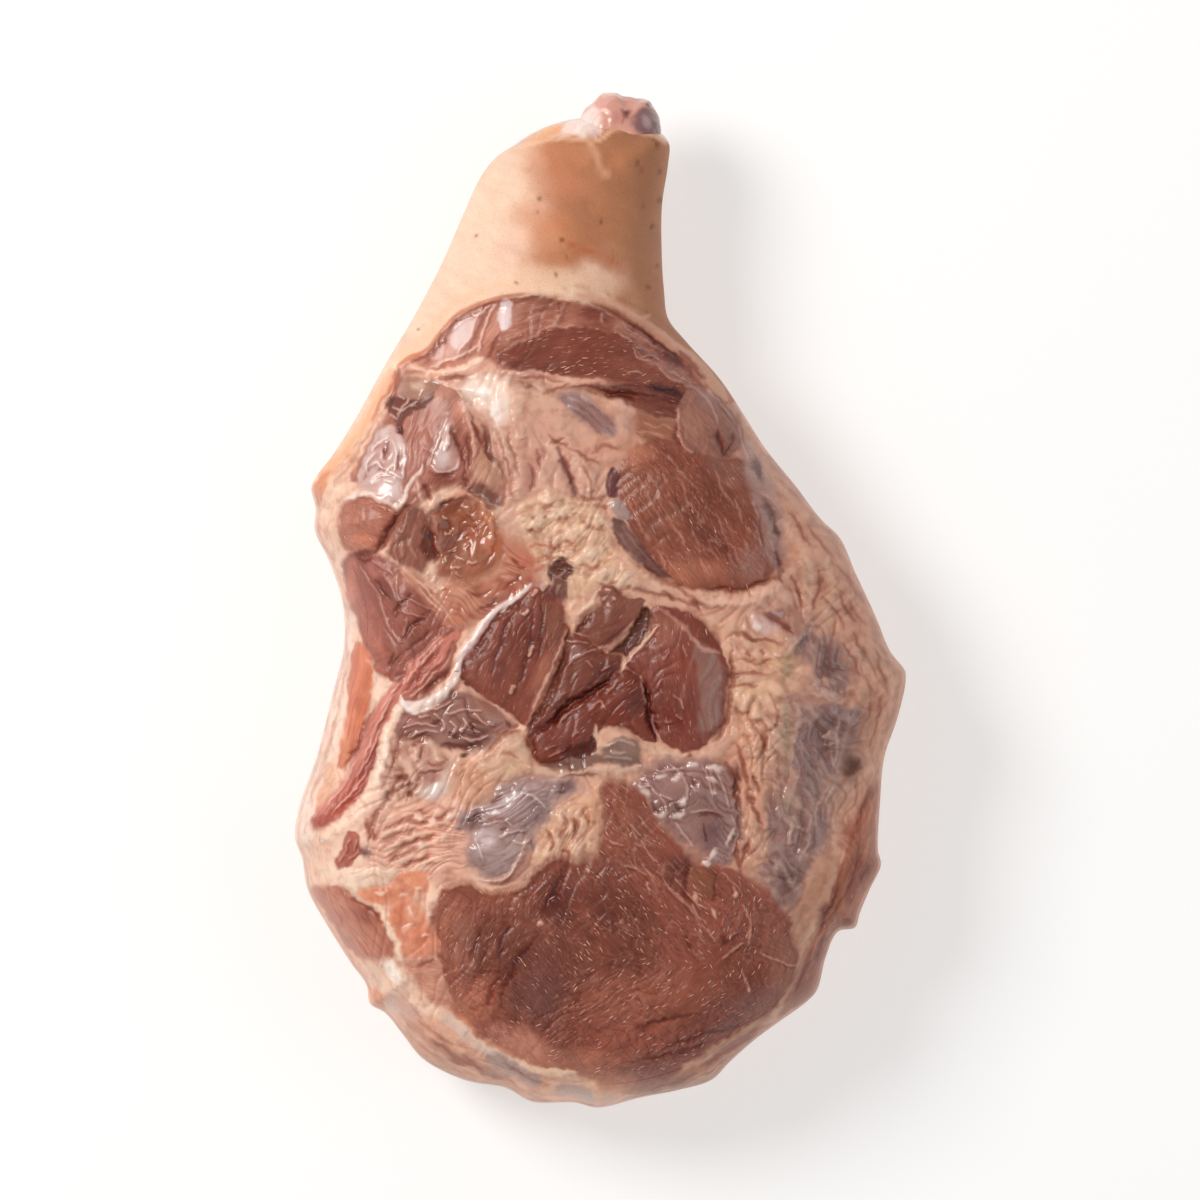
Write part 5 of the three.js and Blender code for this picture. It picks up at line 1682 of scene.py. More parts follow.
def lay_membranes(face):
    crumple = [
        400, 710, 430, 702, 456, 690, 480, 696, 504, 714,
        510, 724, 496, 736, 480, 748, 450, 748, 420, 744, 400, 740,
    ]
    face.lay(crumple, (150, 104, 94), soft=7, strength=0.95, rise=0.6, kind="film")
    face.wrinkles(crumple, 20, 26, 10, 1.2, 0.5, seed=81)
    face.blush((476, 732), (18, 12), (110, 64, 58), 0.8, 10)
    face.blush((488, 704), (20, 10), (140, 84, 68), 0.7, -36)
    face.blush((412, 716), (14, 7), (176, 120, 112), 0.7, 10)
    for line in (
        (448, 712, 464, 708, 482, 710), (452, 718, 458, 726, 452, 738), (464, 716, 472, 728, 482, 730),
        (474, 712, 484, 722, 496, 724), (404, 726, 420, 722, 438, 726), (410, 736, 424, 730, 440, 732),
        (436, 712, 446, 722, 444, 732), (428, 708, 440, 706, 452, 700), (462, 736, 476, 738, 490, 732),
        (468, 720, 462, 732), (430, 714, 420, 716), (496, 704, 508, 714, 518, 722),
    ):
        face.sinew(2, *line, colour=(216, 168, 152), strength=0.65, rise=0.8)
    for line in (
        (440, 744, 456, 745, 472, 743, 484, 740), (404, 738, 420, 736, 436, 740), (450, 730, 462, 738),
        (504, 722, 520, 726), (470, 720, 476, 732), (430, 722, 444, 716),
    ):
        face.crease(3, *line, depth=1.0, dark=0.75)
    # Loose fat folded over below it.
    folded = [
        396, 738, 412, 736, 430, 738, 448, 752, 462, 756,
        460, 776, 440, 800, 414, 804, 392, 806, 378, 790, 380, 764,
    ]
    face.lay(folded, (204, 158, 138), soft=8, strength=0.9, rise=0.9, flecks=0.0)
    face.wrinkles(folded, 40, 30, 9, 1.2, 0.28, seed=84)
    for line in (
        (424, 740, 436, 748, 440, 760), (402, 754, 412, 770, 408, 784), (388, 752, 394, 772, 390, 790),
        (416, 744, 418, 760), (396, 770, 384, 792, 380, 806),
        (420, 768, 436, 764, 448, 758), (398, 786, 410, 778, 420, 782),
    ):
        face.draw(line, 4, (228, 186, 164), soft=4, strength=0.6, rise=0.9)
    for line in (
        (428, 762, 440, 763, 450, 756), (418, 771, 432, 769, 444, 768), (406, 770, 412, 784, 408, 790),
        (412, 742, 420, 740, 428, 742), (392, 776, 402, 774, 408, 780), (386, 798, 396, 784, 404, 772),
        (424, 744, 422, 758), (410, 790, 418, 794), (382, 808, 392, 796),
    ):
        face.crease(2.6, *line, depth=0.8, dark=0.55)
    face.blush((430, 776), (14, 6), (176, 124, 118), 0.8, 0)
    clear = [420, 790, 438, 780, 448, 766, 454, 752, 458, 768, 456, 790, 444, 798, 428, 798]
    face.lay(clear, (220, 190, 176), soft=9, strength=0.9, rise=0.6, kind="film")
    face.blush((436, 788), (13, 8), (228, 208, 200), 0.7, 10)
    striated = [
        366, 812, 390, 800, 430, 798, 462, 790, 476, 800, 470, 840, 470, 880,
        440, 880, 410, 874, 380, 884, 352, 884, 346, 866, 366, 862, 362, 836,
    ]
    face.lay(striated, (228, 176, 154), soft=8, strength=0.9, rise=0.9, kind="fat", flecks=0.0)
    face.wrinkles(striated, 22, 44, 7, 0.8, 0.22, seed=85, share=0.2)
    for line in (
        (378, 830, 398, 822, 420, 812, 438, 804), (382, 840, 404, 832, 430, 824),
        (396, 848, 414, 840, 438, 832), (388, 860, 404, 852, 424, 842), (404, 820, 418, 820, 440, 808),
        (380, 850, 396, 836, 410, 830), (430, 818, 448, 812, 458, 806), (400, 868, 420, 858, 440, 850),
    ):
        face.crease(2.4, *line, depth=0.6, dark=0.5)
        face.draw(np.array(line) + 4, 4, (246, 204, 178), soft=3.4, strength=0.75, rise=0.5)
        face.draw(np.array(line) + 8, 2, (206, 134, 108), soft=3, strength=0.6)
    face.blush((400, 836), (22, 12), (236, 182, 160), 0.6, 24)
    for x, y in ((419, 815), (450, 814), (421, 843), (446, 836), (432, 818)):
        face.blush((x, y), (5, 4), (246, 210, 190), 0.75, 20, rise=0.8)
    for line in ((366, 812, 372, 830, 368, 846), (374, 820, 378, 838), (360, 796, 372, 806)):
        face.crease(2.2, *line, depth=0.7, dark=0.5)
    cream_corner = [
        352, 862, 380, 864, 404, 868, 428, 866, 420, 872,
        398, 880, 370, 886, 340, 882, 320, 872, 330, 858,
    ]
    face.lay(cream_corner, (240, 210, 186), soft=8, strength=0.8, rise=0.6)
    # Fat pushed up between the two bulges.
    orange_lobes = [452, 762, 464, 756, 480, 764, 500, 776, 490, 796, 470, 806, 456, 796]
    face.lay(orange_lobes, (208, 154, 126), soft=9, strength=0.85, rise=0.9)
    face.wrinkles(orange_lobes, 60, 22, 8, 1.0, 0.3, seed=86)
    lump = [
        490, 752, 500, 736, 512, 730, 526, 738, 532, 752,
        534, 768, 516, 778, 494, 778, 478, 768, 480, 756,
    ]
    face.lay(lump, (210, 168, 142), soft=8, strength=0.95, rise=2.0, dome=16, edge=0.2)
    face.blush((520, 742), (7, 7), (222, 182, 154), 0.7, 0)
    face.blush((512, 764), (12, 7), (214, 178, 146), 0.7, 0)
    face.crease(2.2, 500, 754, 510, 752, 520, 756, depth=0.5, dark=0.3)
    face.crease(3, 484, 756, 494, 742, 508, 730, 524, 732, depth=0.8, dark=0.5)
    face.blush((466, 754), (6, 4), (70, 34, 28), 0.9, 20, rise=-1.2)
    face.crease(4, 526, 734, 534, 748, 540, 762, depth=1.0, dark=0.85)
    pits = [540, 762, 560, 756, 580, 750, 600, 752, 640, 756, 640, 764, 600, 764, 570, 772, 552, 770]
    face.lay(pits, (110, 74, 68), soft=6, strength=0.85, rise=-1.0, kind="film")
    for x, y in ((566, 762), (554, 760), (582, 756)):
        face.shade((x, y), (5, 3), 0.5)
    face.draw(
        [530, 764, 546, 772, 570, 774, 600, 770, 642, 764], (8, 6), (200, 160, 136), soft=4,
        strength=0.9, rise=1.4,
    )
    face.crease(2, 560, 776, 580, 774, 600, 772, depth=0.6, dark=0.7)
    grey = [600, 748, 608, 740, 624, 736, 638, 740, 640, 752, 636, 760, 606, 760]
    face.lay(grey, (126, 98, 90), soft=8, wander=1.8, strength=0.9, kind="film")
    face.blush((611, 748), (14, 9), (128, 98, 90), 0.8)
    for line in ((606, 744, 620, 740, 634, 744), (610, 752, 626, 750), (602, 756, 616, 756, 632, 757)):
        face.draw(line, 2, (186, 158, 142), soft=2.6, strength=0.6, rise=0.4)
    face.draw(
        [620, 724, 632, 726, 642, 736, 650, 748, 666, 752, 690, 753], (7, 4), (206, 164, 140), soft=3.4,
        strength=0.85, rise=1.2,
    )
    face.draw(
        [640, 766, 660, 758, 690, 758, 712, 752, 726, 740, 738, 726], (5, 10), (200, 154, 136), soft=5,
        strength=0.8, rise=1.0,
    )
    face.shade((689, 754), (3, 2.4), 0.8)
    beige = [
        556, 804, 570, 796, 588, 788, 604, 778, 604, 810, 602, 832, 594, 850,
        580, 862, 566, 856, 556, 866, 540, 872, 528, 862, 538, 832, 546, 814,
    ]
    face.lay(beige, (216, 170, 142), soft=8, strength=0.95, rise=1.4, dome=16, flecks=0.0)
    face.wrinkles(beige, 84, 26, 9, 1.2, 0.26, seed=88)
    face.blush((592, 808), (8, 24), (206, 150, 118), 0.7, -14)
    for x, y, size in (
        (570, 826, 6), (582, 822, 5), (556, 836, 7), (578, 846, 9), (590, 842, 3),
        (548, 852, 7), (562, 812, 6),
    ):
        face.blush((x, y), (size * 0.8, size * 1.2), (232, 196, 166), 0.65, -10, rise=1.0)
    for line in (
        (562, 808, 566, 822, 560, 836), (574, 814, 576, 830, 572, 842), (546, 826, 552, 838, 548, 852),
        (584, 806, 588, 824), (560, 846, 570, 852, 568, 860),
    ):
        face.crease(2.2, *line, depth=0.7, dark=0.5)
    left_bulge = [
        504, 780, 524, 774, 548, 776, 574, 780, 580, 786, 570, 794, 556, 804,
        546, 818, 536, 832, 530, 850, 520, 864, 500, 876, 482, 874, 470, 862,
        466, 848, 472, 830, 458, 828, 462, 812, 480, 802, 494, 790,
    ]
    face.lay(left_bulge, (166, 136, 132), soft=13, wander=1.8, rise=3.0, dome=36, kind="film", flecks=0.0)
    face.blushes(
        ((476, 818), (20, 9), (126, 90, 86), 0.8, 20), ((566, 784), (14, 7), (110, 78, 78), 0.8, 10),
        ((524, 820), (14, 12), (150, 118, 116), 0.6, 0),
        # The next three pale blushes are painted sheen on the wet membrane.
        ((510, 800), (20, 10), (204, 180, 180), 0.75, 30),
        ((494, 814), (14, 8), (222, 196, 194), 0.75, 20),
        ((486, 838), (16, 14), (214, 192, 190), 0.85, 20),
        ((510, 846), (18, 12), (176, 150, 144), 0.7, 40),
        ((530, 786), (14, 6), (168, 138, 136), 0.7, 0), ((540, 810), (12, 10), (128, 96, 96), 0.6, 30),
        ((480, 862), (14, 7), (150, 116, 110), 0.7, -10),
    )
    # Painted highlights on the wet bulge.
    face.blush((514, 794), (7, 3), (250, 244, 242), 0.7, 40, rise=0.3)
    face.blush((497, 811), (5, 2.4), (250, 242, 240), 0.7, 20, rise=0.3)
    face.wrinkles(left_bulge, 32, 30, 8, 0.8, 0.24, seed=91)
    for line in (
        (478, 824, 492, 820, 506, 818, 514, 824), (486, 808, 500, 804, 514, 798, 526, 792),
        (474, 836, 480, 846, 484, 858), (500, 836, 512, 830, 526, 828), (520, 790, 536, 796, 546, 806),
        (470, 808, 486, 804), (512, 838, 524, 842, 530, 836),
    ):
        face.sinew(1.7, *line, colour=(222, 198, 192), strength=0.6)
    for line in (
        (484, 820, 500, 816, 512, 820), (466, 820, 480, 812), (500, 828, 508, 826),
        (556, 792, 568, 788), (490, 800, 504, 792),
    ):
        face.crease(2.2, *line, depth=0.5, dark=0.5)
    for shift in (0, 5, 10, 15, 20):
        strand = [
            478 + shift, 876 + shift * 0.3, 504 + shift * 0.4, 880 - shift * 0.5,
            524 - shift * 0.1, 866 - shift * 0.9, 532 - shift * 0.2, 846 - shift * 0.6,
        ]
        face.sinew(2.2, *strand, colour=(214, 172, 154), strength=0.65, rise=0.7)
    right_bulge = [
        640, 770, 656, 760, 680, 758, 704, 758, 722, 764, 732, 780, 738, 810, 738, 840, 730, 862, 716, 866,
        700, 858, 684, 846, 668, 832, 656, 812, 646, 796, 636, 784,
    ]
    face.lay(right_bulge, (146, 107, 101), soft=16, wander=2.2, rise=2.4, dome=34, kind="film", flecks=0.0)
    face.blushes(
        ((712, 832), (16, 20), (109, 75, 75), 0.8, 0), ((700, 796), (18, 14), (132, 96, 91), 0.6, 0),
        ((680, 776), (22, 10), (171, 131, 122), 0.7, 10),
        ((660, 790), (14, 14), (155, 116, 107), 0.7, 0),
        ((686, 832), (10, 14), (151, 118, 113), 0.6, 0), ((714, 856), (8, 8), (163, 136, 131), 0.7, 30),
        ((734, 776), (6, 16), (122, 70, 64), 0.7, 0),
    )
    face.wrinkles(right_bulge, -40, 24, 8, 0.9, 0.34, seed=95)
    for x, y, wide, tall, turn in (
        (691, 764, 7, 4, 10), (714, 768, 9, 4, -10), (676, 776, 6, 4, 30), (660, 774, 8, 3, 20),
        (646, 790, 7, 4, -40), (682, 800, 4, 7, 0), (714, 790, 4, 4, 0), (712, 778, 6, 3, -20),
        (730, 834, 3, 10, -14), (712, 852, 3, 9, -30), (664, 812, 8, 4, 20), (706, 862, 6, 4, 0),
        (678, 814, 7, 4, 0), (694, 786, 4, 3, 0),
    ):
        face.blush((x, y), (wide, tall), (232, 206, 196), 0.7, turn, rise=0.7)
    for line in (
        (644, 776, 654, 788, 664, 800, 668, 814), (668, 762, 680, 772, 686, 786, 684, 806),
        (700, 762, 708, 776, 712, 796), (656, 770, 670, 768, 684, 766), (690, 812, 704, 808, 718, 812),
        (676, 820, 684, 834, 692, 846), (716, 772, 724, 786, 728, 806), (652, 784, 640, 786),
        (730, 812, 736, 830, 732, 852), (660, 792, 672, 796),
    ):
        face.sinew(1.8, *line, colour=(206, 170, 160), strength=0.6)
    for line in (
        (696, 816, 708, 812, 722, 816), (674, 800, 680, 814), (690, 774, 696, 790),
        (724, 760, 732, 776, 736, 796), (702, 822, 706, 840), (650, 800, 662, 812),
    ):
        face.crease(2.6, *line, depth=0.7, dark=0.55)
    face.draw(
        [738, 728, 744, 750, 750, 780, 760, 806, 768, 828], 8, (206, 150, 122), soft=5,
        strength=0.8, rise=1.2,
    )
    for line in (
        (736, 740, 742, 762, 748, 790), (760, 728, 764, 748, 760, 770), (744, 784, 752, 806, 764, 824),
        (752, 770, 758, 792), (748, 834, 744, 852, 740, 866),
    ):
        face.crease(3, *line, depth=1.2, dark=0.6)
    face.draw([756, 780, 762, 760, 768, 746], 5, (224, 180, 148), soft=4, strength=0.7, rise=0.8)


# ---------------------------------------------------------------- big lower muscle
# The broad muscle of the shoulder end, sawn across: dark red, densely flecked, with a few long
# cracks. Cut fat, a bevel of rind and folds of brown meat run round it.

def lay_lower_muscle(face):
    whole = [
        602, 784, 622, 780, 636, 784, 648, 802, 664, 826, 684, 850, 704, 862, 732, 868,
        752, 880, 776, 900, 796, 934, 797, 965, 786, 990, 766, 1018, 722, 1038, 690, 1062,
        650, 1085, 600, 1078, 575, 1068, 545, 1064, 518, 1056, 490, 1040, 470, 1021,
        454, 1000, 445, 975, 438, 940, 436, 900, 446, 884, 466, 878, 490, 888, 516, 884, 536, 866,
        556, 852, 566, 856, 580, 862, 596, 850, 604, 820,
    ]
    face.lay(
        whole, (144, 82, 68), soft=9, rise=2.2, dome=60, kind="meat", grain=-48, flecks=0.75, wander=1.5,
    )
    face.blushes(
        ((620, 822), (26, 44), (144, 84, 66), 0.9, 0), ((600, 866), (30, 22), (134, 78, 64), 0.7, 0),
        ((500, 900), (50, 12), (150, 88, 68), 0.7, 4), ((452, 930), (16, 54), (172, 106, 84), 0.8, 4),
        ((560, 900), (20, 34), (92, 42, 34), 0.85, 20), ((560, 960), (44, 56), (108, 63, 53), 0.7, 20),
        ((500, 950), (36, 50), (106, 57, 45), 0.7, 10), ((530, 1000), (36, 36), (112, 68, 60), 0.7, 0),
        ((620, 930), (60, 50), (109, 57, 45), 0.75, 20),
        ((600, 890), (44, 26), (108, 56, 46), 0.7, -30), ((640, 1000), (74, 34), (158, 96, 76), 0.8, 8),
        ((640, 1040), (70, 20), (162, 94, 76), 0.7, 10),
        ((472, 1002), (26, 40), (188, 120, 96), 0.9, -50),
        ((522, 1044), (50, 20), (202, 138, 116), 0.9, -24),
        ((580, 1060), (60, 16), (186, 122, 100), 0.8, 0),
        ((604, 1080), (46, 14), (204, 140, 112), 0.8, 0), ((740, 960), (44, 40), (124, 66, 52), 0.8, 0),
        ((750, 900), (30, 24), (142, 76, 60), 0.7, -40),
        ((730, 1010), (50, 16), (128, 66, 54), 0.7, 14),
        ((780, 960), (16, 40), (156, 104, 84), 0.7, 12),
        ((676, 868), (16, 22), (104, 58, 48), 0.7, -30),
        ((640, 850), (24, 30), (136, 80, 66), 0.6, -40),
    )
    lower_part = [
        560, 980, 620, 950, 690, 960, 780, 990, 750, 1030, 690, 1056, 620, 1072, 560, 1060, 530, 1020,
    ]
    face.lay(lower_part, None, soft=30, grain=38, flecks=1.0)
    right_part = [716, 900, 750, 890, 790, 940, 790, 990, 740, 1010, 716, 960]
    face.lay(right_part, None, soft=20, grain=64, flecks=0.6)
    left_part = [440, 890, 500, 890, 560, 860, 550, 900, 510, 960, 500, 1020, 460, 1000, 444, 950]
    face.lay(left_part, None, soft=20, grain=64, flecks=0.7)
    face.wrinkles(whole, -46, 34, 6, 0.5, 0.26, seed=101, share=0.14)
    face.wrinkles(lower_part, 30, 40, 8, 0.6, 0.3, seed=102, share=0.16)
    face.threads(
        [620, 800, 650, 810, 700, 880, 730, 930, 700, 950, 650, 900, 620, 860], -48, 34, 7,
        (188, 134, 116), 0.55, 0.14, 0.4, seed=104,
    )
    face.threads(whole, 40, 13, 8, (178, 124, 108), 0.34, 0.13, 0.16, seed=106)
    face.threads(whole, -50, 20, 6, (168, 112, 96), 0.3, 0.16, 0.16, seed=107)
    face.wrinkles(left_part, 66, 40, 9, 0.5, 0.3, seed=108, share=0.2)
    face.blush((466, 936), (16, 40), (158, 104, 88), 0.5, 4)
    face.blush((540, 985), (26, 34), (120, 78, 72), 0.55, 10)
    for line in (
        (640, 838, 650, 852, 658, 862), (660, 872, 672, 890, 690, 906, 706, 922),
        (624, 862, 636, 866, 646, 874), (646, 880, 650, 892), (668, 884, 684, 900),
        (690, 900, 700, 920), (628, 822, 640, 834), (676, 878, 690, 894, 708, 908),
        (610, 838, 624, 844), (720, 870, 736, 884, 742, 892), (732, 884, 738, 894),
        (742, 900, 750, 924, 746, 944), (722, 956, 734, 946, 742, 940), (740, 968, 746, 980, 748, 990),
        (760, 950, 776, 958, 796, 964), (706, 926, 714, 936), (728, 936, 736, 930),
    ):
        face.sinew(1.8, *line, colour=(204, 148, 130), strength=0.65)
    cracks = (
        ((568, 856, 560, 876, 548, 900, 541, 918), 4.5),
        ((541, 926, 530, 944, 520, 956, 510, 972, 502, 990, 500, 1008), 3.4),
        ((512, 922, 504, 932, 502, 950, 500, 962), 2.4), ((500, 972, 494, 984, 488, 1002), 2.2),
        ((482, 924, 476, 940, 470, 956), 2.0), ((686, 850, 686, 872, 684, 892, 694, 902), 3),
        ((714, 866, 714, 884, 713, 900), 2.4), ((720, 932, 726, 942), 4), ((684, 930, 692, 946), 2.0),
        ((630, 1028, 660, 1018, 700, 1010), 2.2), ((660, 1046, 700, 1032, 740, 1024, 764, 1024), 2.4),
        ((640, 1058, 680, 1048, 716, 1036), 2.2),
    )
    for line, width in cracks:
        face.crease(width * 1.3, *line, depth=0.45, dark=0.62)
    face.lay(
        [690, 864, 702, 866, 712, 868, 711, 892, 704, 898, 690, 892, 688, 876], (138, 84, 62), soft=4,
        strength=0.85, rise=0.6,
    )
    for x, y, wide, tall, turn in (
        (696, 894, 3, 5, 40), (714, 911, 3.4, 7, 20), (540, 921, 3, 3, 0), (736, 892, 3, 3, 0),
        (748, 987, 2, 3.4, 0), (588, 868, 2.4, 2.4, 0), (578, 840, 2.6, 2.6, 0),
    ):
        face.blush((x, y), (wide, tall), (226, 172, 152), 0.85, turn, rise=0.5)
    # Long pale folds where the muscle runs out over the lower right edge.
    for index in range(7):
        shift = index * 12
        line = [
            690 + shift, 1064 - shift * 0.6, 712 + shift,
            1048 - shift * 0.62, 734 + shift * 0.8, 1034 - shift * 0.6,
        ]
        face.draw(line, 3, (178, 128, 98), soft=4, strength=0.55, rise=0.9)
    face.draw(
        [440, 888, 466, 880, 490, 890, 516, 887, 540, 868, 556, 854], 3.4, (206, 152, 126), soft=4,
        strength=0.7, rise=0.8,
    )


def lay_lower_rim(face):
    cut_muscle = [
        312, 888, 330, 883, 350, 886, 364, 897, 380, 911,
        390, 930, 394, 952, 384, 962, 366, 960, 346, 944, 328, 916,
    ]
    face.lay(cut_muscle, (196, 128, 106), soft=7, rise=1.0, dome=14, kind="meat", grain=-52, flecks=0.35)
    face.wrinkles(cut_muscle, -52, 34, 8, 0.5, 0.3, seed=115)
    face.blush((366, 914), (16, 10), (158, 98, 84), 0.75, -40)
    face.blush((338, 900), (14, 8), (204, 140, 116), 0.7, -50)
    face.blush((352, 934), (10, 16), (206, 144, 120), 0.6, 30)
    face.crease(3, 352, 894, 368, 902, 380, 914, 384, 922, depth=1.0, dark=0.65)
    face.draw(
        [330, 882, 350, 884, 364, 896, 380, 906, 390, 924, 398, 944, 404, 958], 5, (240, 208, 184),
        soft=3, strength=0.85, rise=1.0,
    )
    pale_cut = [366, 956, 386, 962, 404, 960, 416, 972, 420, 990, 400, 996, 384, 990, 372, 976]
    face.lay(pale_cut, (232, 192, 168), soft=9, strength=0.9, rise=0.5, kind="fat")
    face.blush((394, 968), (18, 9), (252, 238, 224), 0.9, -46, rise=0.6)
    orange = [
        400, 872, 412, 868, 428, 872, 430, 884, 422, 900, 430, 916, 438, 934, 438, 952, 420, 954, 404, 950,
        396, 930, 390, 914, 392, 902, 374, 900, 358, 890, 366, 886, 388, 884,
    ]
    face.lay(orange, (226, 150, 120), soft=7, strength=0.95, rise=1.4, dome=18, flecks=0.0)
    face.blushes(
        ((400, 912), (8, 14), (204, 118, 82), 0.8, -10), ((392, 892), (16, 6), (208, 120, 82), 0.6, 0),
        ((424, 936), (12, 14), (206, 124, 94), 0.7, 0), ((414, 878), (12, 7), (226, 150, 112), 0.7, 0),
        ((378, 890), (14, 5), (210, 128, 92), 0.6, 0),
    )
    for x, y, wide, tall, turn in (
        (404, 894, 6, 3, 20), (418, 894, 4, 8, -20), (412, 908, 3, 7, 0), (408, 926, 8, 3, 30),
        (428, 932, 5, 2, 0), (384, 890, 6, 1.6, 0), (420, 886, 5, 3, 0), (420, 960, 3, 8, -20),
    ):
        face.blush((x, y), (wide, tall), (246, 204, 180), 0.7, turn, rise=0.6)
    face.draw([430, 876, 434, 890, 428, 904, 434, 916], 5, (232, 190, 166), soft=4, strength=0.7, rise=0.8)
    pink_cut = [406, 956, 424, 954, 440, 958, 446, 978, 456, 1000, 440, 1004, 424, 990, 414, 974]
    face.lay(pink_cut, (202, 142, 120), soft=6, strength=0.85, kind="meat", flecks=0.0)
    face.crease(2.4, 414, 966, 428, 960, 436, 958, depth=0.6, dark=0.4)
    bevel = [
        384, 990, 410, 998, 428, 1008, 448, 1018, 480, 1044, 520, 1062, 560, 1074, 590, 1082,
        600, 1110, 560, 1112, 500, 1100, 440, 1080, 400, 1050, 370, 1010, 366, 992,
    ]
    face.lay(bevel, (235, 180, 152), soft=6, strength=0.95, rise=-0.6, flecks=0.0)
    face.wrinkles(bevel, -36, 44, 8, 0.8, 0.3, seed=113, share=0.16)
    face.draw(
        [408, 996, 430, 1006, 450, 1016, 468, 1030], (10, 8), (245, 208, 182), soft=6,
        strength=0.8, rise=0.8,
    )
    face.draw([444, 1012, 470, 1034, 496, 1050], 13, (225, 192, 176), soft=8, strength=0.8, kind="film")
    face.draw([392, 994, 402, 1006, 420, 1014], 14, (198, 149, 132), soft=9, strength=0.75, kind="film")
    face.draw(
        [486, 1052, 506, 1064, 530, 1074, 544, 1080], 15, (173, 137, 128), soft=7, strength=0.85,
        rise=-0.4, kind="film",
    )
    face.draw(
        [556, 1084, 578, 1090, 594, 1100], 12, (164, 120, 104), soft=6, strength=0.8,
        rise=-0.4, kind="film",
    )
    face.draw(
        [470, 1026, 484, 1040, 504, 1050, 524, 1060, 544, 1068, 566, 1070, 576, 1068], (3, 8),
        (245, 208, 176), soft=3, strength=0.85, rise=1.2,
    )
    face.draw(
        [566, 1070, 580, 1078, 594, 1086, 600, 1100], 7, (231, 184, 152), soft=4,
        strength=0.75, rise=0.8,
    )
    face.draw([460, 1010, 476, 1030, 500, 1046, 520, 1056], 5, (204, 131, 100), soft=5, strength=0.7)
    face.draw(
        [400, 1012, 424, 1034, 450, 1052, 478, 1064, 506, 1078], 9, (193, 133, 110), soft=6,
        strength=0.75, rise=0.5,
    )
    for line in (
        (416, 1016, 436, 1030, 454, 1046), (430, 1034, 450, 1050, 474, 1066),
        (420, 1042, 450, 1064, 480, 1078), (406, 1030, 430, 1052),
        (460, 1050, 490, 1074, 520, 1084), (500, 1060, 530, 1074, 552, 1082),
    ):
        face.crease(2.8, *line, depth=0.8, dark=0.4)
    face.draw(
        [386, 1014, 404, 1034, 430, 1054, 462, 1072, 500, 1084, 530, 1094], (6, 8), (214, 149, 112),
        soft=5, strength=0.75,
    )
    face.draw(
        [404, 1038, 424, 1058, 460, 1078, 500, 1090, 530, 1102, 590, 1106], 7, (187, 118, 90),
        soft=5, strength=0.75,
    )
    face.lay(
        [366, 984, 378, 988, 384, 1002, 384, 1012, 372, 1010, 366, 1000], (225, 143, 104), soft=5,
        strength=0.8, rise=1.0,
    )
    face.draw([308, 890, 326, 922, 346, 950, 368, 978], 7, (235, 167, 132), soft=6, strength=0.7)
    # Tan fat, and folds of brown meat, down the right rim.
    tan_fat = [820, 852, 836, 860, 838, 880, 824, 910, 812, 934, 800, 944, 792, 930, 796, 900, 806, 872]
    face.lay(tan_fat, (190, 140, 114), soft=9, strength=0.85, rise=0.9, flecks=0.0)
    face.draw(
        [834, 866, 824, 890, 814, 916, 806, 940, 796, 972, 782, 1000, 768, 1016], (6, 5),
        (204, 156, 128), soft=5, strength=0.7, rise=0.8,
    )
    folds = [
        882, 780, 878, 830, 878, 868, 860, 912, 838, 932, 824, 964, 816, 992,
        798, 1004, 778, 1016, 796, 974, 812, 932, 830, 890, 846, 850, 858, 806,
    ]
    face.lay(folds, (154, 87, 59), soft=6, strength=0.9, kind="meat", grain=66, flecks=0.0)
    face.wrinkles(folds, 66, 50, 8, 1.0, 0.42, seed=114)
    for line in (
        (876, 790, 866, 820, 850, 846, 842, 876, 828, 912), (868, 800, 858, 820, 842, 838),
        (858, 860, 846, 884, 836, 910), (828, 912, 818, 938, 806, 962),
        (850, 880, 838, 908, 824, 936), (874, 830, 862, 856, 850, 880),
    ):
        face.draw(line, 3.4, (196, 126, 90), soft=4, strength=0.6, rise=0.9)
    for line in (
        (872, 782, 862, 806, 852, 824), (862, 850, 850, 880, 840, 908), (840, 880, 826, 910, 816, 936),
        (868, 862, 858, 884), (812, 946, 800, 976, 790, 996), (826, 930, 814, 960),
    ):
        face.crease(3.4, *line, depth=1.0, dark=0.6)
    face.draw(
        [880, 856, 872, 878, 862, 900, 856, 918], (6, 8), (182, 103, 58), soft=5, strength=0.8, rise=0.8,
    )
    face.draw([862, 858, 854, 880, 848, 900], 5, (140, 57, 32), soft=4, strength=0.7)
    face.blush((848, 923), (9, 5), (120, 41, 24), 0.85, 20)
    face.draw([820, 962, 818, 980, 808, 992], 8, (176, 91, 59), soft=5, strength=0.75, rise=0.8)
    face.blush((852, 830), (14, 22), (164, 82, 53), 0.7, -20)
    face.blush((850, 768), (11, 16), (98, 52, 34), 0.8, 0)
    rim_line = [772, 1020, 748, 1036, 720, 1054, 694, 1070, 656, 1084, 620, 1092]
    face.draw(rim_line, 9, (156, 96, 64), soft=6, strength=0.7, rise=0.4)
    for shift, colour in (
        (3, (180, 117, 82)), (8, (112, 64, 43)), (13, (158, 103, 72)), (18, (96, 53, 37)),
    ):
        face.draw(
            np.array(rim_line) + np.tile([shift * 0.4, shift * 0.8], 6), 2.6, colour,
            soft=3, strength=0.6,
        )
    for line in (
        (760, 1030, 730, 1048, 700, 1064), (766, 1026, 740, 1036, 716, 1050),
        (700, 1070, 670, 1082, 640, 1092),
    ):
        face.crease(2.6, *line, depth=0.8, dark=0.5)


# ---------------------------------------------------------------- white tendon
# A flat bright tendon curls from the middle of the face to its left side, over the muscles.

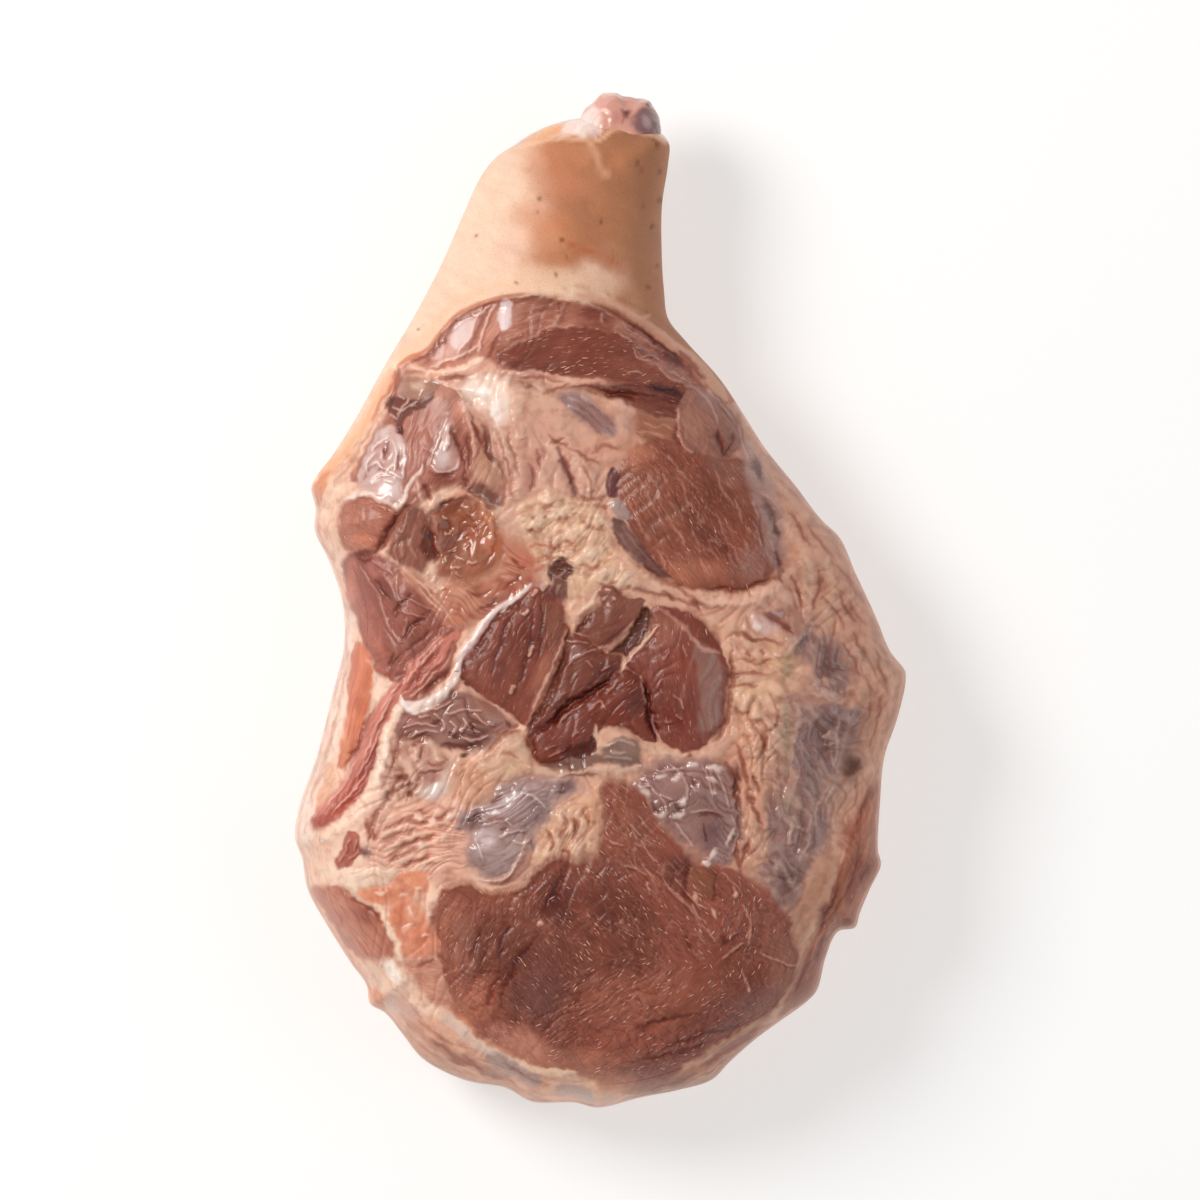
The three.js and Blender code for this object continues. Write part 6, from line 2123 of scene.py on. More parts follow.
TENDON = [
    533, 583, 522, 593, 510, 601, 498, 608, 490, 618, 480, 632, 470, 645, 461, 658,
    458, 672, 453, 682, 444, 692, 430, 700, 414, 704, 404, 700,
]


def lay_tendon(face):
    # The tendon's painted shadow, offset below and to the right of it.
    face.crease(5, *(np.array(TENDON) + np.tile([4, 4], 14)), depth=0.8, dark=0.5)
    face.draw(
        TENDON, (4, 8), (232, 206, 198), soft=3, strength=0.95, rise=0.9, kind="film",
        ends=0.06, wander=0.35,
    )
    face.draw(
        [450, 688, 436, 700, 420, 707, 406, 707], (7, 11), (240, 214, 202), soft=4, strength=0.9,
        rise=0.6, kind="film", wander=0.5,
    )
    face.draw([402, 696, 408, 706, 420, 712], 4, (244, 224, 216), soft=2.4, strength=0.9, rise=0.6)
    for line in ((500, 606, 486, 622, 472, 640, 462, 656), (526, 590, 512, 602, 500, 612)):
        face.draw(line, 2.2, (246, 230, 226), soft=2, strength=0.7, rise=0.4)
    face.draw([492, 618, 478, 638, 466, 660], 2.6, (206, 150, 144), soft=2.4, strength=0.6)
    cream = [405, 703, 396, 716, 389, 732, 384, 750, 380, 768, 373, 790, 361, 808, 344, 824, 324, 838]
    face.draw(cream, (9, 14), (240, 206, 184), soft=4, strength=0.9, rise=1.2)
    face.draw([392, 738, 384, 760, 378, 784], 4, (248, 220, 202), soft=4, strength=0.6, rise=0.4)
    for line in ((410, 722, 402, 740, 395, 762, 388, 786), (384, 800, 376, 812, 372, 830)):
        face.crease(3, *line, depth=0.8, dark=0.42)
    corner = [372, 792, 364, 812, 350, 828, 336, 838, 336, 866, 352, 868, 372, 850, 366, 830]
    face.lay(corner, (238, 204, 184), soft=6, strength=0.7, rise=0.5)
    triangle = [349, 832, 361, 833, 361, 844, 368, 852, 357, 856, 350, 864, 337, 866, 338, 856, 346, 847]
    face.lay(triangle, (168, 86, 72), soft=3, strength=0.9, rise=0.4, kind="meat", grain=60)
    for line in ((352, 836, 348, 848, 340, 860), (358, 838, 356, 850), (362, 850, 350, 856)):
        face.sinew(1.6, *line, colour=(222, 156, 138), strength=0.7)
    face.blush((367, 850), (6, 8), (128, 86, 86), 0.85, 0)


# In this order, because a tissue that is laid later overlaps the ones before it.
LAYERS = [
    lay_fat, lay_rind, lay_shank_end, lay_left_edge, lay_shank_muscle, lay_left_muscles,
    lay_oval_muscle, lay_membranes, lay_middle_fat, lay_middle_muscles,
    lay_lower_muscle, lay_lower_rim, lay_socket, lay_tendon, lay_rind_edge,
]


# The colours above are as they look in this studio, so a little gloss comes off them.

GLOSS = np.array([0.012, 0.014, 0.016])
DARKEST = 0.003
WARMTH = np.array([0.0, -0.7, -1.0])  # what warmer flesh gains in red, green and blue


def mottle(face):
    """Cloudy, uneven colour, drawn out along the fibres of meat."""
    along, across = turned(face.px, face.py, face.grain)
    across = across + 3.0 * noise(face.px, face.py, 30, 181)
    fibre = 0.10 * noise(along / 60, across / 13, 1.0, 182)
    fibre += 0.08 * noise(along / 26, across / 5.5, 1.0, 183)
    fibre += 0.06 * noise(along / 13, across / 2.6, 1.0, 184)
    cloud = clouds(face.px, face.py, 185, (0.06, 46), (0.05, 17), (0.04, 7))
    calm = 1 - 0.8 * face.skin
    tone = (fibre * np.clip(face.meat, 0, 1) + cloud) * calm
    warmth = clouds(face.px, face.py, 188, (0.07, 34), (0.04, 12)) * calm
    face.colour *= 1 + tone[:, None] + warmth[:, None] * WARMTH


def laid(px, py):
    """A surface with every tissue on it."""
    face = Surface(px, py)
    for lay in LAYERS:
        lay(face)
    mottle(face)
    face.colour = np.clip(face.colour - GLOSS, DARKEST, 1)
    return face


# ---------------------------------------------------------------- raw flesh as a material
# All the tissues are wet and a little translucent. Meat shows its fibres and fine marbling, fat is
# lumpy and waxy, membranes are smooth and glossy, and rind is dull with pores.

# Painted shade: where the fibres, lumps and pores dip, the colour is mixed towards this darker one.
DARKER = (0.60, 0.46, 0.44, 1.0)  # what the hollows of flesh leave of its colour
MARBLING = colour4(srgb(214, 160, 144))


def flesh_finish():
    flesh = Finish("raw_flesh")
    tint = flesh.attribute("tint")
    meat, fat, film, skin = [flesh.attribute(kind, 2) for kind in ("meat", "fat", "film", "skin")]
    grain = flesh.attribute("grain_place", 1)
    spot = flesh.own_place()
    threads = flesh.noise(flesh.stretched(grain, (0.10, 1.25, 1.0)), 1.0, 3.0, 0.65)
    bundles = flesh.noise(flesh.stretched(grain, (0.05, 0.34, 0.3)), 1.0, 2.0, 0.5)
    fleck_field = flesh.noise(flesh.stretched(grain, (0.20, 1.1, 0.6)), 1.0, 1.0, 0.4)
    lumps = flesh.noise(spot, 170.0, 4.0, 0.55)
    grit = flesh.noise(spot, 950.0, 2.0, 0.6)
    pores = flesh.noise(spot, 1500.0, 2.0, 0.5)
    dark = flesh.mix(1.0, tint, DARKER, "MULTIPLY")
    fibres = (threads * 0.7 + bundles * 0.4).between(0.34, 0.70)
    fibrous = flesh.mix(fibres * 0.62 + 0.38, dark, tint)
    flecked = flesh.mix(fleck_field.between(0.67, 0.74) * 0.28, fibrous, MARBLING)
    lumpy = flesh.mix(lumps.between(0.30, 0.55) * 0.5 + 0.5, dark, tint)
    porous = flesh.mix(pores.between(0.28, 0.50) * 0.35 + 0.65, dark, tint)
    colour = flesh.mix(meat, lumpy, flecked)
    colour = flesh.mix(film * 0.8, colour, tint)
    colour = flesh.mix(skin, colour, porous)
    height = (threads * 0.45 + bundles * 0.7) * meat + (lumps * 0.9 + grit * 0.25) * fat * (1 - film)
    height = height * (1 - skin) + lumps * film * 0.35 + pores * skin * 0.22 + lumps * skin * 0.12
    bump = flesh.node("ShaderNodeBump", {}, {"Strength": 0.4, "Distance": 0.0009, "Height": height})
    roughness = 0.47 - film * 0.2 - meat * 0.05 + skin * 0.08 + (grit - 0.5) * 0.2
    coat = film * 0.5 + meat * 0.14 + fat * 0.16 * (1 - skin) + 0.03
    constants = {
        "Subsurface Weight": 0.2,
        "Subsurface Radius": (1.0, 0.38, 0.24),
        "Subsurface Scale": 0.0018,
        "Coat Roughness": 0.16,
        "Specular IOR Level": 0.3,
    }
    values = {"Base Color": colour, "Roughness": roughness, "Normal": bump, "Coat Weight": coat}
    return flesh.surface(constants, **values)


raw_flesh = flesh_finish()


# ---------------------------------------------------------------- cut face
# Everything that the butcher's knife laid bare: raw meat, fat and membrane, some 8 mm deep here,
# which grow on into the meat under them. It fits inside the rind, in three bands side by side.

FACE_EDGE = [
    # along the rind of the shank
    (398, 367), (422, 354), (446, 327), (478, 305), (515, 296), (560, 298), (605, 309), (645, 335),
    (688, 365), (712, 392),
    # right side
    (728, 418), (750, 450), (780, 492), (805, 525), (824, 548), (838, 580), (855, 620), (868, 650),
    (876, 675), (872, 705), (865, 740), (860, 790), (857, 850), (848, 885), (833, 910), (810, 935),
    (798, 965), (785, 990), (765, 1010),
    # shoulder end
    (740, 1028), (712, 1050), (680, 1066), (640, 1078), (600, 1082), (560, 1078), (520, 1070),
    (480, 1055), (445, 1038), (425, 1020), (410, 1000), (395, 985),
    # left side
    (375, 960), (352, 930), (335, 905), (328, 880), (322, 850), (322, 820), (330, 790), (345, 750),
    (356, 700), (367, 655), (368, 610), (358, 575), (345, 545), (338, 520), (338, 500), (336, 476),
    (356, 455), (372, 428), (388, 405), (396, 385),
]
CUT_LEVEL = [
    (398, 367), (422, 354), (446, 327), (478, 305), (515, 296), (560, 298), (605, 309), (645, 335),
    (688, 365), (722, 400), (1000, 700), (1000, 1300), (200, 1300), (200, 620), (312, 500), (350, 458),
    (378, 415),
]
SHANK_END_CUT = [
    (400, 170), (512, 148), (545, 141), (580, 140), (620, 130), (655, 137), (800, 150), (800, 0), (400, 0),
]
RIND_STEP = 3.0  # millimetres from the rind's edge down to the meat
STEP_WIDTH = 5.0
STEP_LEAD = 0.4  # millimetres that the face is ahead of the rind on the way down
FACE_STEPS = 6
COLUMNS = 1080  # points round the rim of the face and round the rind
SPINE_START, SPINE_END = 345, 860  # plan heights between which the rind's rows are aimed
FACE_SPACING = 0.00058 / UNIT  # plan units between the points of the face
FACE_DEPTH = 0.008
FLOOR_SAG = 0.004  # metres that the hidden floor of a band dips in its middle
FACE_BANDS = {"cut_face_upper": (0, 574), "cut_face_middle": (574, 802), "cut_face_lower": (802, 1200)}


def cut_relief(px, py, shift):
    """How far the knife went below the rind, in millimetres; shift moves the step outwards."""
    inside = inward(px, py, np.array(CUT_LEVEL, float)) * UNIT / MILLIMETRE + shift
    end = inward(px, py, np.array(SHANK_END_CUT, float)) * UNIT / MILLIMETRE
    return -RIND_STEP * (smooth_step(inside / STEP_WIDTH) + smooth_step(end / STEP_WIDTH))


rim = spaced(outline_ring, COLUMNS)
rim_share = np.clip((rim[:, 1] - PLAN_TOP) / (PLAN_BOTTOM - PLAN_TOP), 0, 1)
spine_y = SPINE_START + (SPINE_END - SPINE_START) * rim_share
spine = np.stack([table_value(MIDDLE_LINE, spine_y), spine_y], 1)


def meeting_points(starts, ends, ring):
    """Where each line from a start to an end first crosses a closed line."""
    share = np.full(len(starts), 1.0)
    ray = ends - starts
    for a, b in zip(ring, np.roll(ring, -1, axis=0)):
        side = b - a
        cross = ray[:, 0] * side[1] - ray[:, 1] * side[0]
        cross = np.where(np.abs(cross) < 1e-9, 1e-9, cross)
        away = a - starts
        t = (away[:, 0] * side[1] - away[:, 1] * side[0]) / cross
        u = (away[:, 0] * ray[:, 1] - away[:, 1] * ray[:, 0]) / cross
        hit = (u >= 0) & (u <= 1) & (t >= 0) & (t < share)
        share[hit] = t[hit]
    return starts + ray * share[:, None]


face_rim = meeting_points(rim, spine, spline(FACE_EDGE, True, FACE_STEPS))


def filled(ring, spacing):
    """Evenly spaced points in a closed line, their triangles, and which of them lie on the line."""
    low, high = ring.min(axis=0), ring.max(axis=0)
    rows = np.arange(low[1], high[1], spacing * math.sqrt(0.75))
    points = []
    for index, y in enumerate(rows):
        x = np.arange(low[0] + (index % 2) * spacing / 2, high[0], spacing)
        points.append(np.stack([x, np.full(len(x), y)], 1))
    points = np.concatenate(points)
    inner = points[inward(points[:, 0], points[:, 1], ring) > spacing * 0.6]
    everything = np.concatenate([ring, inner])
    count = len(ring)
    edges = [(i, (i + 1) % count) for i in range(count)]
    vectors = [Vector(point) for point in everything.tolist()]
    made = geometry.delaunay_2d_cdt(vectors, edges, [], 1, 1e-7)
    source = np.array([sources[0] for sources in made[3]])
    where = np.full(len(everything), -1)
    where[source] = np.arange(len(source))
    return everything[source], np.array(made[2]), where[:count]


def flesh_object(name, points, faces, surface):
    """A mesh of raw flesh, with its tissues as attributes of its points."""
    points = np.clip(points, *cad_box).tolist()
    made = mesh_object(name, points, faces, raw_flesh)
    attributes = made.data.attributes
    tint = np.ones((len(points), 4))
    tint[:, :3] = np.clip(surface.colour, 0, 1)
    attributes.new("tint", "FLOAT_COLOR", "POINT").data.foreach_set("color", tint.ravel())
    for kind in ("meat", "fat", "film", "skin", "flecks"):
        attributes.new(kind, "FLOAT", "POINT").data.foreach_set("value", getattr(surface, kind))
    angle = np.radians(surface.grain)
    grain_way = np.stack([np.cos(angle), np.sin(angle), np.zeros(len(angle))], 1).ravel()
    attributes.new("grain_way", "FLOAT_VECTOR", "POINT").data.foreach_set("vector", grain_way)
    x, y, z = np.array(points).T / MILLIMETRE
    along = x * np.cos(angle) + y * np.sin(angle)
    across = y * np.cos(angle) - x * np.sin(angle)
    bent = across + 1.3 * noise(surface.px, surface.py, 46, 131)
    grain_place = np.stack([along, bent, z], 1).ravel()
    attributes.new("grain_place", "FLOAT_VECTOR", "POINT").data.foreach_set("vector", grain_place)
    return made


def blurred(values, edges, rounds):
    """Values of points, spread along the edges between them."""
    starts, ends = edges.T
    count = len(values)
    share = np.bincount(starts, minlength=count) + 1
    for _ in range(rounds):
        values = (values + np.bincount(starts, values[ends], count)) / share
    return values


def lit_ridges(face, edges):
    """Painted light on ridges and painted shade in the hollows between them, most of all in fat."""
    for rounds, scale, dark, pale in ((6, 0.14, 0.05, 0.012), (44, 0.6, 0.11, 0.03)):
        bulge = (face.relief - blurred(face.relief, edges, rounds)) / scale
        soft = 1 - 0.5 * face.meat
        hollow = np.clip(-bulge, 0, 1) * dark * soft
        face.colour *= PAINTED_SHADE ** hollow[:, None]
        raised = np.clip(bulge, 0, 1) * pale * (1 - 0.8 * face.meat)
        face.colour += (1 - face.colour) * raised[:, None]


def triangle_edges(triangles):
    return np.concatenate([triangles[:, [0, 1]], triangles[:, [1, 2]], triangles[:, [2, 0]]])


def point_normals(points, triangles):
    """The way that the surface faces at each point."""
    a, b, c = points[triangles.T]
    facing = np.cross(b - a, c - a)
    total = np.zeros((len(points), 3))
    for axis in range(3):
        for corner in range(3):
            total[:, axis] += np.bincount(triangles[:, corner], facing[:, axis], len(points))
    return total / np.linalg.norm(total, axis=1)[:, None]


def make_slab(name, chosen, top, normals, surface):
    """Some of the face's triangles, closed to a slab by a wall and a floor under them."""
    pairs = triangle_edges(chosen)
    codes = pairs[:, 0] * len(top) + pairs[:, 1]
    border = pairs[~np.isin(codes, pairs[:, 1] * len(top) + pairs[:, 0])]
    used = np.unique(chosen)
    rank = np.full(len(top), -1)
    rank[used] = np.arange(len(used))
    rim_points = np.unique(border)
    low = np.full(len(top), -1)
    low[rim_points] = len(used) + np.arange(len(rim_points))
    wall = top[rim_points] - (0, 0, FACE_DEPTH)
    middle = wall.mean(axis=0) - (0, 0, FLOOR_SAG)
    points = np.concatenate([top[used], wall, [middle]])
    start, end = border.T
    faces = [tuple(face) for face in rank[chosen].tolist()]
    walls = np.stack([rank[start], low[start], low[end], rank[end]], 1).tolist()
    faces += [tuple(face) for face in walls]
    faces += [(b, len(points) - 1, c) for a, b, c, d in walls]
    source = np.concatenate([used, rim_points, rim_points[:1]])
    part = Surface(surface.px[source], surface.py[source])
    for kind in ("colour", "grain", "meat", "fat", "film", "skin", "flecks"):
        setattr(part, kind, getattr(surface, kind)[source])
    made = flesh_object(name, points.tolist(), faces, part)
    facing = normals[source]
    facing[len(used):] = (0, 0, -1)
    made.data.normals_split_custom_set_from_vertices(facing.tolist())
    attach(made, "root")
    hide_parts("shoulder_meat")


def make_cut_face():
    """The face in bands across the shoulder. Returns its upper surface alone, for what lies on it."""
    plan, triangles, _ = filled(face_rim, FACE_SPACING)
    triangles = triangles[:, ::-1]
    surface = laid(plan[:, 0], plan[:, 1])
    lit_ridges(surface, triangle_edges(triangles))
    clumps = 0.55 + 0.9 * noise(surface.px, surface.py, 40, 201)
    clumps += 0.6 * noise(surface.px, surface.py, 14, 202)
    surface.flecks *= np.clip(clumps, 0, 1.3)
    relief = surface.relief + cut_relief(surface.px, surface.py, STEP_LEAD)
    height = top_height(surface.px, surface.py, relief)
    x, y = place(plan[:, 0], plan[:, 1])
    top = np.stack([x, y, height], 1)
    normals = point_normals(top, triangles)
    across = plan[triangles, 1].mean(axis=1)
    for name, (start, end) in FACE_BANDS.items():
        make_slab(name, triangles[(across >= start) & (across < end)], top, normals, surface)
    faces = [tuple(face) for face in triangles.tolist()]
    return flesh_object("bare_face", top.tolist(), faces, surface)


bare_face = make_cut_face()


# ---------------------------------------------------------------- flecks of fat
# Short pale flecks of fat lie along the fibres where the muscles are cut. Each is a small closed
# lens, sunk to its middle in the meat.

FLECK_DENSITY = 70000.0  # to the square metre, where they are thickest
FLECK_GAP = 0.0016  # metres between their middles, at least
FLECK_LENGTH = (0.0008, 0.0023)  # half of the real length
FLECK_WIDTH = (0.00016, 0.00034)
FLECK_THICKNESS = 0.00024
FLECK_TURN = 0.35  # radians off the fibres
FLECK_SEED = 7


class Tree:
    """Geometry Nodes written as calls."""

    def __init__(self, name, inputs):
        self.tree = bpy.data.node_groups.new(name, "GeometryNodeTree")
        self.inputs = {}
        for label, kind in inputs.items():
            socket = self.tree.interface.new_socket(label, in_out="INPUT", socket_type=kind)
            self.inputs[label] = socket.identifier
        self.tree.interface.new_socket("Geometry", in_out="OUTPUT", socket_type="NodeSocketGeometry")
        self.given = self.tree.nodes.new("NodeGroupInput").outputs

    def node(self, kind, settings=None, **values):
        made = self.tree.nodes.new(kind)
        for key, value in (settings or {}).items():
            setattr(made, key, value)
        for label, value in values.items():
            name = label.replace("_", " ")
            live = [socket for socket in made.inputs if socket.enabled and socket.name == name]
            if isinstance(value, bpy.types.NodeSocket):
                self.tree.links.new(value, live[0])
            else:
                live[0].default_value = value
        return [socket for socket in made.outputs if socket.enabled]

    def stored(self, name, kind):
        return self.node("GeometryNodeInputNamedAttribute", {"data_type": kind}, Name=name)[0]

    def drawn(self, low, high, seed):
        settings = {"data_type": "FLOAT"}
        return self.node("FunctionNodeRandomValue", settings, Min=low, Max=high, Seed=seed)[0]

    def finish(self, geometry_socket, material):
        real = self.node("GeometryNodeRealizeInstances", Geometry=geometry_socket)[0]
        dressed = self.node("GeometryNodeSetMaterial", Geometry=real, Material=material)[0]
        self.tree.links.new(dressed, self.tree.nodes.new("NodeGroupOutput").inputs[0])
        return self.tree

    def grown(self, name, base, values):
        """The tree's result on a base object, as a plain object of its own."""
        modifier = base.modifiers.new(name, "NODES")
        modifier.node_group = self.tree
        for label, value in values.items():
            modifier[self.inputs[label]] = value
        evaluated = base.evaluated_get(bpy.context.evaluated_depsgraph_get())
        mesh = bpy.data.meshes.new_from_object(evaluated)
        base.modifiers.remove(modifier)
        made = bpy.data.objects.new(name, mesh)
        bpy.context.scene.collection.objects.link(made)
        return made


def fleck_finish():
    fleck = Finish("fleck_fat")
    shade = fleck.noise(fleck.own_place(), 260.0, 2.0, 0.6).between(0.35, 0.65)
    colour = fleck.mix(shade, colour4(srgb(164, 106, 90)), colour4(srgb(214, 160, 140)))
    constants = {"Roughness": 0.36, "Specular IOR Level": 0.4, "Coat Weight": 0.3, "Coat Roughness": 0.2}
    return fleck.surface(constants, **{"Base Color": colour})


def make_flecks():
    """Small lenses of fat, scattered over the bare face where the meat is marbled."""
    kinds = {
        "Geometry": "NodeSocketGeometry",
        "Density": "NodeSocketFloat",
        "Gap": "NodeSocketFloat",
        "Seed": "NodeSocketInt",
    }
    tree = Tree("scattered_flecks", kinds)
    base, density, gap, seed = tree.given[:4]
    points, normal = tree.node(
        "GeometryNodeDistributePointsOnFaces", {"distribute_method": "POISSON"}, Mesh=base,
        Distance_Min=gap, Density_Max=density, Density_Factor=tree.stored("flecks", "FLOAT"), Seed=seed,
    )[:2]
    upright = tree.node("FunctionNodeAlignRotationToVector", {"axis": "Z"}, Vector=normal)[0]
    way = tree.stored("grain_way", "FLOAT_VECTOR")
    axes = {"axis": "X", "pivot_axis": "Z"}
    laid_along = tree.node("FunctionNodeAlignRotationToVector", axes, Rotation=upright, Vector=way)[0]
    off = tree.node("ShaderNodeCombineXYZ", Z=tree.drawn(-FLECK_TURN, FLECK_TURN, 3))[0]
    local = {"rotation_space": "LOCAL"}
    turned_off = tree.node("FunctionNodeRotateRotation", local, Rotation=laid_along, Rotate_By=off)[0]
    length, width = tree.drawn(*FLECK_LENGTH, 4), tree.drawn(*FLECK_WIDTH, 5)
    size = tree.node("ShaderNodeCombineXYZ", X=length, Y=width, Z=FLECK_THICKNESS)[0]
    lens = tree.node("GeometryNodeMeshIcoSphere", Radius=1.0, Subdivisions=1)[0]
    smooth = tree.node("GeometryNodeSetShadeSmooth", Geometry=lens)[0]
    scattered = tree.node(
        "GeometryNodeInstanceOnPoints", Points=points, Instance=smooth, Rotation=turned_off, Scale=size,
    )[0]
    tree.finish(scattered, fleck_finish())
    values = {"Density": FLECK_DENSITY, "Gap": FLECK_GAP, "Seed": FLECK_SEED}
    made = tree.grown("fat_flecks", bare_face, values)
    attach(made, "root")
    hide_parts("shoulder_meat")


make_flecks()
bpy.data.objects.remove(bare_face)


# ---------------------------------------------------------------- rind and sides
# The skin that wraps the shank, the sides and the underside, with the edge of fat and meat that
# shows between it and the cut face. It carries on from the cut face without a joint.

SIDE_ROWS = 52
SIDE_STEPS = 240  # fine steps from which the even ones are picked
# The right-hand colours are darker partly as tissue and partly as painted shade away from the window.
SIDE_FAT = (srgb(240, 208, 188), srgb(206, 150, 122))  # on the left, on the right
SIDE_MEAT = (srgb(196, 128, 108), srgb(150, 92, 72))
UNDER_SKIN = srgb(232, 194, 170)
LIP_COLOUR = srgb(214, 150, 118)
LIP_COVER = 0.65
LIP = [(0.0, 0.0), (0.7, 0.25), (1.2, 0.9), (1.4, 2.6), (3.0, 5.5)]  # inwards in plan units, down in mm
UNDER_ROWS = 24
UNDER_REACH = 0.62  # share of the way to the middle line that the rows of the underside go
UNDER_ARC_REACH = 0.85  # the most of that share that its rounded edge takes
FLAT_SHARES = np.array([0.33, 0.66, 1.0])
UNDER_SPACING = 0.006 / UNIT
INNER_SAG = 0.012  # metres that the hidden inner cap dips in its middle


def side_shares(length, rounding, rise):
    """Even steps up the rounded side, as shares of the way from the outline to the face."""
    fine = np.linspace(0, 1, SIDE_STEPS)
    across = fine[None, :] * length[:, None]
    height = rise[:, None] * quarter_round(across / rounding[:, None])
    run = np.hypot(np.diff(across, axis=1), np.diff(height, axis=1)).cumsum(axis=1)
    run = np.concatenate([np.zeros((len(length), 1)), run], 1)
    marks = np.linspace(0, 1, SIDE_ROWS)
    return np.array([np.interp(marks * line[-1], line, fine) for line in run])


def lay_side(surface, climb):
    """Between the rind's edge and the cut face: fat next to the rind, then layered meat."""
    bare = 1 - surface.skin
    run = np.arctan2(surface.py - 600, surface.px - 590) * 400
    wave = noise(run, climb * 60, 24, 141) * 0.05 + noise(run, climb * 30, 9, 142) * 0.03
    level = climb + wave
    right = smooth_step((surface.px - 560) / 160)[:, None]
    fat, meat = [left + (other - left) * right for left, other in (SIDE_FAT, SIDE_MEAT)]
    near_rim = smooth_step((0.42 - level) / 0.12) * bare
    everywhere = np.arange(len(climb))
    surface.tint(everywhere, near_rim * 0.35, meat)
    surface.tint(everywhere, smooth_step((0.26 - level) / 0.06) * bare * 0.6, fat)
    surface.tint(everywhere, smooth_step((0.05 - level) / 0.04) * bare * 0.6, srgb(*CUT_RIND))
    ridge = noise(run, climb * 90, 30, 143) + 0.5 * noise(run, climb * 140, 12, 144)
    surface.relief += near_rim * ridge * 1.2
    # Painted light on the ridges and painted shade in the furrows between them.
    surface.colour *= (1 + near_rim * 0.16 * ridge)[:, None]


def lay_under(surface):
    """The rind of the underside."""
    cloud = clouds(surface.px, surface.py, 151, (0.05, 60), (0.03, 14))
    surface.colour[:] = UNDER_SKIN * (1 + cloud)[:, None]
    surface.skin[:] = 1


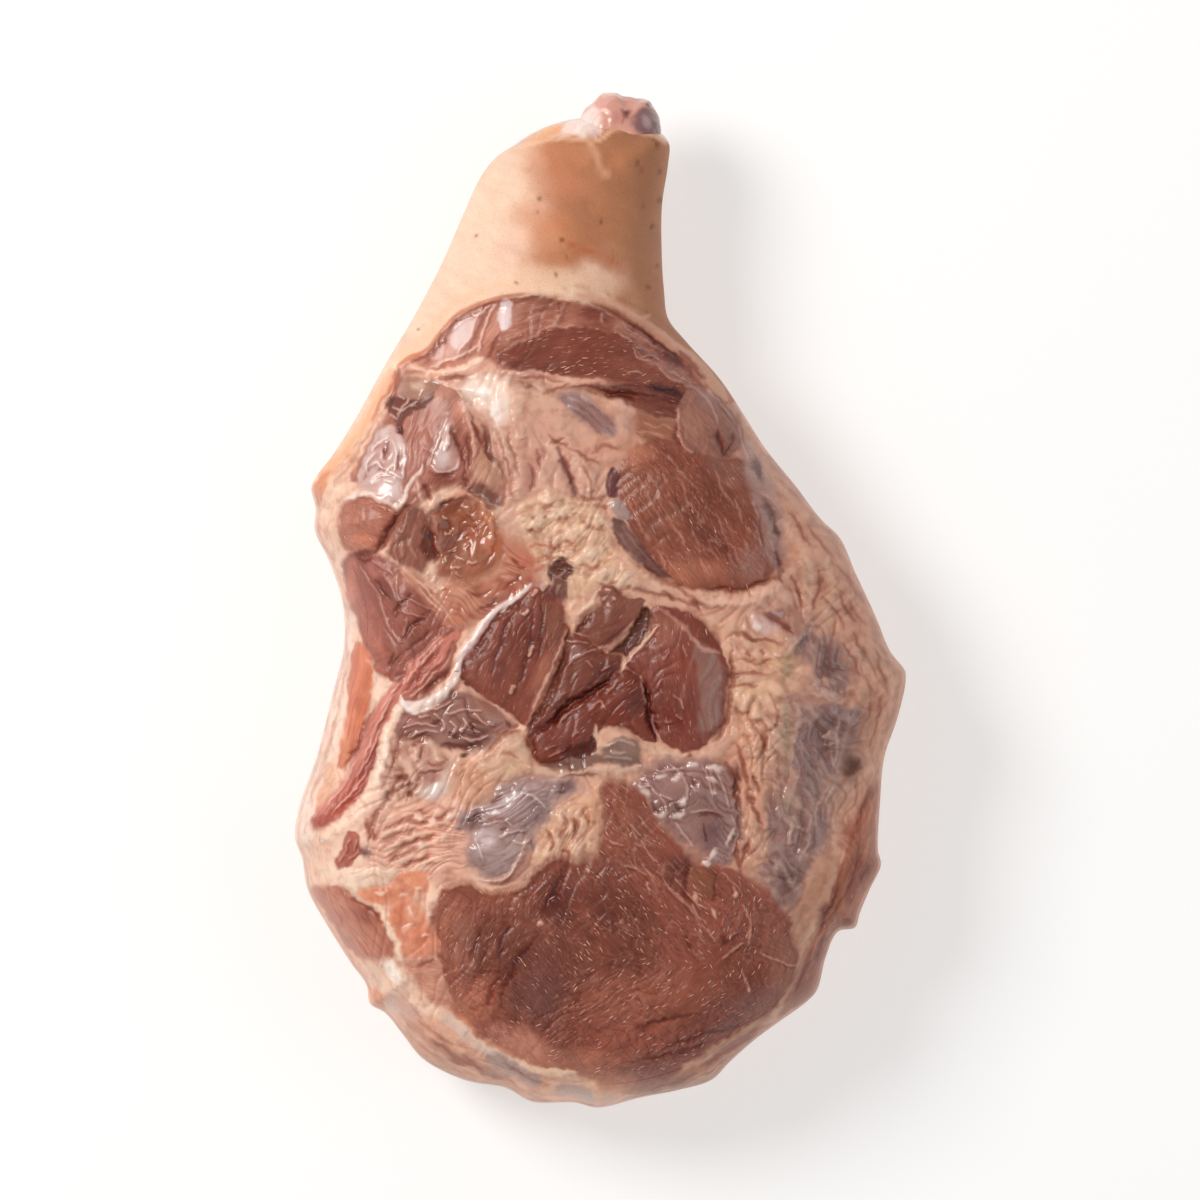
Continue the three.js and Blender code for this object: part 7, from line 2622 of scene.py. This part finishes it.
def make_rind():
    """The rounded side up to the cut face, the lip that hides its edge, and the underside."""
    length = np.hypot(*(face_rim - rim).T)
    rounding = side_value(LEFT_ROUNDING, RIGHT_ROUNDING, rim[:, 0], rim[:, 1]) * MILLIMETRE / UNIT
    rise = (table_value(TOP_LINE, rim[:, 1]) - edge_level(rim[:, 0], rim[:, 1])) * MILLIMETRE / UNIT
    shares = side_shares(length, rounding, rise)
    side = rim[:, None, :] + (face_rim - rim)[:, None, :] * shares[:, :, None]
    lip_way = (spine - rim) / np.hypot(*(spine - rim).T)[:, None]
    lip = face_rim[:, None, :] + lip_way[:, None, :] * np.array([step for step, drop in LIP])[None, :, None]
    top = np.concatenate([side, lip[:, 1:]], 1)
    top_rows = top.shape[1]
    px, py = top.reshape(-1, 2).T
    surface = laid(px, py)
    lay_side(surface, top_rounded(px, py))
    lip_points = np.arange(len(px)).reshape(COLUMNS, top_rows)[:, SIDE_ROWS:].ravel()
    surface.tint(lip_points, np.full(len(lip_points), LIP_COVER), LIP_COLOUR)
    relief = surface.relief + cut_relief(px, py, 0.0)
    height = top_height(px, py, relief).reshape(COLUMNS, top_rows)
    drops = np.array([drop for step, drop in LIP[1:]]) * MILLIMETRE
    height[:, SIDE_ROWS:] = height[:, SIDE_ROWS - 1:SIDE_ROWS] - drops
    # The underside, from the outline inwards.
    under_rounding = table_value(UNDER_ROUNDING, rim[:, 1]) * MILLIMETRE / UNIT
    reach = np.hypot(*(spine - rim).T) * UNDER_REACH
    turn = np.linspace(0, math.pi / 2, UNDER_ROWS - len(FLAT_SHARES))[1:]
    arc = np.minimum(under_rounding, reach * UNDER_ARC_REACH)[:, None] * (1 - np.cos(turn))
    flat = arc[:, -1:] + (reach[:, None] - arc[:, -1:]) * FLAT_SHARES
    inward_steps = np.concatenate([arc, flat], 1)
    under = rim[:, None, :] + lip_way[:, None, :] * inward_steps[:, :, None]
    under_rows = under.shape[1]
    ux, uy = under.reshape(-1, 2).T
    under_surface = Surface(ux, uy)
    lay_under(under_surface)
    under_z = under_height(ux, uy).reshape(COLUMNS, under_rows)
    # The middle of the underside.
    floor_plan, floor_triangles, floor_loop = filled(under[:, -1], UNDER_SPACING)
    floor_surface = Surface(floor_plan[:, 0], floor_plan[:, 1])
    lay_under(floor_surface)
    floor_z = under_height(floor_surface.px, floor_surface.py)

    plan = np.concatenate([top.reshape(-1, 2), under.reshape(-1, 2), floor_plan])
    z = np.concatenate([height.ravel(), under_z.ravel(), floor_z])
    x, y = place(plan[:, 0], plan[:, 1])
    points = np.stack([x, y, z], 1)
    column = np.arange(COLUMNS)
    after = np.roll(column, -1)
    faces = []
    for row in range(top_rows - 1):
        a, b = column * top_rows + row, after * top_rows + row
        faces += list(zip(a, a + 1, b + 1, b))
    base = COLUMNS * top_rows
    a, b = column * top_rows, after * top_rows
    c, d = base + column * under_rows, base + after * under_rows
    faces += list(zip(a, b, d, c))
    for row in range(under_rows - 1):
        a, b = base + column * under_rows + row, base + after * under_rows + row
        faces += list(zip(a, b, b + 1, a + 1))
    # The floor's own rim points stand where the last row's are.
    floor_base = base + COLUMNS * under_rows
    shared = {floor_base + v: base + (i + 1) * under_rows - 1 for i, v in enumerate(floor_loop.tolist())}
    floor_faces = (floor_triangles + floor_base).tolist()
    faces += [tuple(shared.get(v, v) for v in face) for face in floor_faces]
    # Closed inside, out of sight under the cut face.
    inner = column * top_rows + top_rows - 1
    points = np.concatenate([points, [points[inner].mean(axis=0) - (0, 0, INNER_SAG)]])
    faces += [(a, len(points) - 1, b) for a, b in zip(inner, np.roll(inner, -1))]
    faces = [tuple(map(int, face)) for face in faces]
    whole = Surface(np.append(plan[:, 0], PLAN_MIDDLE_X), np.append(plan[:, 1], PLAN_MIDDLE_X))
    for name in ("colour", "grain", "meat", "fat", "film", "skin"):
        parts = [getattr(s, name) for s in (surface, under_surface, floor_surface)]
        joined = np.concatenate(parts)
        setattr(whole, name, np.concatenate([joined, joined[:1]]))
    made = flesh_object("rind", points.tolist(), faces, whole)
    made.data.validate()
    loose = [v for v in range(floor_base, floor_base + len(floor_plan)) if v in shared]
    builder = bmesh.new()
    builder.from_mesh(made.data)
    builder.verts.ensure_lookup_table()
    bmesh.ops.delete(builder, geom=[builder.verts[v] for v in loose], context="VERTS")
    builder.to_mesh(made.data)
    builder.free()
    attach(made, "root")
    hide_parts("shoulder_meat")


make_rind()


# ---------------------------------------------------------------- knuckle of the shank bone
# The joint end of the bone that stands out of the sleeve of rind: a pink head of cartilage, a grey
# one beside it, and a groove with clotted blood between them.

KNUCKLE_OUTLINE = [
    (584, 110), (590, 105), (597, 98), (604, 93), (612, 91.5), (622, 93), (636, 98), (649, 100),
    (653, 106), (657, 113), (660, 121), (661, 136), (661, 156), (654, 184), (638, 204), (618, 210),
    (598, 202), (584, 182), (577, 150), (579, 124),
]
KNUCKLE_MIDDLE = (619, 152)
KNUCKLE_LEVEL = 0.050  # metres from the table to its middle
KNUCKLE_HALF_HEIGHT = 0.0195
KNUCKLE_TURNS = 200
KNUCKLE_ROWS = 96


def knuckle_reach(angle):
    """Distance from the knuckle's middle to its outline in each direction."""
    ring = spline(KNUCKLE_OUTLINE, True, OUTLINE_STEPS) - KNUCKLE_MIDDLE
    directions = np.arctan2(ring[:, 1], ring[:, 0])
    order = np.argsort(directions)
    return np.interp(angle, directions[order], np.hypot(*ring.T)[order], period=2 * math.pi)


def make_knuckle():
    """A rounded head whose rings follow the knuckle's outline, with a groove worn into it."""
    turn = np.arange(KNUCKLE_TURNS) / KNUCKLE_TURNS * 2 * math.pi
    climb = np.linspace(-math.pi / 2, math.pi / 2, KNUCKLE_ROWS)[1:-1]
    angle, lift = [part.ravel() for part in np.meshgrid(turn, climb)]
    reach = knuckle_reach(angle) * np.cos(lift) ** 0.8
    px = KNUCKLE_MIDDLE[0] + reach * np.cos(angle)
    py = KNUCKLE_MIDDLE[1] + reach * np.sin(angle)
    rise = np.sign(np.sin(lift)) * np.abs(np.sin(lift)) ** 0.9
    surface = Surface(px, py)
    surface.colour[:] = srgb(206, 148, 130)
    surface.film[:] = 1
    surface.fat[:] = 0.4
    away = np.exp(-(((px - 627 - (py - 110) * 0.25) / 5.5) ** 2)) * smooth_step((136 - py) / 26)
    dent = 1.1 * away + 0.5 * noise(px + 40 * rise, py, 17, 161) + 0.25 * noise(px, py + 30 * rise, 7, 162)
    grey = [(634, 114), (645, 106), (656, 113), (662, 126), (664, 146), (644, 142), (632, 128)]
    surface.lay(grey, (122, 84, 86), soft=7, strength=0.9)
    surface.blush((647, 122), (5, 10), (178, 152, 156), 0.75, 24)
    surface.blush((654, 127), (4, 7), (110, 72, 70), 0.7, 10)
    surface.blush((622, 100), (10, 5), (198, 126, 112), 0.7, -20)
    surface.blush((594, 112), (10, 8), (226, 172, 162), 0.7, 30)
    surface.blush((617, 118), (8, 6), (190, 128, 118), 0.7, 0)
    # A painted highlight on the wet cartilage.
    surface.blush((590, 124), (6, 5), (250, 236, 230), 0.7, 20)
    surface.blush((608, 106), (12, 8), (214, 150, 138), 0.7, 20)
    # A painted highlight on the wet cartilage.
    surface.blush((606, 113), (7, 3), (246, 218, 208), 0.7, -20)
    surface.blush((612, 95), (12, 3), (236, 200, 180), 0.7, 0)
    surface.draw([(628, 96), (640, 101), (654, 103)], 4, (196, 120, 92), soft=4, strength=0.7)
    surface.lay(
        [(576, 134), (584, 112), (596, 108), (600, 124), (592, 138)], (240, 216, 208),
        soft=6, strength=0.85,
    )
    surface.draw([(586, 132), (592, 122), (600, 114)], 2, (190, 150, 160), soft=3, strength=0.5)
    surface.blush((628, 113), (4, 6), (96, 32, 34), 0.85)
    surface.blush((649, 103), (4, 4), (84, 40, 40), 0.85)
    surface.draw([(623, 108), (625, 116), (622, 124)], 2.4, (150, 62, 56), soft=3, strength=0.6)
    x, y = place(px, py)
    z = KNUCKLE_LEVEL + rise * KNUCKLE_HALF_HEIGHT
    inwards = dent * MILLIMETRE
    x -= inwards * np.cos(angle) * np.cos(lift)
    y += inwards * np.sin(angle) * np.cos(lift)
    z -= inwards * np.sin(lift)
    middle_x, middle_y = place(*KNUCKLE_MIDDLE)
    points = np.stack([x, y, z], 1).tolist()
    poles = [len(points), len(points) + 1]
    points += [(middle_x, middle_y, KNUCKLE_LEVEL + side * KNUCKLE_HALF_HEIGHT) for side in (-1, 1)]
    column = np.arange(KNUCKLE_TURNS)
    after = np.roll(column, -1)
    rows = len(climb)
    faces = []
    for row in range(rows - 1):
        a, b = row * KNUCKLE_TURNS + column, row * KNUCKLE_TURNS + after
        faces += list(zip(a, a + KNUCKLE_TURNS, b + KNUCKLE_TURNS, b))
    last = (rows - 1) * KNUCKLE_TURNS
    faces += [(poles[0], a, b) for a, b in zip(column, after)]
    faces += [(poles[1], last + b, last + a) for a, b in zip(column, after)]
    faces = [tuple(map(int, face)) for face in faces]
    whole = Surface(np.append(px, [KNUCKLE_MIDDLE[0]] * 2), np.append(py, [KNUCKLE_MIDDLE[1]] * 2))
    for name in ("colour", "meat", "fat", "film", "skin"):
        values = getattr(surface, name)
        setattr(whole, name, np.concatenate([values, values[:2]]))
    made = flesh_object("shank_knuckle", points, faces, whole)
    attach(made, "root")
    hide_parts("shank_bone")


make_knuckle()
